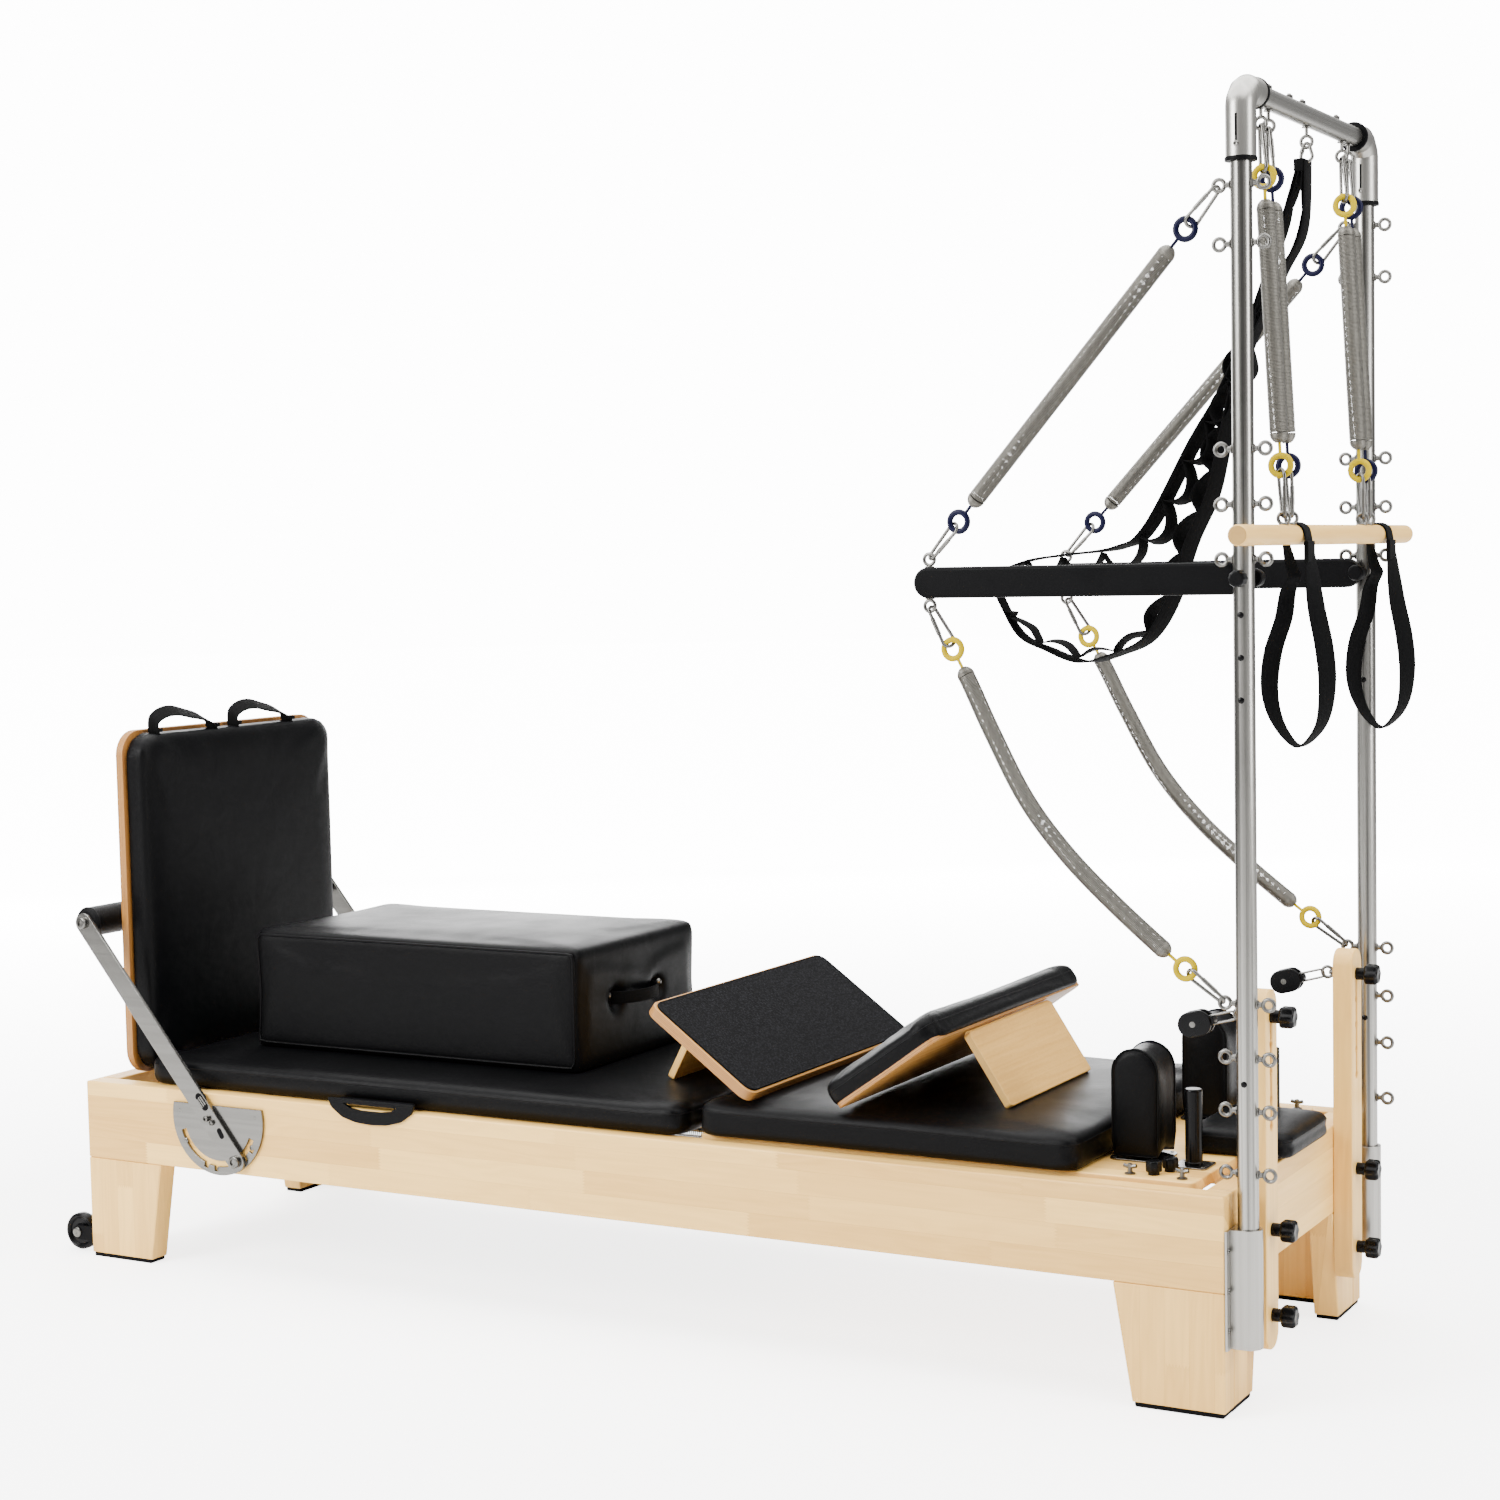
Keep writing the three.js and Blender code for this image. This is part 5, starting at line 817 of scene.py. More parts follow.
def brushed(name, colour, gloss, along, strength=0.1, relief=0.012, reflection_band_shade=0.85, **extra):
    """Metal with fine brushing lines along one way of the piece, and broad darker bands along it: painted
    reflection streaks.
    """
    look = Look(name, Metallic=1.0, Roughness=gloss, **extra)
    fine = tuple(6.0 if axis == along else 1500.0 for axis in "XYZ")
    # broad darker bands along the piece: painted reflection streaks, not a feature of the metal
    broad = tuple(0.8 if axis == along else 130.0 for axis in "XYZ")
    lines = look.noise(look.place, 1.0, 3.0, 0.7, fine)
    haze = look.noise(look.place, 9.0, 4.0)
    painted_reflection_bands = look.range(look.noise(look.place, 1.0, 2.0, 0.5, broad), 0.38, 0.62)
    shades = [look.mix(painted_reflection_bands, tone(colour, part * reflection_band_shade), tone(colour, part)) for part in (1 - strength, 1)]
    look.set("Base Color", look.mix(lines, *shades))
    blur = look.math("ADD", look.math("MULTIPLY", lines, 0.12), look.math("MULTIPLY", haze, 0.08))
    look.set("Roughness", look.math("ADD", blur, gloss - 0.1))
    look.set("Normal", look.bump(lines, relief))


def grip(name, colour):
    """Coarse standing grip, like fine black sand."""
    look = Look(name, Roughness=0.85, Specular_IOR_Level=0.08)
    sand = look.node("ShaderNodeTexVoronoi", {
        "Vector": look.place, "Scale": 270.0,
    }, feature="SMOOTH_F1").outputs[0]
    patch = look.noise(look.place, 700.0, 4.0)
    look.set("Base Color", look.mix(look.range(sand, 0.05, 0.42, 1.0, 0.0), tone(colour), tone(colour, 9)))
    look.set("Roughness", look.range(patch, 0.3, 0.7, 0.74, 0.95))
    height = look.math("MULTIPLY_ADD", patch, 0.5, look.math("MULTIPLY", sand, -1.0))
    look.set("Normal", look.bump(height, 0.9))


def make_finishes(bed):
    """Every finish that the pieces take by name."""
    light, dark = bed.maple_light, bed.maple_dark
    for along in "XYZ":
        wood(f"maple_{along}", tone(light), tone(dark), along)
    wood("riser_wood", tone(light), tone(dark), "Z", 0.06, 1.9)
    wood("bar_wood", tone(light, 0.84), tone(dark, 0.9), "Y", 0.2, 3.0)
    wood("bar_end", tone(light, 0.5), tone(dark, 0.6), "X", 0.1, 6.0)
    face, edge = tone(bed.ply_light), tone(bed.ply_dark)
    pale, pale_edge = tuple(min(1.0, part) for part in tone(light, 1.1)), tone(dark, 0.95)
    ply("jump_ply", face, edge, X, at(JUMP_X - 9, 0, 0), Z)
    for name, foot, angle, lean, way in (
        ("tilt", TILT_FOOT, TILT_ANGLE, TILT_LEAN, -1),
        ("incline", INCLINE_FOOT, INCLINE_ANGLE, INCLINE_LEAN, 1),
    ):
        turn, slope = math.radians(angle), math.radians(lean)
        off_face = Vector((-way * math.sin(turn), 0, math.cos(turn)))
        off_panel = Vector((math.cos(slope), 0, way * math.sin(slope)))
        ply(f"{name}_ply", face, edge, off_face, at(foot.x, 0, foot.z), Y)
        ply(f"{name}_panel_ply", pale, pale_edge, off_panel, at(0, 0, 420), Y)
    leather("leather", bed.leather)
    leather("leather_fine", bed.leather, 0.4, 900.0, 0.1)
    webbing("webbing", bed.webbing)
    grip("grip", bed.leather)
    moulded("thread", bed.thread, 0.6, 900.0, 0.05)
    moulded("gloss_black", bed.plastic, 0.26)
    moulded("satin_black", bed.seals, 0.42, 600.0, 0.06, shine=0.05)
    moulded("rubber", bed.rubber, 0.68, 500.0, 0.12, shine=0.06)
    moulded("seal_black", bed.seals, 0.5, 400.0, 0.08, shine=0.06)
    moulded("ring_yellow", bed.ring_yellow, 0.42, 300.0, 0.05, patch=0.12, shine=0.04)
    moulded("ring_navy", bed.ring_navy, 0.36, 300.0, 0.05)
    steel = bed.steel
    # how dark each metal's painted reflection bands run: strongest on the posts and crossbar
    brushed("post_steel", tone(steel, 2.1), 0.28, "Z", reflection_band_shade=0.3, Anisotropic=0.4)
    brushed("crossbar_steel", tone(steel, 2.1), 0.28, "Y", reflection_band_shade=0.6, Anisotropic=0.3)
    for along in "XY":
        brushed(f"steel_{along}", tone(steel), 0.24, along, reflection_band_shade=0.88, Anisotropic=0.3)
    for along in "XZ":
        brushed(f"aluminium_{along}", tone(steel, 2.1), 0.34, along, 0.07)
    warm = tuple(part * share for part, share in zip(tone(steel), (0.95, 0.93, 0.88)))
    brushed("spring", warm, 0.5, "Z", 0.2, 0.0)
    brushed("chrome", tone(steel, 0.9), 0.28, "Z", 0.06, 0.0)


# ---------------------------------------------------------------- cushions

HELD_DEPTH = 3.5
SWELL_STEPS = 20


class Cushion:
    """A padded block drawn in its own plane, its third axis through its thickness."""

    def __init__(self, name, body, place, loop, thick, voxel, reach,
                 rim=14, crown=4, draw=4, small=2.0, cutters=None):
        self.name, self.body, self.place, self.loop, self.thick = name, body, place, loop, thick
        self.voxel, self.reach = voxel, reach
        self.rim, self.crown, self.draw, self.small = rim, crown, draw, small
        self.cutters = cutters

    def block(self):
        """The closed block before it swells."""
        form = Form()
        middle = Vector((sum(p[0] for p in self.loop), sum(p[1] for p in self.loop), 0)) / len(self.loop)
        half = min(max(abs(p[0] - middle.x) for p in self.loop), max(abs(p[1] - middle.y) for p in self.loop))
        rim, top = self.rim, self.thick - self.crown
        levels = [(self.small + rim * 0.45, 0), (self.small + rim * 0.12, rim * 0.3), (self.small, rim * 0.8)]
        levels += [(self.small + self.draw, self.thick * 0.5), (self.small, top - rim)]
        levels += [(self.small + rim * (1 - math.cos(t)), top - rim + rim * math.sin(t))
                   for t in map(math.radians, (25, 50, 72, 90))]
        shares = [(1 - inset / half, z) for inset, z in levels]
        last = shares[-1][0]
        shares += [(last * s, top + self.crown * (1 - s * s)) for s in (0.8, 0.55, 0.3, 0.1)]
        points, count = [], len(self.loop)
        for share, z in shares:
            points += [middle + (Vector((*p, 0)) - middle) * share + Z * z for p in self.loop]
        faces = [tuple(reversed(range(count))), tuple(range(len(points) - count, len(points)))]
        for k in range(len(shares) - 1):
            for i in range(count):
                j = (i + 1) % count
                faces.append((k * count + i, k * count + j, (k + 1) * count + j, (k + 1) * count + i))
        form.add([self.place @ p for p in points], faces)
        return form.mesh(self.name)

    def start(self):
        """The block as an even net of small faces, ready to swell."""
        obj = linked(self.name, self.block())
        if self.cutters:
            tool = linked("cutter", self.cutters.mesh("cutter"))
            hollow = obj.modifiers.new("Pockets", "BOOLEAN")
            hollow.operation, hollow.object, hollow.solver = "DIFFERENCE", tool, "EXACT"
            settle(obj)
            bpy.data.objects.remove(tool)
        net = obj.modifiers.new("Net", "REMESH")
        net.mode, net.voxel_size = "VOXEL", self.voxel * MM
        calm = obj.modifiers.new("Calm", "SMOOTH")
        calm.factor, calm.iterations = 0.5, 4
        settle(obj)
        self.obj = obj
        self.rest = corners(obj.data)
        back = (WORLD @ self.place).inverted()
        depth = self.rest @ np.array(back.to_3x3()).T + np.array(back.translation)
        low = depth[:, 2] < HELD_DEPTH
        group = obj.vertex_groups.new(name="held")
        group.add([int(i) for i in np.nonzero(low)[0]], 1.0, "REPLACE")

    def swell(self, pressure):
        """Air inside pushes the net out, its back held."""
        cloth = self.obj.modifiers.new("Swell", "CLOTH")
        settings = cloth.settings
        settings.quality = 5
        settings.mass = 0.4
        settings.tension_stiffness = settings.compression_stiffness = 40
        settings.shear_stiffness, settings.bending_stiffness = 20, 12
        settings.use_pressure, settings.uniform_pressure_force = True, pressure
        settings.effector_weights.gravity = 0
        settings.vertex_group_mass = "held"
        cloth.collision_settings.use_collision = False
        cloth.point_cache.frame_start, cloth.point_cache.frame_end = 1, SWELL_STEPS

    def keep(self):
        """Keeps the swollen net, no point further than its reach from where it began."""
        evaluated = self.obj.evaluated_get(bpy.context.evaluated_depsgraph_get())
        moved = corners(evaluated.data) - self.rest
        far = np.linalg.norm(moved, axis=1, keepdims=True)
        limit = self.reach * MM
        moved *= np.where(far > 0, limit * np.tanh(far / limit) / np.maximum(far, 1e-9), 1)
        self.obj.modifiers.clear()
        self.obj.data.vertices.foreach_set("co", (self.rest + moved).astype(np.float32).ravel())

    def dress(self):
        """Fine net, finish and body; keeps its skin for laying trim on it."""
        obj = self.obj
        obj.vertex_groups.clear()
        fine = obj.modifiers.new("Fine", "SUBSURF")
        fine.levels = fine.render_levels = 1
        settle(obj)
        obj.data.shade_smooth()
        obj.data.materials.clear()
        finished(obj.data, "leather")
        faces = [p.vertices for p in obj.data.polygons]
        self.skin = BVHTree.FromPolygons([v.co for v in obj.data.vertices], faces)
        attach(obj, self.body)
        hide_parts(self.name)

    def laid(self, line, lift):
        """A line in the cushion's own plane, laid on its skin."""
        spots = []
        for point in line:
            spot = WORLD @ (self.place @ Vector(point))
            near, normal, *_ = self.skin.find_nearest(spot)
            spots.append(WORLD.inverted() @ (near + normal * lift * MM))
        return spots

    def piping(self, name, line, radius, lift, facets=10):
        """A closed cord of leather laid on the skin."""
        form = Form()
        swept(form, self.laid(line, lift), radius, facets, True)
        put(name, form.mesh(name), self.body, "leather_fine", polish=False)


def corners(mesh):
    """The mesh's corner places as rows of numbers."""
    found = np.empty(len(mesh.vertices) * 3, np.float32)
    mesh.vertices.foreach_get("co", found)
    return found.reshape(-1, 3).astype(float)


def shrunk(loop, share):
    """The same outline, smaller about its middle."""
    middle = (sum(p[0] for p in loop) / len(loop), sum(p[1] for p in loop) / len(loop))
    return [(middle[0] + (x - middle[0]) * share, middle[1] + (y - middle[1]) * share) for x, y in loop]


def arch_loop():
    """The outline of a shoulder rest standing on its base."""
    width, height = REST_WIDTH, REST_HEIGHT
    radius = width / 2
    loop = arc((0, height - radius), radius, 0, 180, 24)
    side = [(-radius, (height - radius) * s) for s in (0.75, 0.5, 0.25)]
    base = [(-radius + width * s, 0) for s in (0.0, 0.25, 0.5, 0.75, 1.0)]
    return loop + side + base + [(-x, y) for x, y in reversed(side)]


def long_loop(x0, x1, y0, y1, radius):
    """A rounded rectangle whose straight sides hold points of their own."""
    loop = rounded(x0, x1, y0, y1, radius, 10)
    line = []
    for a, b in zip(loop, loop[1:] + loop[:1]):
        steps = max(1, round(math.dist(a, b) / 40))
        line += [(a[0] + (b[0] - a[0]) * k / steps, a[1] + (b[1] - a[1]) * k / steps) for k in range(steps)]
    return line


def tilted(foot, angle, way):
    """The plane of a board that rises from its foot: X up the board, Y across, Z off its face."""
    turn = math.radians(angle)
    up = Vector((way * math.cos(turn), 0, math.sin(turn)))
    across = Vector((0, way, 0))
    return frame_of(foot, up, across)


def box_pockets():
    """The two hand pockets that are cut out of the box."""
    form = Form()
    funnel = [(-27, 10), (-26, 18), (-20, 23), (-11, 26), (-5, 29.5), (-1, 34), (2, 41), (6, 52)]
    for y, z in POCKETS:
        turned(form, (BOX_X[1], y, z), X, funnel, 40)
    return form


def cushions():
    """Every padded piece of the bed."""
    bed_plane, mat_plane = plane_xy(DECK_TOP + 0.3), plane_xy(BED_TOP + 0.3)
    incline = tilted(INCLINE_FOOT, INCLINE_ANGLE, 1) @ Matrix.Translation((0, 0, 2))
    pads = [
        Cushion("mat_pad", "mat", mat_plane, long_loop(-1070, 200, -361, 361, 40), 59.7, 12, 5, small=2.5),
        Cushion("carriage_pad", "carriage", bed_plane, long_loop(205, 945, -353, 353, 30), 65, 11, 5,
                small=2.5),
        Cushion("headrest", "head_pad", bed_plane, long_loop(1038, 1228, -122, 122, 30), 48, 6, 4),
        Cushion("sitting_box", "box", plane_xy(MAT_TOP), long_loop(*BOX_X, *BOX_Y, 16), BOX_HEIGHT, 9, 3,
                rim=12, draw=3, small=2.5, cutters=box_pockets()),
        Cushion("incline_pad", "incline", incline, long_loop(0, BOARD_LENGTH, -335, 335, 30), 54, 6, 4,
                rim=15, draw=0),
        Cushion("jumpboard_pad", "jump", plane_yz(JUMP_X + 9.3), long_loop(*JUMP_Y, *JUMP_Z, 50), 54, 10, 3.5,
                draw=3),
    ]
    for side, y in (("near", -125), ("far", 218)):
        place = frame_of((989.5, y, DECK_TOP + 3.3), X, Z)
        pads.append(Cushion(f"{side}_shoulder_rest", f"{side}_rest", place, arch_loop(), 93, 5, 4,
                            rim=8, crown=3, draw=3, small=1.0))
    return pads


# ---------------------------------------------------------------- bed

def build_bed_frame(bed):
    """Rails, end boards, legs, wheels and tracks."""
    length, height = (FOOT_END, HEAD_END), (RAIL_BOTTOM, BED_TOP)
    for side, sign in SIDES:
        name = f"{side}_side_rail"
        form = slab(Form(), length, (sign * RAIL_INNER, sign * RAIL_FACE), height, bed.wood_edge)
        put(name, form, "base", "maple_X", [name])
    for name, start in (("head_end_board", HEAD_END - RAIL_THICK), ("foot_end_board", FOOT_END)):
        form = slab(Form(), (start, start + RAIL_THICK), END_BOARD_Y, height, bed.wood_edge)
        if start == FOOT_END:
            slab(form, (FOOT_END + 41, -1120), (-130, 130), (284.7, 299.7), 1.5)
        put(name, form, "base", "maple_Y", [name])
    for side, sign in SIDES:
        for end_name, end in (("foot", FOOT_END), ("head", HEAD_END)):
            build_leg(side, sign, end_name, end, bed.wood_edge)
        build_wheel(side, sign)
        track = NODES[f"{side}_carriage_track"].data
        track.materials.clear()
        finished(track, "aluminium_X")


def leg_reach(full, z):
    """How far a leg board has drawn in at a height above the floor."""
    return full - LEG_TAPER * (1 - (z - FOOT_PAD) / (RAIL_BOTTOM - FOOT_PAD))


def leg_outline(outer, way, full, low, high, inset=0.0):
    """The tapered outline of one board of a leg."""
    return [(outer + way * inset, low), (outer + way * (leg_reach(full, low) - inset), low),
            (outer + way * (leg_reach(full, high) - inset), high), (outer + way * inset, high)]


def soft_corners(loop, radius):
    """The same outline with small round corners."""
    made = []
    for i, spot in enumerate(loop):
        corner = Vector(spot)
        before, after = Vector(loop[i - 1]) - corner, Vector(loop[(i + 1) % len(loop)]) - corner
        a, b = corner + before.normalized() * radius, corner + after.normalized() * radius
        shares = (0.0, 0.25, 0.5, 0.75, 1.0)
        made += [tuple(a.lerp(corner, t).lerp(corner.lerp(b, t), t)) for t in shares]
    return made


def build_leg(side, sign, end_name, end, edge):
    """A leg of two boards and their soles, at the foot end with its wheel fork."""
    inward = -1 if end > 0 else 1
    front_plane = plane_xz(sign * (RAIL_FACE - RAIL_THICK / 2))
    back_plane = plane_yz(end + inward * RAIL_THICK / 2)

    def back_board(low, high, stop, inset=0.0):
        """The outline of the return board, cut off behind the front board."""
        return [(y if abs(y) < RAIL_INNER else sign * stop, z)
                for y, z in leg_outline(sign * RAIL_FACE, -sign, LEG_RETURN, low, high, inset)]
    top, sole_top = RAIL_BOTTOM - 0.3, FOOT_PAD + 0.3
    front = soft_corners(leg_outline(end, inward, LEG_WIDTH, FOOT_PAD, top), edge)
    wood = plate(Form(), [front], RAIL_THICK, edge, front_plane)
    back = soft_corners(back_board(FOOT_PAD, top, RAIL_INNER - 0.1), edge)
    plate(wood, [back], RAIL_THICK, edge, back_plane, 1)
    sole = soft_corners(leg_outline(end, inward, LEG_WIDTH, 0, sole_top, 3), 3)
    pads = plate(Form(), [sole], RAIL_THICK - 6, 1.2, front_plane)
    sole = soft_corners(back_board(0, sole_top, RAIL_INNER + 2.5, 3), 3)
    plate(pads, [sole], RAIL_THICK - 6, 1.2, back_plane)
    name = f"{side}_{end_name}_leg"
    put(name, wood, "base", ["maple_Z", "maple_Z"], [name])
    put(name + "_pad", pads, "base", "rubber")
    if end_name == "foot":
        fork = Form()
        for cheek in (-1, 1):
            y = sign * WHEEL.y + cheek * 15
            plate(fork, [stadium((FOOT_END - 4, WHEEL.z), (WHEEL.x + 3, WHEEL.z), 15)], 4, 0.8, plane_xz(y))
            cap = [(0, 10), (3, 10), (4, 8), (4.2, 5), (3, 0.4)]
            turned(fork, (WHEEL.x, y + cheek * 1.2, WHEEL.z), Y * cheek, cap, 32, look=1)
        pin(fork, (WHEEL.x, sign * WHEEL.y - 17, WHEEL.z), Y, 5, 34)
        put(f"{side}_wheel_fork", fork, "base", ["satin_black", "chrome"])


def build_wheel(side, sign):
    """A transport wheel: tyre, disc and hub."""
    name = f"{side}_transport_wheel"
    start = Vector((WHEEL.x, sign * WHEEL.y, WHEEL.z))
    tyre = [(-6, 26), (-9, 27.5), (-12, 31.5), (-10.5, 35.2), (-7, 37.2), (0, 37.5), (7, 37.2), (10.5, 35.2),
            (12, 31.5), (9, 27.5), (6, 26)]
    form = turned(Form(), start, Y, tyre, 64)
    half = [(9.5, 6.2), (11.5, 11), (10, 14), (6, 16), (5.2, 24), (6.5, 26.4)]
    hub = [(-x, radius) for x, radius in half] + half[::-1]
    turned(form, start, Y, hub, 48, look=1)
    pin(form, start - Y * 11.9, Y, 7.5, 23.8, 1.6, 28, look=2)
    put(name, form, f"{side}_wheel", ["gloss_black", "satin_black", "chrome"], [name])


# ---------------------------------------------------------------- carriage

def build_carriage():
    """Board, rollers, plates, pegs, knobs and cleats of the carriage."""
    steel, black, bright = Form(), Form(), Form()
    board = slab(Form(), (208, 1132), (-321.7, 321.7), (346, DECK_TOP), 2.5, 10)
    slab(steel, (228, 236), (-240, 240), (288, 350), 1.0, 1.0)
    for y in CARRIAGE_SPRING_Y:
        pin(bright, (236, y, CARRIAGE_SPRING_Z), X, 7, 6, 1.0, 6)
    for x in (268, 1072):
        for sign in (-1, 1):
            y = sign * 312
            wheel = [(-7, 8), (-6, 10.2), (-4, 10.85), (4, 10.85), (6, 10.2), (7, 8)]
            turned(black, (x, y, 335), Y, wheel, 40)
            pin(steel, (x, y - sign * 24, 335), Y * sign, 4, 22)
            slab(steel, (x - 14, x + 14), sorted((y - sign * 20, y - sign * 17)), (322, 350), 0.8)
    for sign in (-1, 1):
        low, high = sorted((sign * 125, sign * 218))
        loop = rounded(947 - 6, 1032 + 6, low, high, 18)
        plate(steel, [loop], 3, 0.6, plane_xy(367.5))
        plate(steel, [rounded(1060, 1120, sign * 203 - 30, sign * 203 + 30, 8)], 3, 0.6, plane_xy(367.5))
        peg = [(0, 15.5), (4, 15.5), (5, 14.5), (122, 14.5), (125, 14.2), (126.6, 12.8), (127, 10)]
        turned(black, (1090, sign * 203, 369), Z, peg, 48)
        for x, y in [(x, y) for xs, ys in (((1068, 1112), (183, 223)), ((953, 1026), (133, 210)))
                     for x in xs for y in ys]:
            pin(bright, (x, sign * y, 368.6), Z, 3.4, 1.6, 0.7, 20)
        for x, y in ((1052, 290), (1068, 256)):
            knob = [(0, 10), (5, 10), (6, 13.4), (8, 14), (20, 14), (22.6, 12.6), (24, 9)]
            turned(black, (x, sign * y, 366), Z, knob, 48, lobes=8, depth=0.07)
        for x in (1015, 1105):
            y = sign * 301.7
            turned(bright, (x, y, 366), Z, [(0, 9), (2, 9), (3.5, 4.4), (12, 3.6), (17, 4), (18, 2.5)], 32)
            swept(bright, smooth_line([(x - 11, y, 380.4), (x - 6, y, 379), (x, y, 378.4), (x + 6, y, 379),
                                       (x + 11, y, 380.4)], 5), 3.4, 16)
    put("carriage_board", board, "carriage", "maple_X", ["carriage_frame"])
    put("carriage_steel", steel, "carriage", "steel_X")
    put("carriage_black_fittings", black, "carriage", "gloss_black")
    put("carriage_cleats", bright, "carriage", "chrome")


# ---------------------------------------------------------------- cushions and their trim

def build_cushions(bed):
    """Every padded piece, swollen together, then its trim."""
    pads = cushions()
    for pad in pads:
        pad.start()
    for pad in pads:
        pad.swell(bed.swell_pressure)
    scene = bpy.context.scene
    scene.frame_start, scene.frame_end = 1, SWELL_STEPS
    for step in range(1, SWELL_STEPS + 1):
        scene.frame_set(step)
    for pad in pads:
        pad.keep()
    for pad in pads:
        pad.dress()
    named = {pad.name: pad for pad in pads}
    for name, high in (("mat_pad", 43), ("carriage_pad", 48), ("headrest", 33), ("incline_pad", 29)):
        pad = named[name]
        pad.piping(name + "_seam", [(*p, high) for p in pad.loop], bed.seam_width, -0.2, 8)
    trim_box(named["sitting_box"], bed)
    for side, _ in SIDES:
        for face, depth in (("front", 7.5), ("back", 85.5)):
            line, radius = [(*p, depth) for p in arch_loop()], bed.piping * 0.8
            named[f"{side}_shoulder_rest"].piping(f"{side}_rest_{face}_piping", line, radius, radius * 0.5)
    build_jumpboard_handles()
    build_mat_handle()


def trim_box(pad, bed):
    """Piping, rivets and strap of the sitting box."""
    rim, foot, top = 13, MAT_TOP, MAT_TOP + BOX_HEIGHT
    for end, y in zip(("near", "far"), BOX_Y):
        loop = rounded(BOX_X[0] + rim, BOX_X[1] - rim, foot + rim, top - rim, 9, 6)
        line = [Vector((x, y, z - foot)) for x, z in even_loop(loop, 16)]
        pad.piping(f"box_{end}_piping", line, bed.piping, bed.piping * 0.45)
    rivet = turned(Form(), (0, 0, 0), Z, [(0, 6.5), (1.2, 6.5), (2.8, 4.8), (3.6, 2.4), (3.7, 0.2)], 28)
    places = [((-134, y + way * 15, z + 7), Vector((1, way * -0.55, 0)))
              for (y, z), way in zip(POCKETS, (-1, 1))]
    scattered("box_rivets", rivet, places, "box", "chrome")
    knots = [(-150, -56, 547.3), (-132, -50, 547.3), (-116, -38, 547.3), (-102, -12, 547.8), (-97, 19, 548),
             (-102, 50, 547.8), (-116, 76, 547.3), (-132, 88, 547.3), (-150, 94, 547.3)]
    put("box_strap", ribbon(Form(), smooth_line(knots, 6), Z, 24, 4), "box", "webbing")


def even_loop(loop, step):
    """A closed outline in even steps."""
    line = even_line([Vector((*p, 0)) for p in loop + loop[:1]], step)[:-1]
    return [(p.x, p.y) for p in line]


def build_jumpboard_handles():
    """Two webbing handles over the jumpboard's top, each through two slots."""
    x = -1102.7
    for index, y in enumerate((-152.0, 93.0)):
        knots = [(x, y - 88, 1050), (x, y - 93, 1068), (x - 0.8, y - 88, 1086), (x, y - 62, 1098),
                 (x, y - 28, 1100), (x, y + 10, 1092), (x + 0.7, y + 48, 1083), (x, y + 80, 1068),
                 (x, y + 88, 1050)]
        line = smooth_line(knots, 8)
        leans = [0.75 * math.sin(math.pi * i / (len(line) - 1)) for i in range(len(line))]
        form = ribbon(Form(), line, [Vector((math.cos(lean), 0, -math.sin(lean))) for lean in leans], 30, 4)
        for end in (-1, 1):
            slab(form, (-1119, -1086), (y + end * 88 - 5, y + end * 88 + 5), (1060, 1068), 1.2)
        put(f"jumpboard_handle_{index + 1}", form, "jump", "webbing")


def build_mat_handle():
    """The sewn handle on the mat's near side."""
    outer = [(-582, 378), (-574, 360), (-548, 342), (-516, 334), (-480, 332), (-444, 334), (-412, 342),
             (-386, 360), (-378, 378)]
    inner = [(-546, 370), (-530, 361), (-505, 357.5), (-459, 357.5), (-434, 361), (-418, 370)]
    form = plate(Form(), [soft_corners(outer, 5), soft_corners(inner, 2.5)], 7, 0.9, plane_xz(-375.3))
    slab(form, (-566, -394), (-377.3, -352), (368, 376), 1.6)
    put("mat_handle", form, "mat", "leather_fine")
    stitches("mat_handle_stitches", [(-564, -377.6, 373.5), (-396, -377.6, 373.5)], "mat")


# ---------------------------------------------------------------- boards on the bed

def leg_panel(name, body, foot, way, angle, lean, rest, width, look):
    """A folding panel that stands on a height and turns on a round edge under its board."""
    turn, slope = math.radians(angle), math.radians(lean)
    along, under, half = BOARD_LENGTH - 26, 7.3, 7
    hinge = Vector((foot.x + way * (along * math.cos(turn) + under * math.sin(turn)), foot.y,
                    foot.z + along * math.sin(turn) - under * math.cos(turn)))
    run = (hinge.z - rest - half * math.sin(slope)) / math.cos(slope)
    up = Vector((-way * math.sin(slope), 0, math.cos(slope)))
    form = plate(Form(), [rounded(-width / 2, width / 2, -run, 3, 7)], half * 2, 1.6, frame_of(hinge, Y, up))
    pin(form, hinge - Y * (width / 2 - half), Y, half, width - half * 2, 1.0)
    put(name, form, body, look, [name])
    barrel = pin(Form(), (0, 0, -17), Z, 4.6, 34, 0.8, 24)
    places = [(hinge + Y * (share * width) - up, Y) for share in (-0.36, 0.36)]
    scattered(name + "_hinges", barrel, places, body, "steel_Y")


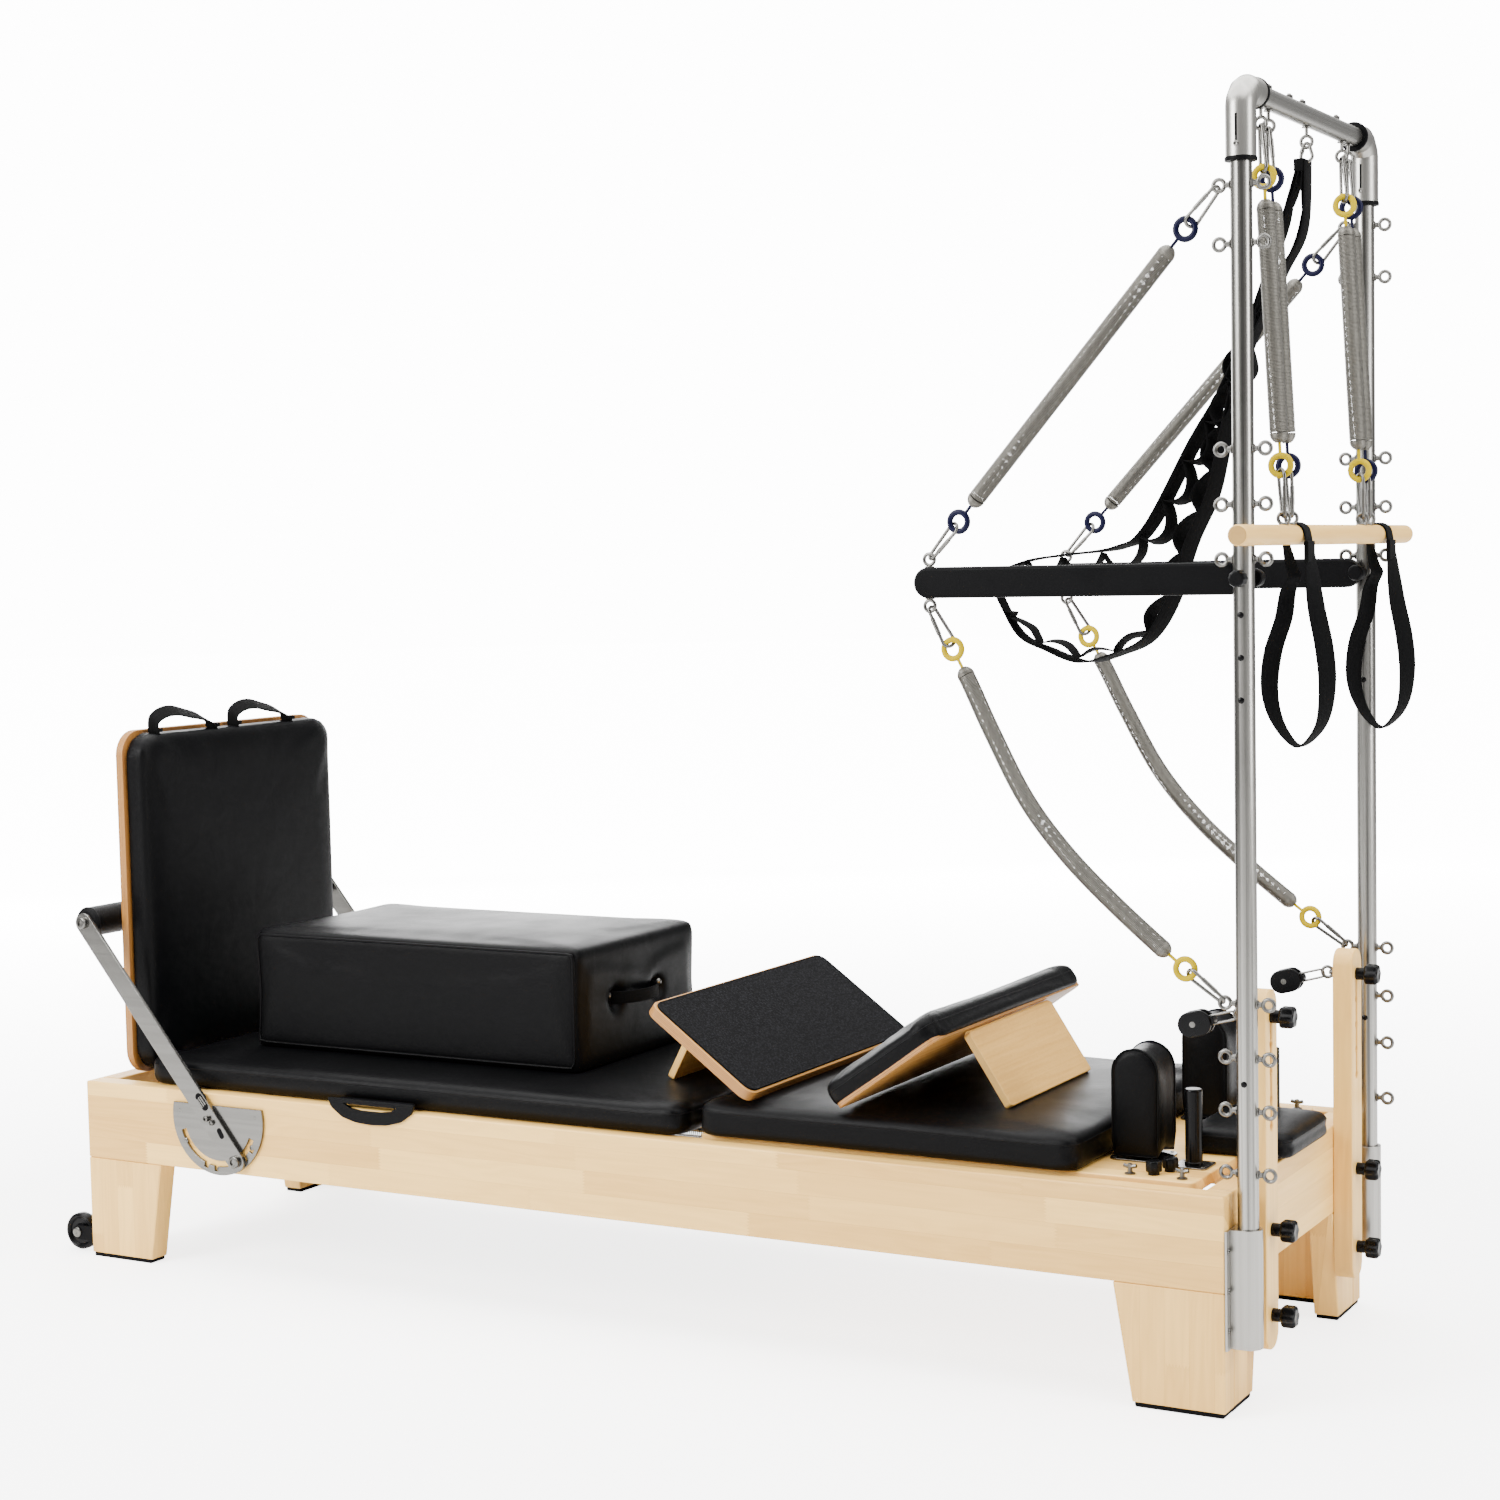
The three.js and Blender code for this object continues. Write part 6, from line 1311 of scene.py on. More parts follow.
def build_boards():
    """Tilt board, incline board and jumpboard."""
    place = tilted(TILT_FOOT, TILT_ANGLE, -1)
    loop = rounded(0, BOARD_LENGTH, -325, 325, 22)
    board = plate(Form(), [loop], 20, 2.0, place @ Matrix.Translation(Z * 10))
    put("tilt_board", board, "tilt", "tilt_ply", ["tilt_board"])
    skin = plate(Form(), [rounded(5, 248, -320, 320, 20)], 4.5, 1.2, place @ Matrix.Translation(Z * 20.75))
    put("tilt_board_grip", skin, "tilt", "grip")
    edge = [place @ Vector((x, y, 22.4)) for x, y in rounded(6.2, 246.8, -318.8, 318.8, 19)]
    put("tilt_board_binding", swept(Form(), edge, 1.4, 8, True), "tilt", "rubber", polish=False)
    place = tilted(INCLINE_FOOT, INCLINE_ANGLE, 1) @ Matrix.Translation(Z * 4.9)
    base = plate(Form(), [rounded(9, 244, -326, 326, 24)], 9, 1.0, place)
    put("incline_board", base, "incline", "incline_ply")
    leg_panel("tilt_board_leg", "tilt_leg", TILT_FOOT, -1, TILT_ANGLE, TILT_LEAN, MAT_TOP, 300,
              "tilt_panel_ply")
    leg_panel("incline_leg", "incline_prop", INCLINE_FOOT, 1, INCLINE_ANGLE, INCLINE_LEAN, CARRIAGE_TOP, 363,
              "incline_panel_ply")
    jump = plate(Form(), [rounded(*JUMP_Y, *JUMP_Z, 50, 12)], 18, 2.0, plane_yz(JUMP_X))
    plate(jump, [rounded(-120, 120, 300, 372, 4)], 18, 1.5, plane_yz(JUMP_X))
    put("jumpboard", jump, "jump", "jump_ply", ["jumpboard"])


# ---------------------------------------------------------------- foot bar

def cam_outline():
    """The half-round plate of the foot bar, and its notched slot as a second outline."""
    rise = math.asin(25 / CAM_RADIUS)
    whole = math.pi + 2 * rise
    low, middle, high = CAM_SLOT

    def spot(share, radius):
        """A place at a share of the way round the plate."""
        turn = rise - (1 - share) * whole
        return (CAM_MIDDLE[0] + radius * math.cos(turn), CAM_MIDDLE[1] + radius * math.sin(turn))
    rim = [spot(i / 72, CAM_RADIUS) for i in range(73)]
    notches = (0.412, 0.482, 0.70, 0.772)
    marks = [0.15 + 0.68 * i / 200 for i in range(201)]
    outer = [spot(mark, high if any(abs(mark - notch) * whole * middle < 5 for notch in notches) else middle)
             for mark in marks]
    return rim, outer + [spot(s, low) for s in reversed(marks)]


def build_footbar():
    """Notched plates, arms with their fittings, and the padded roll."""
    for side, sign in SIDES:
        name = f"{side}_cam_plate"
        form = plate(Form(), cam_outline(), 6, 0.8, plane_xz(sign * 376.3))
        put(name, form, "base", "steel_X", [name])
        name = f"{side}_footbar_arm"
        put(name, footbar_arm(sign), "footbar", ["steel_X", "chrome", "satin_black"], [name])
    head = [(0, 5.5), (1.2, 5.5), (2.4, 4.2), (2.6, 2.6), (1.5, 2.4), (1.4, 0.2)]
    places = [((x, sign * 376.8, z), Y * sign) for sign in (-1, 1)
              for x, z in ((-950, 322), (-760, 322), (-855, 212), (-938, 262), (-772, 262))]
    screw = turned(Form(), (0, 0, 0), Z, head, 24)
    scattered("cam_plate_screws", screw, places, "base", "chrome")
    profile = [(0, 20), (1.5, 26), (5, 29), (10, 30), (378, 30.2), (748.6, 30), (753.6, 29), (757.1, 26),
               (758.6, 20)]
    roll = turned(Form(), (ROLL[0], -379.3, ROLL[1]), Y, profile, 64)
    put("footbar_roll", roll, "footbar", "leather_fine", ["footbar_roll"])
    caps = Form()
    for sign in (-1, 1):
        ring(caps, (ROLL[0], sign * 371, ROLL[1]), Y, 29.6, 1.2, 48, 8)
    put("footbar_roll_seams", caps, "footbar", "leather", polish=False)


def footbar_arm(sign):
    """A flat arm with its three bolts, its stop and its finger slot."""
    form = plate(Form(), [stadium(ROLL, ARM_END, 20, 24)], 8, 1.0, plane_xz(sign * ARM_Y))
    face, out = sign * ARM_FACE, Y * sign
    cap = [(0, 12), (6.5, 12), (8, 11), (8.5, 9.6), (8.6, 7), (5.5, 6.6), (5.3, 0.4)]
    for (x, z), size in ((ARM_BOLT, 0.5), (ARM_END, 1.0), (ROLL, 1.0)):
        turned(form, (x, face, z), out, [(depth, r * size) for depth, r in cap], 36, look=1)
    turned(form, (-861, face, 306), out, [(0, 5.5), (5, 5.5), (6, 4.5), (4, 3), (4, 0.3)], 6, look=1)
    for a, b, radius in (((-844, 291), (-838, 281), 5.5), ((-893, 354), (-878, 336), 8)):
        plate(form, [stadium(a, b, radius)], 1.2, 0.3, plane_xz(sign * 387.7), 2)
    for shift in (-5, 0, 5):
        along, up = shift * 0.77, shift * 0.64
        loop = stadium((-892 + along, 352 + up), (-880 + along, 338 + up), 1.5, 6)
        plate(form, [loop], 2.4, 0.5, plane_xz(sign * 388.2))
    return form


# ---------------------------------------------------------------- tower

def eye_bolt(reach, wire=3.0, radius=9.5, washer=True):
    """A ring on a threaded shank; its Z runs from the tube out to the ring."""
    form = Form()
    ring(form, (0, 0, reach), Y, radius, wire, 32, 10)
    inside = reach - radius
    turned(form, (0, 0, 0), Z, [(0, wire), (inside - wire * 0.4, wire), (inside, wire * 0.8)], 16)
    if washer:
        turned(form, (0, 0, 0.4), Z, [(0, 7.4), (0.6, 8.0), (1.8, 8.0), (2.3, 7.4)], 28)
    return form


def hexagon_nut():
    """A nut with the end of its bolt."""
    radius, height = 6.6, 5.5
    nut = [(0, radius * 0.92), (0.7, radius), (height - 0.7, radius), (height, radius * 0.9)]
    form = turned(Form(), (0, 0, 0), Z, nut, 6)
    bolt = [(0, radius * 0.5), (2.2, radius * 0.5), (2.8, radius * 0.36)]
    return turned(form, (0, 0, height - 0.2), Z, bolt, 20)


def build_tower():
    """Posts, brackets, elbows, crossbar and eye bolts."""
    washer = turned(Form(), (0, 0, 0), Z,
                    [(0, 6.4), (0.8, 7.2), (2.2, 7.2), (2.8, 6.2), (3, 4.6), (8.4, 4.6), (9, 3.8)], 24)
    plug = turned(Form(), (0, 0, 0), Z, [(0, 5), (0.8, 5), (1.6, 4.2), (1.9, 2), (1.9, 0.2)], 24)
    post_eye = eye_bolt(36 - TUBE + 0.6, 3.3, 9.3, washer=False)
    for side, sign in SIDES:
        y = sign * POST_Y
        name = f"{side}_tower_post"
        tube = [(0, 16.4), (0.6, TUBE), (1966, TUBE), (1969.2, 16.4)]
        put(name, turned(Form(), (POST_X, y, 117.3), Z, tube, 72), "base", "post_steel", [name])
        places = [((POST_X + way * (TUBE - 0.6), y, z), X * way) for z in EYE_HEIGHTS for way in (-1, 1)]
        scattered(f"{side}_post_eyes", post_eye, places, "base", "chrome")
        scattered(f"{side}_post_washers", washer, places, "base", "chrome")
        places = [((POST_X, y - TUBE + 0.3, z), -Y) for z in PLUG_HEIGHTS]
        scattered(f"{side}_post_plugs", plug, places, "base", "gloss_black")
        build_bracket(side, y)
        build_elbow(side, sign, y)
    form = turned(Form(), (POST_X, -314, CROSSBAR_Z), Y, [(0, TUBE), (628, TUBE)], 72)
    put("tower_crossbar", form, "base", "crossbar_steel", ["tower_crossbar"])
    low, high = CROSSBAR_Z - TUBE, CROSSBAR_Z + TUBE
    eyes = [((POST_X, y, low + 0.6), -Z) for y in (*HANGING_Y[:2], 0, *HANGING_Y[2:])]
    scattered("crossbar_eyes", eye_bolt(low - EYE_Z + 0.6), eyes, "base", "chrome")
    nuts = [((POST_X, y, high - 0.8), Z) for y in (-199, -92, -24, 165)]
    scattered("crossbar_nuts", hexagon_nut(), nuts, "base", "chrome")


def build_bracket(side, y):
    """The extruded bracket that holds a post on the head end."""
    form = slab(Form(), (1200.3, 1204.3), (y - 39, y + 39), (111, 305), 0.8)
    slab(form, (1203, 1227), (y - 22.2, y + 22.2), (111.4, 304.4), 1.2)
    outer = arc((POST_X, y), 23, -90, 90, 28) + [(POST_X - 22, y + 23), (POST_X - 22, y - 23)]
    bore = list(reversed(arc((POST_X, y), 17.5, 0, 360, 48)[:-1]))
    plate(form, [outer, bore], 188, 0.7, plane_xy(211))
    plate(form, [shrunk(outer, 0.97)], 6, 0.7, plane_xy(114.6))
    name = f"{side}_tower_bracket"
    put(name, form, "base", "aluminium_Z", [name])
    head = [(0, 4.6), (1.6, 4.6), (2.8, 3.6), (3.0, 2.2), (1.8, 2.0), (1.7, 0.2)]
    places = [((1204.2, y + edge * 32, z), X) for edge in (-1, 1) for z in (143.3, 208, 272.7)]
    screw = turned(Form(), (0, 0, 0), Z, head, 24)
    scattered(f"{side}_bracket_screws", screw, places, "base", "chrome")


def build_elbow(side, sign, y):
    """The sleeve that turns a post into the crossbar, with its seals, a dark strip of painted shade for its
    slot, and its screws.
    """
    inward = -sign
    base, mouth, bend, soft = CROSSBAR_Z - 106, y + inward * 62, 22, 5
    line = [(POST_X, y, base), (POST_X, y, CROSSBAR_Z - bend - soft),
            (POST_X, y + inward * soft * 0.7, CROSSBAR_Z - bend + soft * 0.7),
            (POST_X, y + inward * (bend - soft * 0.7), CROSSBAR_Z - soft * 0.7),
            (POST_X, y + inward * (bend + soft), CROSSBAR_Z), (POST_X, mouth, CROSSBAR_Z)]
    name = f"{side}_tower_elbow"
    put(name, swept(Form(), line, 24, 64), "base", "aluminium_Z", [name])
    seal = [(0, 23), (0.5, 25), (1.5, 25.5), (5.5, 25.5), (6.6, 25), (7, 23)]
    seals = turned(Form(), (POST_X, y, base - 7), Z, seal, 56)
    turned(seals, (POST_X, mouth, CROSSBAR_Z), Y * inward, seal, 56)
    # a thin dark strip on the sleeve's face: painted shade standing in for its slot
    slab(seals, (POST_X - 1.8, POST_X + 1.8), (y - 24.3, y - 23.4), (CROSSBAR_Z - 84, CROSSBAR_Z - 42), 0.3)
    put(f"{side}_elbow_seals", seals, "base", "seal_black")
    screws = turned(Form(), (POST_X, y - 23.2, CROSSBAR_Z - 88), -Y,
                    [(0, 4.4), (1.2, 4.4), (2.2, 3.2), (1.4, 2), (1.4, 0.2)], 24)
    turned(screws, (POST_X, y + inward * 50, CROSSBAR_Z - 23.4), -Z,
           [(0, 4.4), (1.2, 4.4), (2.0, 3.2), (1.2, 0.2)], 24)
    put(f"{side}_elbow_screws", screws, "base", "chrome")


# ---------------------------------------------------------------- risers and pulleys

def star_knob(start):
    """A six-lobed clamp knob on a round neck."""
    form = turned(Form(), start, X, [(0, 11), (12, 11), (16, 9.5)], 32)
    head = [(15, 13), (16, 16.4), (18.5, 18.6), (21, 19), (34, 19), (37, 18.2), (39.2, 16), (40, 12.5),
            (39.4, 8), (39, 0.5)]
    return turned(form, start, X, head, 72, lobes=6, depth=0.17)


def riser_slot(y):
    """A round seat at each station, with narrow necks between them."""
    lean = math.degrees(math.atan2(math.sqrt(SLOT_RADIUS ** 2 - SLOT_NECK ** 2), SLOT_NECK))
    top, bottom = SLOT_HEIGHTS[0], SLOT_HEIGHTS[-1]
    slot = []
    for z in SLOT_HEIGHTS:
        slot += arc((y, z), SLOT_RADIUS, 90 if z == top else lean, -90 if z == bottom else -lean, 10)
    for z in reversed(SLOT_HEIGHTS):
        start, end = 270 if z == bottom else 180 + lean, 90 if z == top else 180 - lean
        slot += arc((y, z), SLOT_RADIUS, start, end, 10)
    return slot


def build_risers():
    """Slotted wooden risers with their knobs and pulleys."""
    height = SLOT_HEIGHTS[0]
    for side, sign in SIDES:
        y = sign * RISER_Y
        name = f"{side}_riser"
        loops = [rounded(y - 30, y + 30, 84, 676, 28, 12), riser_slot(y)]
        form = plate(Form(), loops, 35, 2.2, plane_yz(RISER_X))
        put(name, form, "base", "riser_wood", [name])
        for level, z in (("upper", 282), ("lower", 141)):
            name = f"{side}_riser_{level}_knob"
            knob = star_knob((RISER_KNOB_X, y, z))
            put(name, knob, f"{side}_{level}_turn", "gloss_black", [name])
        knob = star_knob((RISER_KNOB_X, y, height))
        pin(knob, (1186, y, height), X, 4, 66, 0.6, 24, look=1)
        ring(knob, (PULLEY_EYE_X, y, height), Y, 9.5, 3.0, 36, 10, look=1)
        name = f"{side}_pulley_knob"
        put(name, knob, f"{side}_eye", ["gloss_black", "chrome"], [name])
        build_pulley(side, y)


def build_pulley(side, y):
    """A pulley block that hangs from its eye: cheeks, sheave, axle and link."""
    turn = math.pi - math.radians(15)
    along = Vector((math.cos(turn), 0, -math.sin(math.radians(15))))
    place = frame_of((PULLEY_EYE_X, y, SLOT_HEIGHTS[0]), along, Z - along * along.z)
    cheeks, cheek = Form(), stadium((69, 0), (85, 0), 21, 20)
    for offset in (-8.75, 8.75):
        plate(cheeks, [cheek], 6.5, 1.8, place @ Matrix.Translation(Z * offset))
    plate(cheeks, [stadium((52, 0), (62, 0), 9, 12)], 18, 1.0, place)
    axis = (place.to_3x3() @ Z).normalized()
    middle = place @ Vector((80, 0, 0))
    turned(cheeks, middle - axis * 5, axis, [(0, 19.2), (1.5, 19.2), (5, 14.5), (8.5, 19.2), (10, 19.2)], 44)
    name = f"{side}_pulley_block"
    put(name, cheeks, f"{side}_pulley", "gloss_black", [name])
    bright = turned(Form(), middle - axis * 12.2, axis,
                    [(0, 4.6), (0.8, 6.4), (1.8, 6.8), (22.6, 6.8), (23.6, 6.4), (24.4, 4.6)], 36)
    swept(bright, [place @ Vector((*p, 0)) for p in stadium((14, 0), (50, 0), 7, 12)], 2.1, 12, True)
    put(f"{side}_pulley_axle", bright, f"{side}_pulley", "chrome")


# ---------------------------------------------------------------- push-through bar

def build_push_bar():
    """Padded arms, cross tube, pivots and eyes."""
    padded, steel = Form(), Form()
    knob = [(0, 9), (2, 12), (4, 14), (18, 14), (21, 12.6), (22, 9)]
    collar = [(0, 12), (2, 14), (18, 14), (22, 12), (23, 9)]
    for sign in (-1, 1):
        out, arm = Y * sign, stadium((PUSH_X + 1, PIVOT_Z), (POST_X - 26, PIVOT_Z), 26, 28)
        plate(padded, [arm], 28, 5.5, plane_xz(sign * PUSH_Y), segments=4)
        pin(steel, (POST_X, sign * 312, PIVOT_Z), out, 5, 42)
        turned(padded, (POST_X, sign * 351, PIVOT_Z), out, knob, 48, look=1, lobes=10, depth=0.06)
        turned(padded, (POST_X, sign * 286, PIVOT_Z), -out, collar, 48)
        pin(steel, (POST_X, sign * 313, PIVOT_Z), out, 9, 2.6, 0.6)
    turned(padded, (PUSH_X, -PUSH_Y, PIVOT_Z), Y, [(0, 14), (1, TUBE), (597, TUBE), (598, 14)], 56)
    obj = put("push_through_bar", padded, "push_bar", ["satin_black", "gloss_black"],
              ["push_through_bar"])
    put("push_bar_pins", steel, "push_bar", "chrome")
    places = [((PUSH_X, sign * PUSH_Y, PIVOT_Z + up * 25), Z * up) for sign in (-1, 1) for up in (-1, 1)]
    scattered("push_bar_eyes", eye_bolt(39 - 25), places, "push_bar", "chrome")


# ---------------------------------------------------------------- springs

def snap_hook(form, start, ahead, across, length=71):
    """A pear-shaped snap link of wire from its eye towards the spring."""
    ahead = Vector(ahead).normalized()
    place = frame_of(start, ahead, Vector(across) - ahead * ahead.dot(Vector(across)))
    near, far = 5.5 + SEAT - 4, length + SEAT - 10
    loop = arc((far, 0), 10, -83, 83, 14) + arc((near, 0), 5.5, 97, 263, 10)
    swept(form, [place @ Vector((*p, 0)) for p in loop], 3.0, 12, True)
    gate = [place @ Vector((near + (far - near) * t, -5.5 - 4.5 * t, 0)) for t in (0.22, 0.72)]
    return swept(form, gate, 3.8, 12)


def spring_end(line, fittings, rings, wound, colour):
    """Snap hook, coloured ring and stem, tapered last turns; gives where the even turns start."""
    spots = even_line(line, 1.0)
    start, ring_at = spots[0], SEAT + RING_REACH

    def spot(distance):
        """The place at a distance along the line."""
        return spots[min(len(spots) - 1, round(distance))]
    ahead = (spot(ring_at) - start).normalized()
    level = ahead.cross(Y).normalized()
    snap_hook(fittings, start, ahead, Y * 0.5 + level * 0.85 if abs(ahead.z) < 0.99 else Y * 0.7 - X * 0.7)
    ring(rings, spot(ring_at), Y, 16, 5.1, 44, 14, colour)
    swept(rings, [spot(d) for d in range(int(ring_at + 15), int(ring_at + 44), 4)], 2.8, 12, look=colour)
    turns_at = ring_at + 36
    ahead = (spot(turns_at + 14) - spot(turns_at)).normalized()
    profile = [(0, 3)]
    for k in range(7):
        reach = COIL_RADIUS * math.sqrt(1 - (1 - (k + 1) / 7.6) ** 2)
        profile += [(k * 2.2 + 0.2, reach - 0.7), (k * 2.2 + 0.7, reach), (k * 2.2 + 1.6, reach)]
    turned(wound, spot(turns_at), ahead, profile + [(15.8, 13), (16, 3)], 36)
    return int(turns_at + 15)


def hang_spring(name, line, colours):
    """The meshes of a whole spring between its two eyes."""
    fittings, rings, tapers = Form(), Form(), Form()
    first = spring_end(line, fittings, rings, tapers, colours[0])
    last = spring_end(list(reversed(line)), fittings, rings, tapers, colours[1])
    spots = even_line(line, 1.0)
    wound = coil(name, spots[first:len(spots) - last:4], COIL_RADIUS, COIL_WIRE, COIL_PITCH, 10)
    return [wound, finished(tapers.mesh(name + "_tapers"), "spring"),
            finished(fittings.mesh(name + "_ends"), "chrome"),
            finished(rings.mesh(name + "_rings"), ["ring_navy", "ring_yellow"])]


def drawn(first, last):
    """A straight line in forty steps."""
    first, last = Vector(first), Vector(last)
    return [first.lerp(last, k / 40) for k in range(41)]


def build_springs():
    """Push-bar springs, hanging springs and carriage springs."""
    for side, sign in SIDES:
        post = Vector((POST_X - 36, sign * POST_Y, 0))
        bar = Vector((PUSH_X, sign * PUSH_Y, 0))
        upper = drawn(post + Z * EYE_HEIGHTS[0], bar + Z * (PIVOT_Z + 39))
        low_start, low_end = bar + Z * (PIVOT_Z - 39), post + Z * EYE_HEIGHTS[5]
        across = low_end - low_start
        low = [low_start + Vector((across.x * a, across.y * a, across.z * d)) for a, d in SAG]
        lower = smooth_line([low_start, *low, low_end], 24)
        for name, line, colours, ends in (
            (f"{side}_upper_spring", upper, (0, 0), (upper[0], upper[-1])),
            (f"{side}_lower_spring", lower, (1, 1), (lower[-1], lower[0])),
        ):
            between(name, hang_spring(name, line, colours), "spring_steel", "base", "push_bar", *ends)
        name, meshes = f"{side}_hanging_spring", []
        places = list(zip(HANGING_Y, ((1, 1), (0, 0), (1, 1), (0, 0))))
        for y, colours in places[:2] if sign < 0 else places[:1:-1]:
            line = drawn((POST_X, y, EYE_Z), (BAR_X, y, BAR_Z + 26.5))
            meshes += hang_spring(name, line, colours)
        obj = linked(name, joined(name, meshes))
        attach(obj, "roll_down")
        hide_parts(name)
    rod = pin(Form(), (SPRING_BAR_X, -327, CARRIAGE_SPRING_Z), Y, 8, 654, 1.2, 40)
    put("spring_bar", rod, "base", "steel_Y")
    meshes, z = [], CARRIAGE_SPRING_Z
    for y in CARRIAGE_SPRING_Y:
        meshes.append(coil(f"carriage_spring_{y}", drawn((-1020, y, z), (205, y, z)), 12, 1.4, 4.4, 8))
        hooks = Form()
        for x, way in ((SPRING_BAR_X, 1), (227, -1)):
            ring(hooks, (x + way * 2, y, z), Y, 9.6, 2.0, 28, 8)
            turned(hooks, (x + way * 11, y, z), X * way, [(0, 3), (5, 6), (10, 10.5), (13, 10.5)], 24)
        meshes.append(finished(hooks.mesh("carriage_spring_hooks"), "chrome"))
    between("carriage_springs", meshes, "spring_steel", "base", "carriage", (-1020, 0, z), (215, 0, z))


# ---------------------------------------------------------------- roll-down bar and straps

def between_ends(share, least=0.0):
    """A share that stays within its ends."""
    return min(1, max(least, share))


def build_roll_down(bed):
    """Wooden bar, its eyes, and the two sewn strap loops over it."""
    profile = [(0.5, 12), (1, 14.6), (3.5, 16.5), (922.5, 16.5), (925, 14.6), (925.5, 12)]
    bar = turned(Form(), (BAR_X, -BAR_HALF, BAR_Z), Y, profile, 64)
    for way in (1, -1):
        turned(bar, (BAR_X, -BAR_HALF * way, BAR_Z), Y * way, [(0, 13.2), (0.8, 14.5), (2.5, 9)], 64, look=1)
    put("roll_down_bar", bar, "roll_down", ["bar_wood", "bar_end"], ["roll_down_bar"])
    places = [((BAR_X, y, BAR_Z + 15.5), Z) for y in HANGING_Y]
    scattered("roll_down_eyes", eye_bolt(11), places, "roll_down", "chrome")
    for side, y in (("near", -173.0), ("far", 297.0)):
        name, body = f"{side}_strap_loop", f"{side}_loop"
        knots = [(BAR_X + a * 50, y, BAR_Z - d * 338) for a, d in LOOP_OUTER + LOOP_INNER]
        knots += round_bar(POST_X, y, PIVOT_Z, 30.5, (-50, 0, 35))
        knots += round_bar(BAR_X, y, BAR_Z, 19, (180, 135, 90, 45, 0))
        line = smooth_line(knots, 6, True)
        twist = []
        for point in line:
            share = between_ends((BAR_Z - 20 - point.z) / 318)
            lean = bed.loop_twist * math.sin(math.pi * share) ** 0.8
            twist.append((math.sin(lean), math.cos(lean), 0))
        put(name, ribbon(Form(), line, twist, 34, 3.5, closed=True), body, "webbing", [name])
        collar = slab(Form(), (BAR_X + 18, BAR_X + 25.5), (y - 18.5, y + 18.5), (BAR_Z - 44, BAR_Z - 10), 1.5)
        put(f"{side}_loop_collar", collar, body, "webbing")
        stitches(f"{side}_loop_stitches", [(BAR_X + 26.2, y + k, BAR_Z - 38) for k in (-14, 14)], body)


def build_ladder_strap(bed):
    """The looped strap from the crossbar down round the push-through bar and back."""
    top, bar = EYE_Z - SEAT - 24, Vector((PUSH_X, 0, PIVOT_Z))

    def spot(across, up):
        """A place at shares of the strap's reach and height."""
        return Vector((POST_X - across * (POST_X - PUSH_X), 0, PIVOT_Z + up * (top - PIVOT_Z)))
    knots = [spot(*p) for p in STRAP_OUT] + round_bar(*bar, 19.5, (70, 110, 150, 190, 230))
    line = even_line(smooth_line(knots + [spot(*p) for p in STRAP_BACK], 10), 4.0)
    lay, wide, travelled, near = [], [], 0.0, 60
    for i, point in enumerate(line):
        if i:
            travelled += (point - line[i - 1]).length
        along = (line[min(i + 1, len(line) - 1)] - line[max(i - 1, 0)]).normalized()
        out = along.cross(Y).normalized()
        from_bar = (point - bar).length
        share = abs(math.sin(math.pi * travelled / bed.ladder_pitch)) ** 0.7
        share *= between_ends((1800 - point.z) / 90, 0.12)
        lean = bed.ladder_lean * between_ends((from_bar - near) / 160)
        lean *= between_ends((1780 - point.z) / 140, 0.1)
        level = Vector((math.sin(lean), math.cos(lean), 0))
        wide.append((level - along * along.dot(level)).normalized())
        lift, droop = (2.6, 0) if from_bar < near else (2.4 + bed.ladder_bulge * share, 9 * share)
        lay.append(point + out * lift - Z * droop)
    form = ribbon(Form(), line, wide, 32, 3)
    ribbon(form, lay, wide, 30, 2.2)
    slab(form, (line[0].x - 9, line[0].x + 9), (-15.8, 15.8), (top - 18, top + 3), 2)
    link = snap_hook(Form(), Vector((POST_X, 0, EYE_Z)), -Z, X, 26)
    meshes = [finished(form.mesh("ladder_strap"), "webbing"), finished(link.mesh("ladder_link"), "chrome")]
    between("ladder_strap", meshes, "webbing", "base", "push_bar",
            (POST_X - 60, 0, top), (PUSH_X + 20, 0, PIVOT_Z))


# ---------------------------------------------------------------- stage

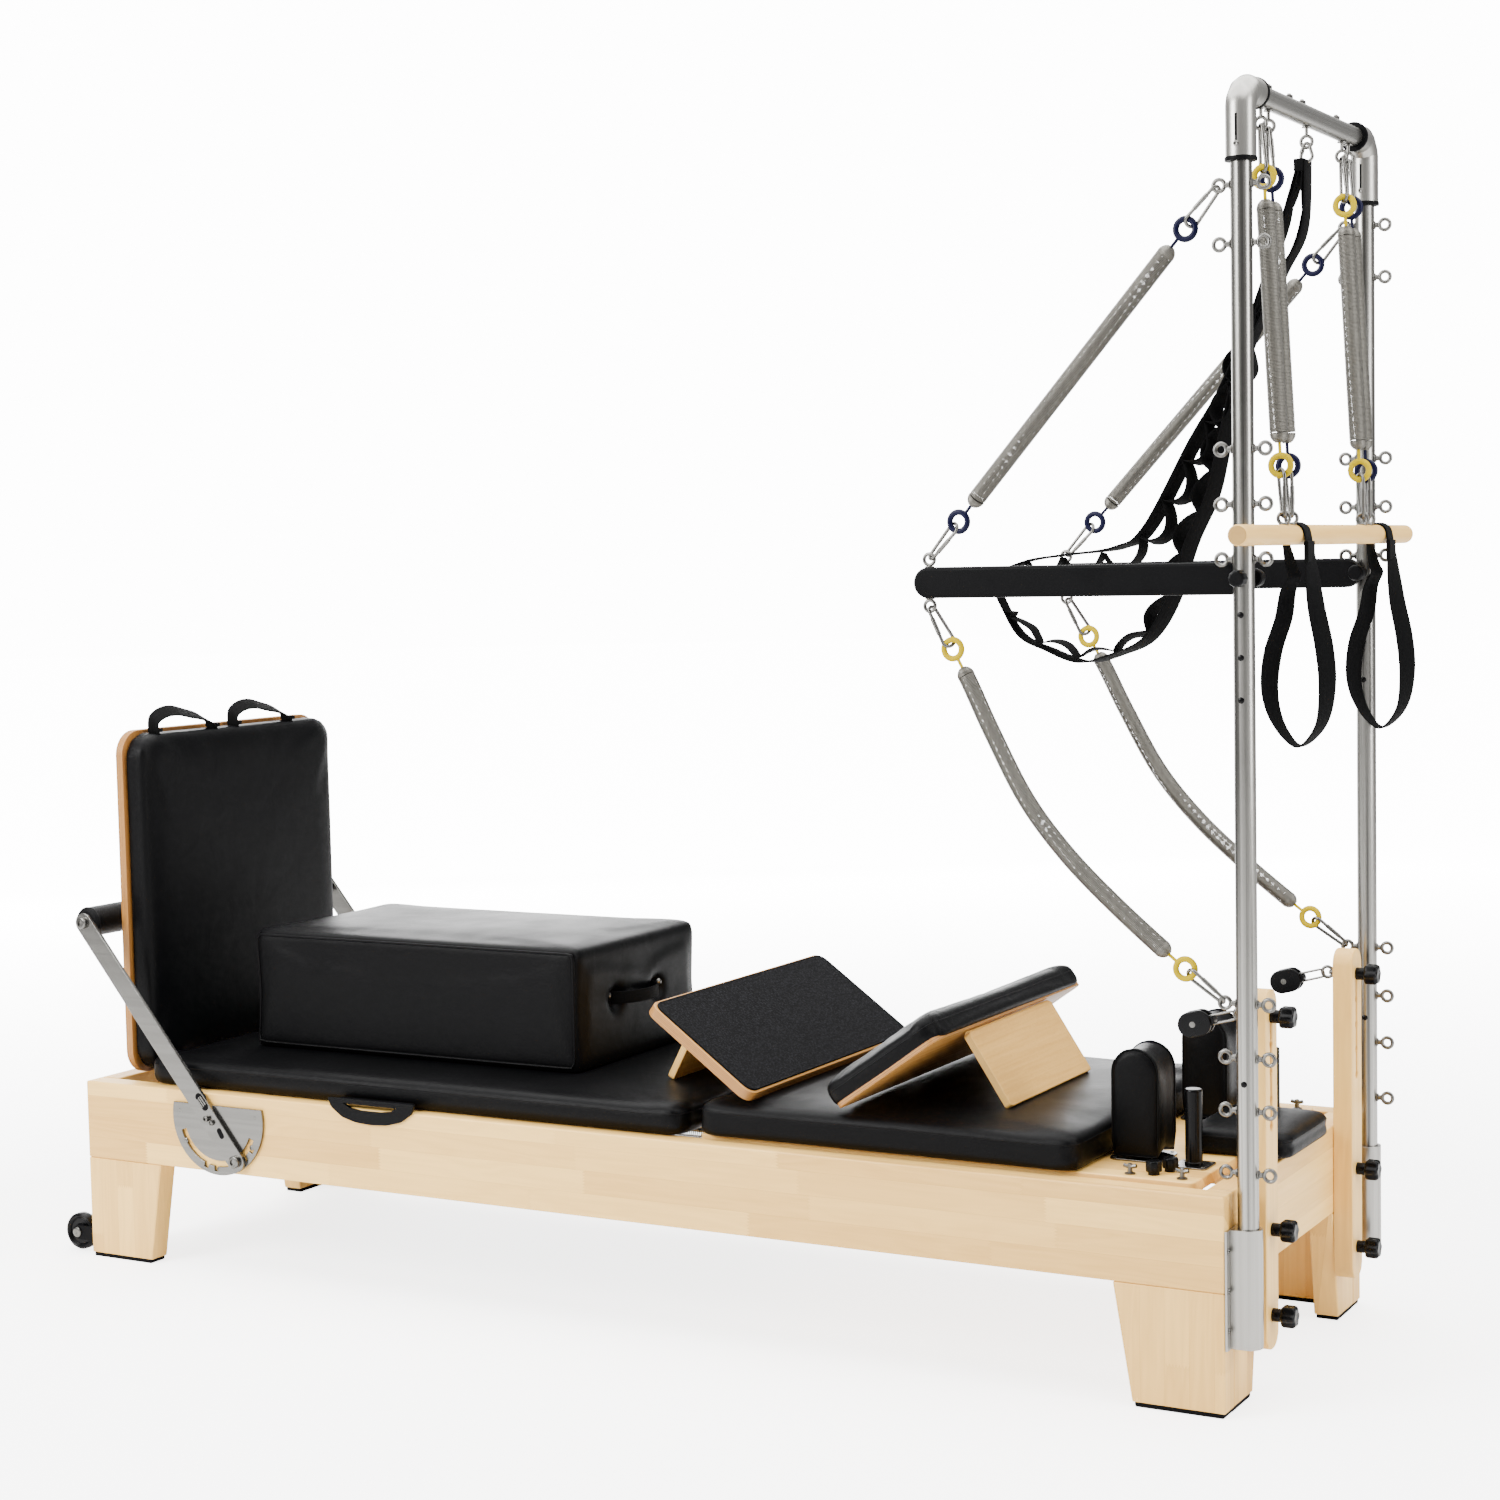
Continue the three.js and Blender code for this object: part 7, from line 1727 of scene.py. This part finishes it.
def build_stage(bed):
    """Camera, floor, room light and lamps."""
    scene = bpy.context.scene
    camera = bpy.data.cameras.new("photo_view")
    camera.lens, camera.sensor_width, camera.sensor_fit = CAMERA_LENS, CAMERA_SENSOR, "HORIZONTAL"
    scene.camera = linked("photo_view", camera)
    yaw, pitch, roll = CAMERA_YAW, CAMERA_PITCH, CAMERA_ROLL
    back = Vector((math.sin(yaw) * math.cos(pitch), -math.cos(yaw) * math.cos(pitch), math.sin(pitch)))
    right = Vector((math.cos(yaw), math.sin(yaw), 0))
    up = back.cross(right)
    c, s = math.cos(roll), math.sin(roll)
    spin = Matrix((right * c + up * s, up * c - right * s, back)).transposed().to_4x4()
    scene.camera.matrix_world = Matrix.Translation(CAMERA_PLACE) @ spin
    form = Form()
    form.add([(x, y, 0) for x, y in arc((0, 0), 40000, 0, 360, 96)[:-1]], [tuple(range(96))])
    floor = linked("studio_floor", form.mesh("studio_floor"))
    look = Look("studio_floor", Roughness=0.7, Specular_IOR_Level=0.15)
    cloud = look.noise(look.place, 0.9, 2.0)
    look.set("Base Color", look.mix(cloud, tone(bed.floor_colour, 0.985), tone(bed.floor_colour)))
    look.set("Emission Color", (1, 1, 1, 1))
    away = look.node("ShaderNodeVectorMath", {0: look.place}, operation="LENGTH").outputs["Value"]
    seen = look.node("ShaderNodeLightPath").outputs["Is Camera Ray"]
    look.set("Emission Strength", look.math("MULTIPLY", look.range(away, 1.8, 7.0, 3.6, bed.backdrop), seen))
    floor.data.materials.append(look.material)
    world = bpy.data.worlds.new("studio")
    world.use_nodes = True
    tree = world.node_tree
    sky, output = tree.nodes["Background"], tree.nodes["World Output"]
    sky.inputs["Color"].default_value = (1, 1, 1, 1)
    sky.inputs["Strength"].default_value = bed.sky_light
    backdrop = wire(tree, "ShaderNodeBackground", {"Color": (1, 1, 1, 1), "Strength": bed.backdrop})
    seen = wire(tree, "ShaderNodeLightPath").outputs["Is Camera Ray"]
    both = wire(tree, "ShaderNodeMixShader", {0: seen, 1: sky.outputs[0], 2: backdrop.outputs[0]})
    tree.links.new(both.outputs[0], output.inputs["Surface"])
    scene.world = world
    for name, spot, wide, tall, power in LAMPS:
        lamp = bpy.data.lights.new(name, "AREA")
        lamp.shape, lamp.size, lamp.size_y, lamp.energy = "RECTANGLE", wide, tall, power
        aim = Vector((spot[0], spot[1], 0) if name == "top_softbox" else (0.2, 0, 0.7)) - Vector(spot)
        turn = aim.to_track_quat("-Z", "Y").to_matrix().to_4x4()
        linked(name, lamp).matrix_world = Matrix.Translation(spot) @ turn


# ---------------------------------------------------------------- add-on

def colour_property(name, description, default):
    """A colour setting."""
    return bpy.props.FloatVectorProperty(
        name=name, description=description, subtype="COLOR", size=3, min=0, max=1, default=default)


def measure(name, description, default, low=0.0, high=1000.0, subtype="NONE"):
    """A number setting."""
    return bpy.props.FloatProperty(
        name=name, description=description, default=default, min=low, max=high, subtype=subtype)


class BedSettings(bpy.types.PropertyGroup):
    """Sizes and colours of the dressed bed"""
    wood_edge: measure("Wood edge", "Rounding of the rails and legs, in millimetres", 3.0, 0.5, 10)
    piping: measure("Piping", "Radius of the piping on box and rests, in millimetres", 2.4, 1, 5)
    seam_width: measure("Seam", "Radius of the pad seams, in millimetres", 1.1, 0.4, 3)
    swell_pressure: measure("Swell", "Air pressure that rounds the cushions out", 4.0, 0, 20)
    loop_twist: measure("Loop twist", "How far the strap loops turn on their way down", 0.75, -3, 3, "ANGLE")
    ladder_pitch: measure("Ladder pitch", "Length of one loop of the ladder strap, in millimetres", 76, 30)
    ladder_lean: measure("Ladder turn", "How far the strap's strands turn from the bar", 0.6, -3, 3, "ANGLE")
    ladder_bulge: measure("Ladder loops", "How far the strap's loops stand out, in millimetres", 27, 2)
    sky_light: measure("Room light", "Strength of the even light from all sides", 0.52)
    backdrop: measure("Backdrop", "Brightness of the empty studio behind the bed", 14)
    maple_light: colour_property("Maple, light", "Pale strips of the bed's wood", (0.88, 0.55, 0.155))
    maple_dark: colour_property("Maple, dark", "Dark strips of the bed's wood", (0.56, 0.295, 0.06))
    ply_light: colour_property("Ply, light", "Pale layers of the boards", (0.44, 0.21, 0.045))
    ply_dark: colour_property("Ply, dark", "Dark layers of the boards", (0.16, 0.055, 0.010))
    leather: colour_property("Upholstery", "Colour of the cushions", (0.0016, 0.0016, 0.0019))
    webbing: colour_property("Webbing", "Colour of the straps", (0.002, 0.002, 0.0022))
    thread: colour_property("Thread", "Colour of the stitches", (0.02, 0.02, 0.022))
    plastic: colour_property("Plastic", "Colour of knobs, pulleys and tyres", (0.0016, 0.0016, 0.0019))
    seals: colour_property("Seals", "Colour of seals and satin plastic", (0.0018, 0.0018, 0.0021))
    rubber: colour_property("Rubber", "Colour of soles and bindings", (0.003, 0.003, 0.0033))
    steel: colour_property("Steel", "Colour of the bare metal", (0.175, 0.17, 0.158))
    ring_yellow: colour_property("Ring, yellow", "First ring colour", (0.42, 0.30, 0.0))
    ring_navy: colour_property("Ring, navy", "Second ring colour", (0.0012, 0.0014, 0.02))
    floor_colour: colour_property("Floor", "Colour of the studio floor", (0.93, 0.93, 0.93))


class BedOperator:
    """Shared by the operators that build the bed's pieces"""
    bl_options = {"REGISTER", "UNDO"}


class BED_OT_stage(BedOperator, bpy.types.Operator):
    """Camera, floor and lights"""
    bl_idname = "bed.stage"
    bl_label = "Stage"

    def execute(self, context):
        build_stage(context.scene.pilates_bed)
        return {"FINISHED"}


class BED_OT_finishes(BedOperator, bpy.types.Operator):
    """Materials and the node trees that the pieces use"""
    bl_idname = "bed.finishes"
    bl_label = "Finishes"

    def execute(self, context):
        make_finishes(context.scene.pilates_bed)
        TREES.update(coil=coil_tree(), fitting=fitting_tree(), stitch=stitch_tree())
        return {"FINISHED"}


class BED_OT_frame(BedOperator, bpy.types.Operator):
    """Rails, end boards, legs, wheels and tracks"""
    bl_idname = "bed.frame"
    bl_label = "Bed frame"

    def execute(self, context):
        build_bed_frame(context.scene.pilates_bed)
        return {"FINISHED"}


class BED_OT_carriage(BedOperator, bpy.types.Operator):
    """Carriage board, rollers, plates, pegs and cleats"""
    bl_idname = "bed.carriage"
    bl_label = "Carriage"

    def execute(self, context):
        build_carriage()
        return {"FINISHED"}


class BED_OT_cushions(BedOperator, bpy.types.Operator):
    """Every padded piece with its piping, pockets and handles"""
    bl_idname = "bed.cushions"
    bl_label = "Cushions"

    def execute(self, context):
        build_cushions(context.scene.pilates_bed)
        return {"FINISHED"}


class BED_OT_boards(BedOperator, bpy.types.Operator):
    """Tilt board, incline board and jumpboard"""
    bl_idname = "bed.boards"
    bl_label = "Boards"

    def execute(self, context):
        build_boards()
        return {"FINISHED"}


class BED_OT_footbar(BedOperator, bpy.types.Operator):
    """Notched plates, arms and padded roll"""
    bl_idname = "bed.footbar"
    bl_label = "Foot bar"

    def execute(self, context):
        build_footbar()
        return {"FINISHED"}


class BED_OT_tower(BedOperator, bpy.types.Operator):
    """Brackets, posts, elbows, crossbar and eye bolts"""
    bl_idname = "bed.tower"
    bl_label = "Tower"

    def execute(self, context):
        build_tower()
        return {"FINISHED"}


class BED_OT_risers(BedOperator, bpy.types.Operator):
    """Slotted risers, knobs and pulleys"""
    bl_idname = "bed.risers"
    bl_label = "Risers"

    def execute(self, context):
        build_risers()
        return {"FINISHED"}


class BED_OT_push_bar(BedOperator, bpy.types.Operator):
    """Padded arms, cross tube and its eyes"""
    bl_idname = "bed.push_bar"
    bl_label = "Push-through bar"

    def execute(self, context):
        build_push_bar()
        return {"FINISHED"}


class BED_OT_springs(BedOperator, bpy.types.Operator):
    """Wound springs with their hooks and rings"""
    bl_idname = "bed.springs"
    bl_label = "Springs"

    def execute(self, context):
        build_springs()
        return {"FINISHED"}


class BED_OT_roll_down(BedOperator, bpy.types.Operator):
    """Wooden bar with its two strap loops"""
    bl_idname = "bed.roll_down"
    bl_label = "Roll-down bar"

    def execute(self, context):
        build_roll_down(context.scene.pilates_bed)
        return {"FINISHED"}


class BED_OT_ladder(BedOperator, bpy.types.Operator):
    """Looped strap between the crossbar and the push-through bar"""
    bl_idname = "bed.ladder"
    bl_label = "Ladder strap"

    def execute(self, context):
        build_ladder_strap(context.scene.pilates_bed)
        return {"FINISHED"}


OPERATORS = (
    BED_OT_stage, BED_OT_finishes, BED_OT_frame, BED_OT_carriage, BED_OT_cushions,
    BED_OT_boards, BED_OT_footbar, BED_OT_tower, BED_OT_risers,
    BED_OT_push_bar, BED_OT_springs, BED_OT_roll_down, BED_OT_ladder,
)


class BED_PT_panel(bpy.types.Panel):
    """Lists the pieces of the bed"""
    bl_label = "Pilates bed"
    bl_space_type = "VIEW_3D"
    bl_region_type = "UI"
    bl_category = "Pilates bed"

    def draw(self, context):
        """Draws the settings and a button for each operator."""
        settings = context.scene.pilates_bed
        for name in BedSettings.__annotations__:
            self.layout.prop(settings, name)
        for entry in OPERATORS:
            self.layout.operator(entry.bl_idname)


CLASSES = (BedSettings, *OPERATORS, BED_PT_panel)


def register():
    """Makes the settings, operators and panel known."""
    for entry in CLASSES:
        bpy.utils.register_class(entry)
    bpy.types.Scene.pilates_bed = bpy.props.PointerProperty(type=BedSettings)


def unregister():
    """Takes them away again."""
    del bpy.types.Scene.pilates_bed
    for entry in reversed(CLASSES):
        bpy.utils.unregister_class(entry)


def main():
    """Builds everything in order."""
    register()
    for entry in OPERATORS:
        getattr(bpy.ops.bed, entry.bl_idname.split(".")[1])()


if __name__ == "__main__":
    main()
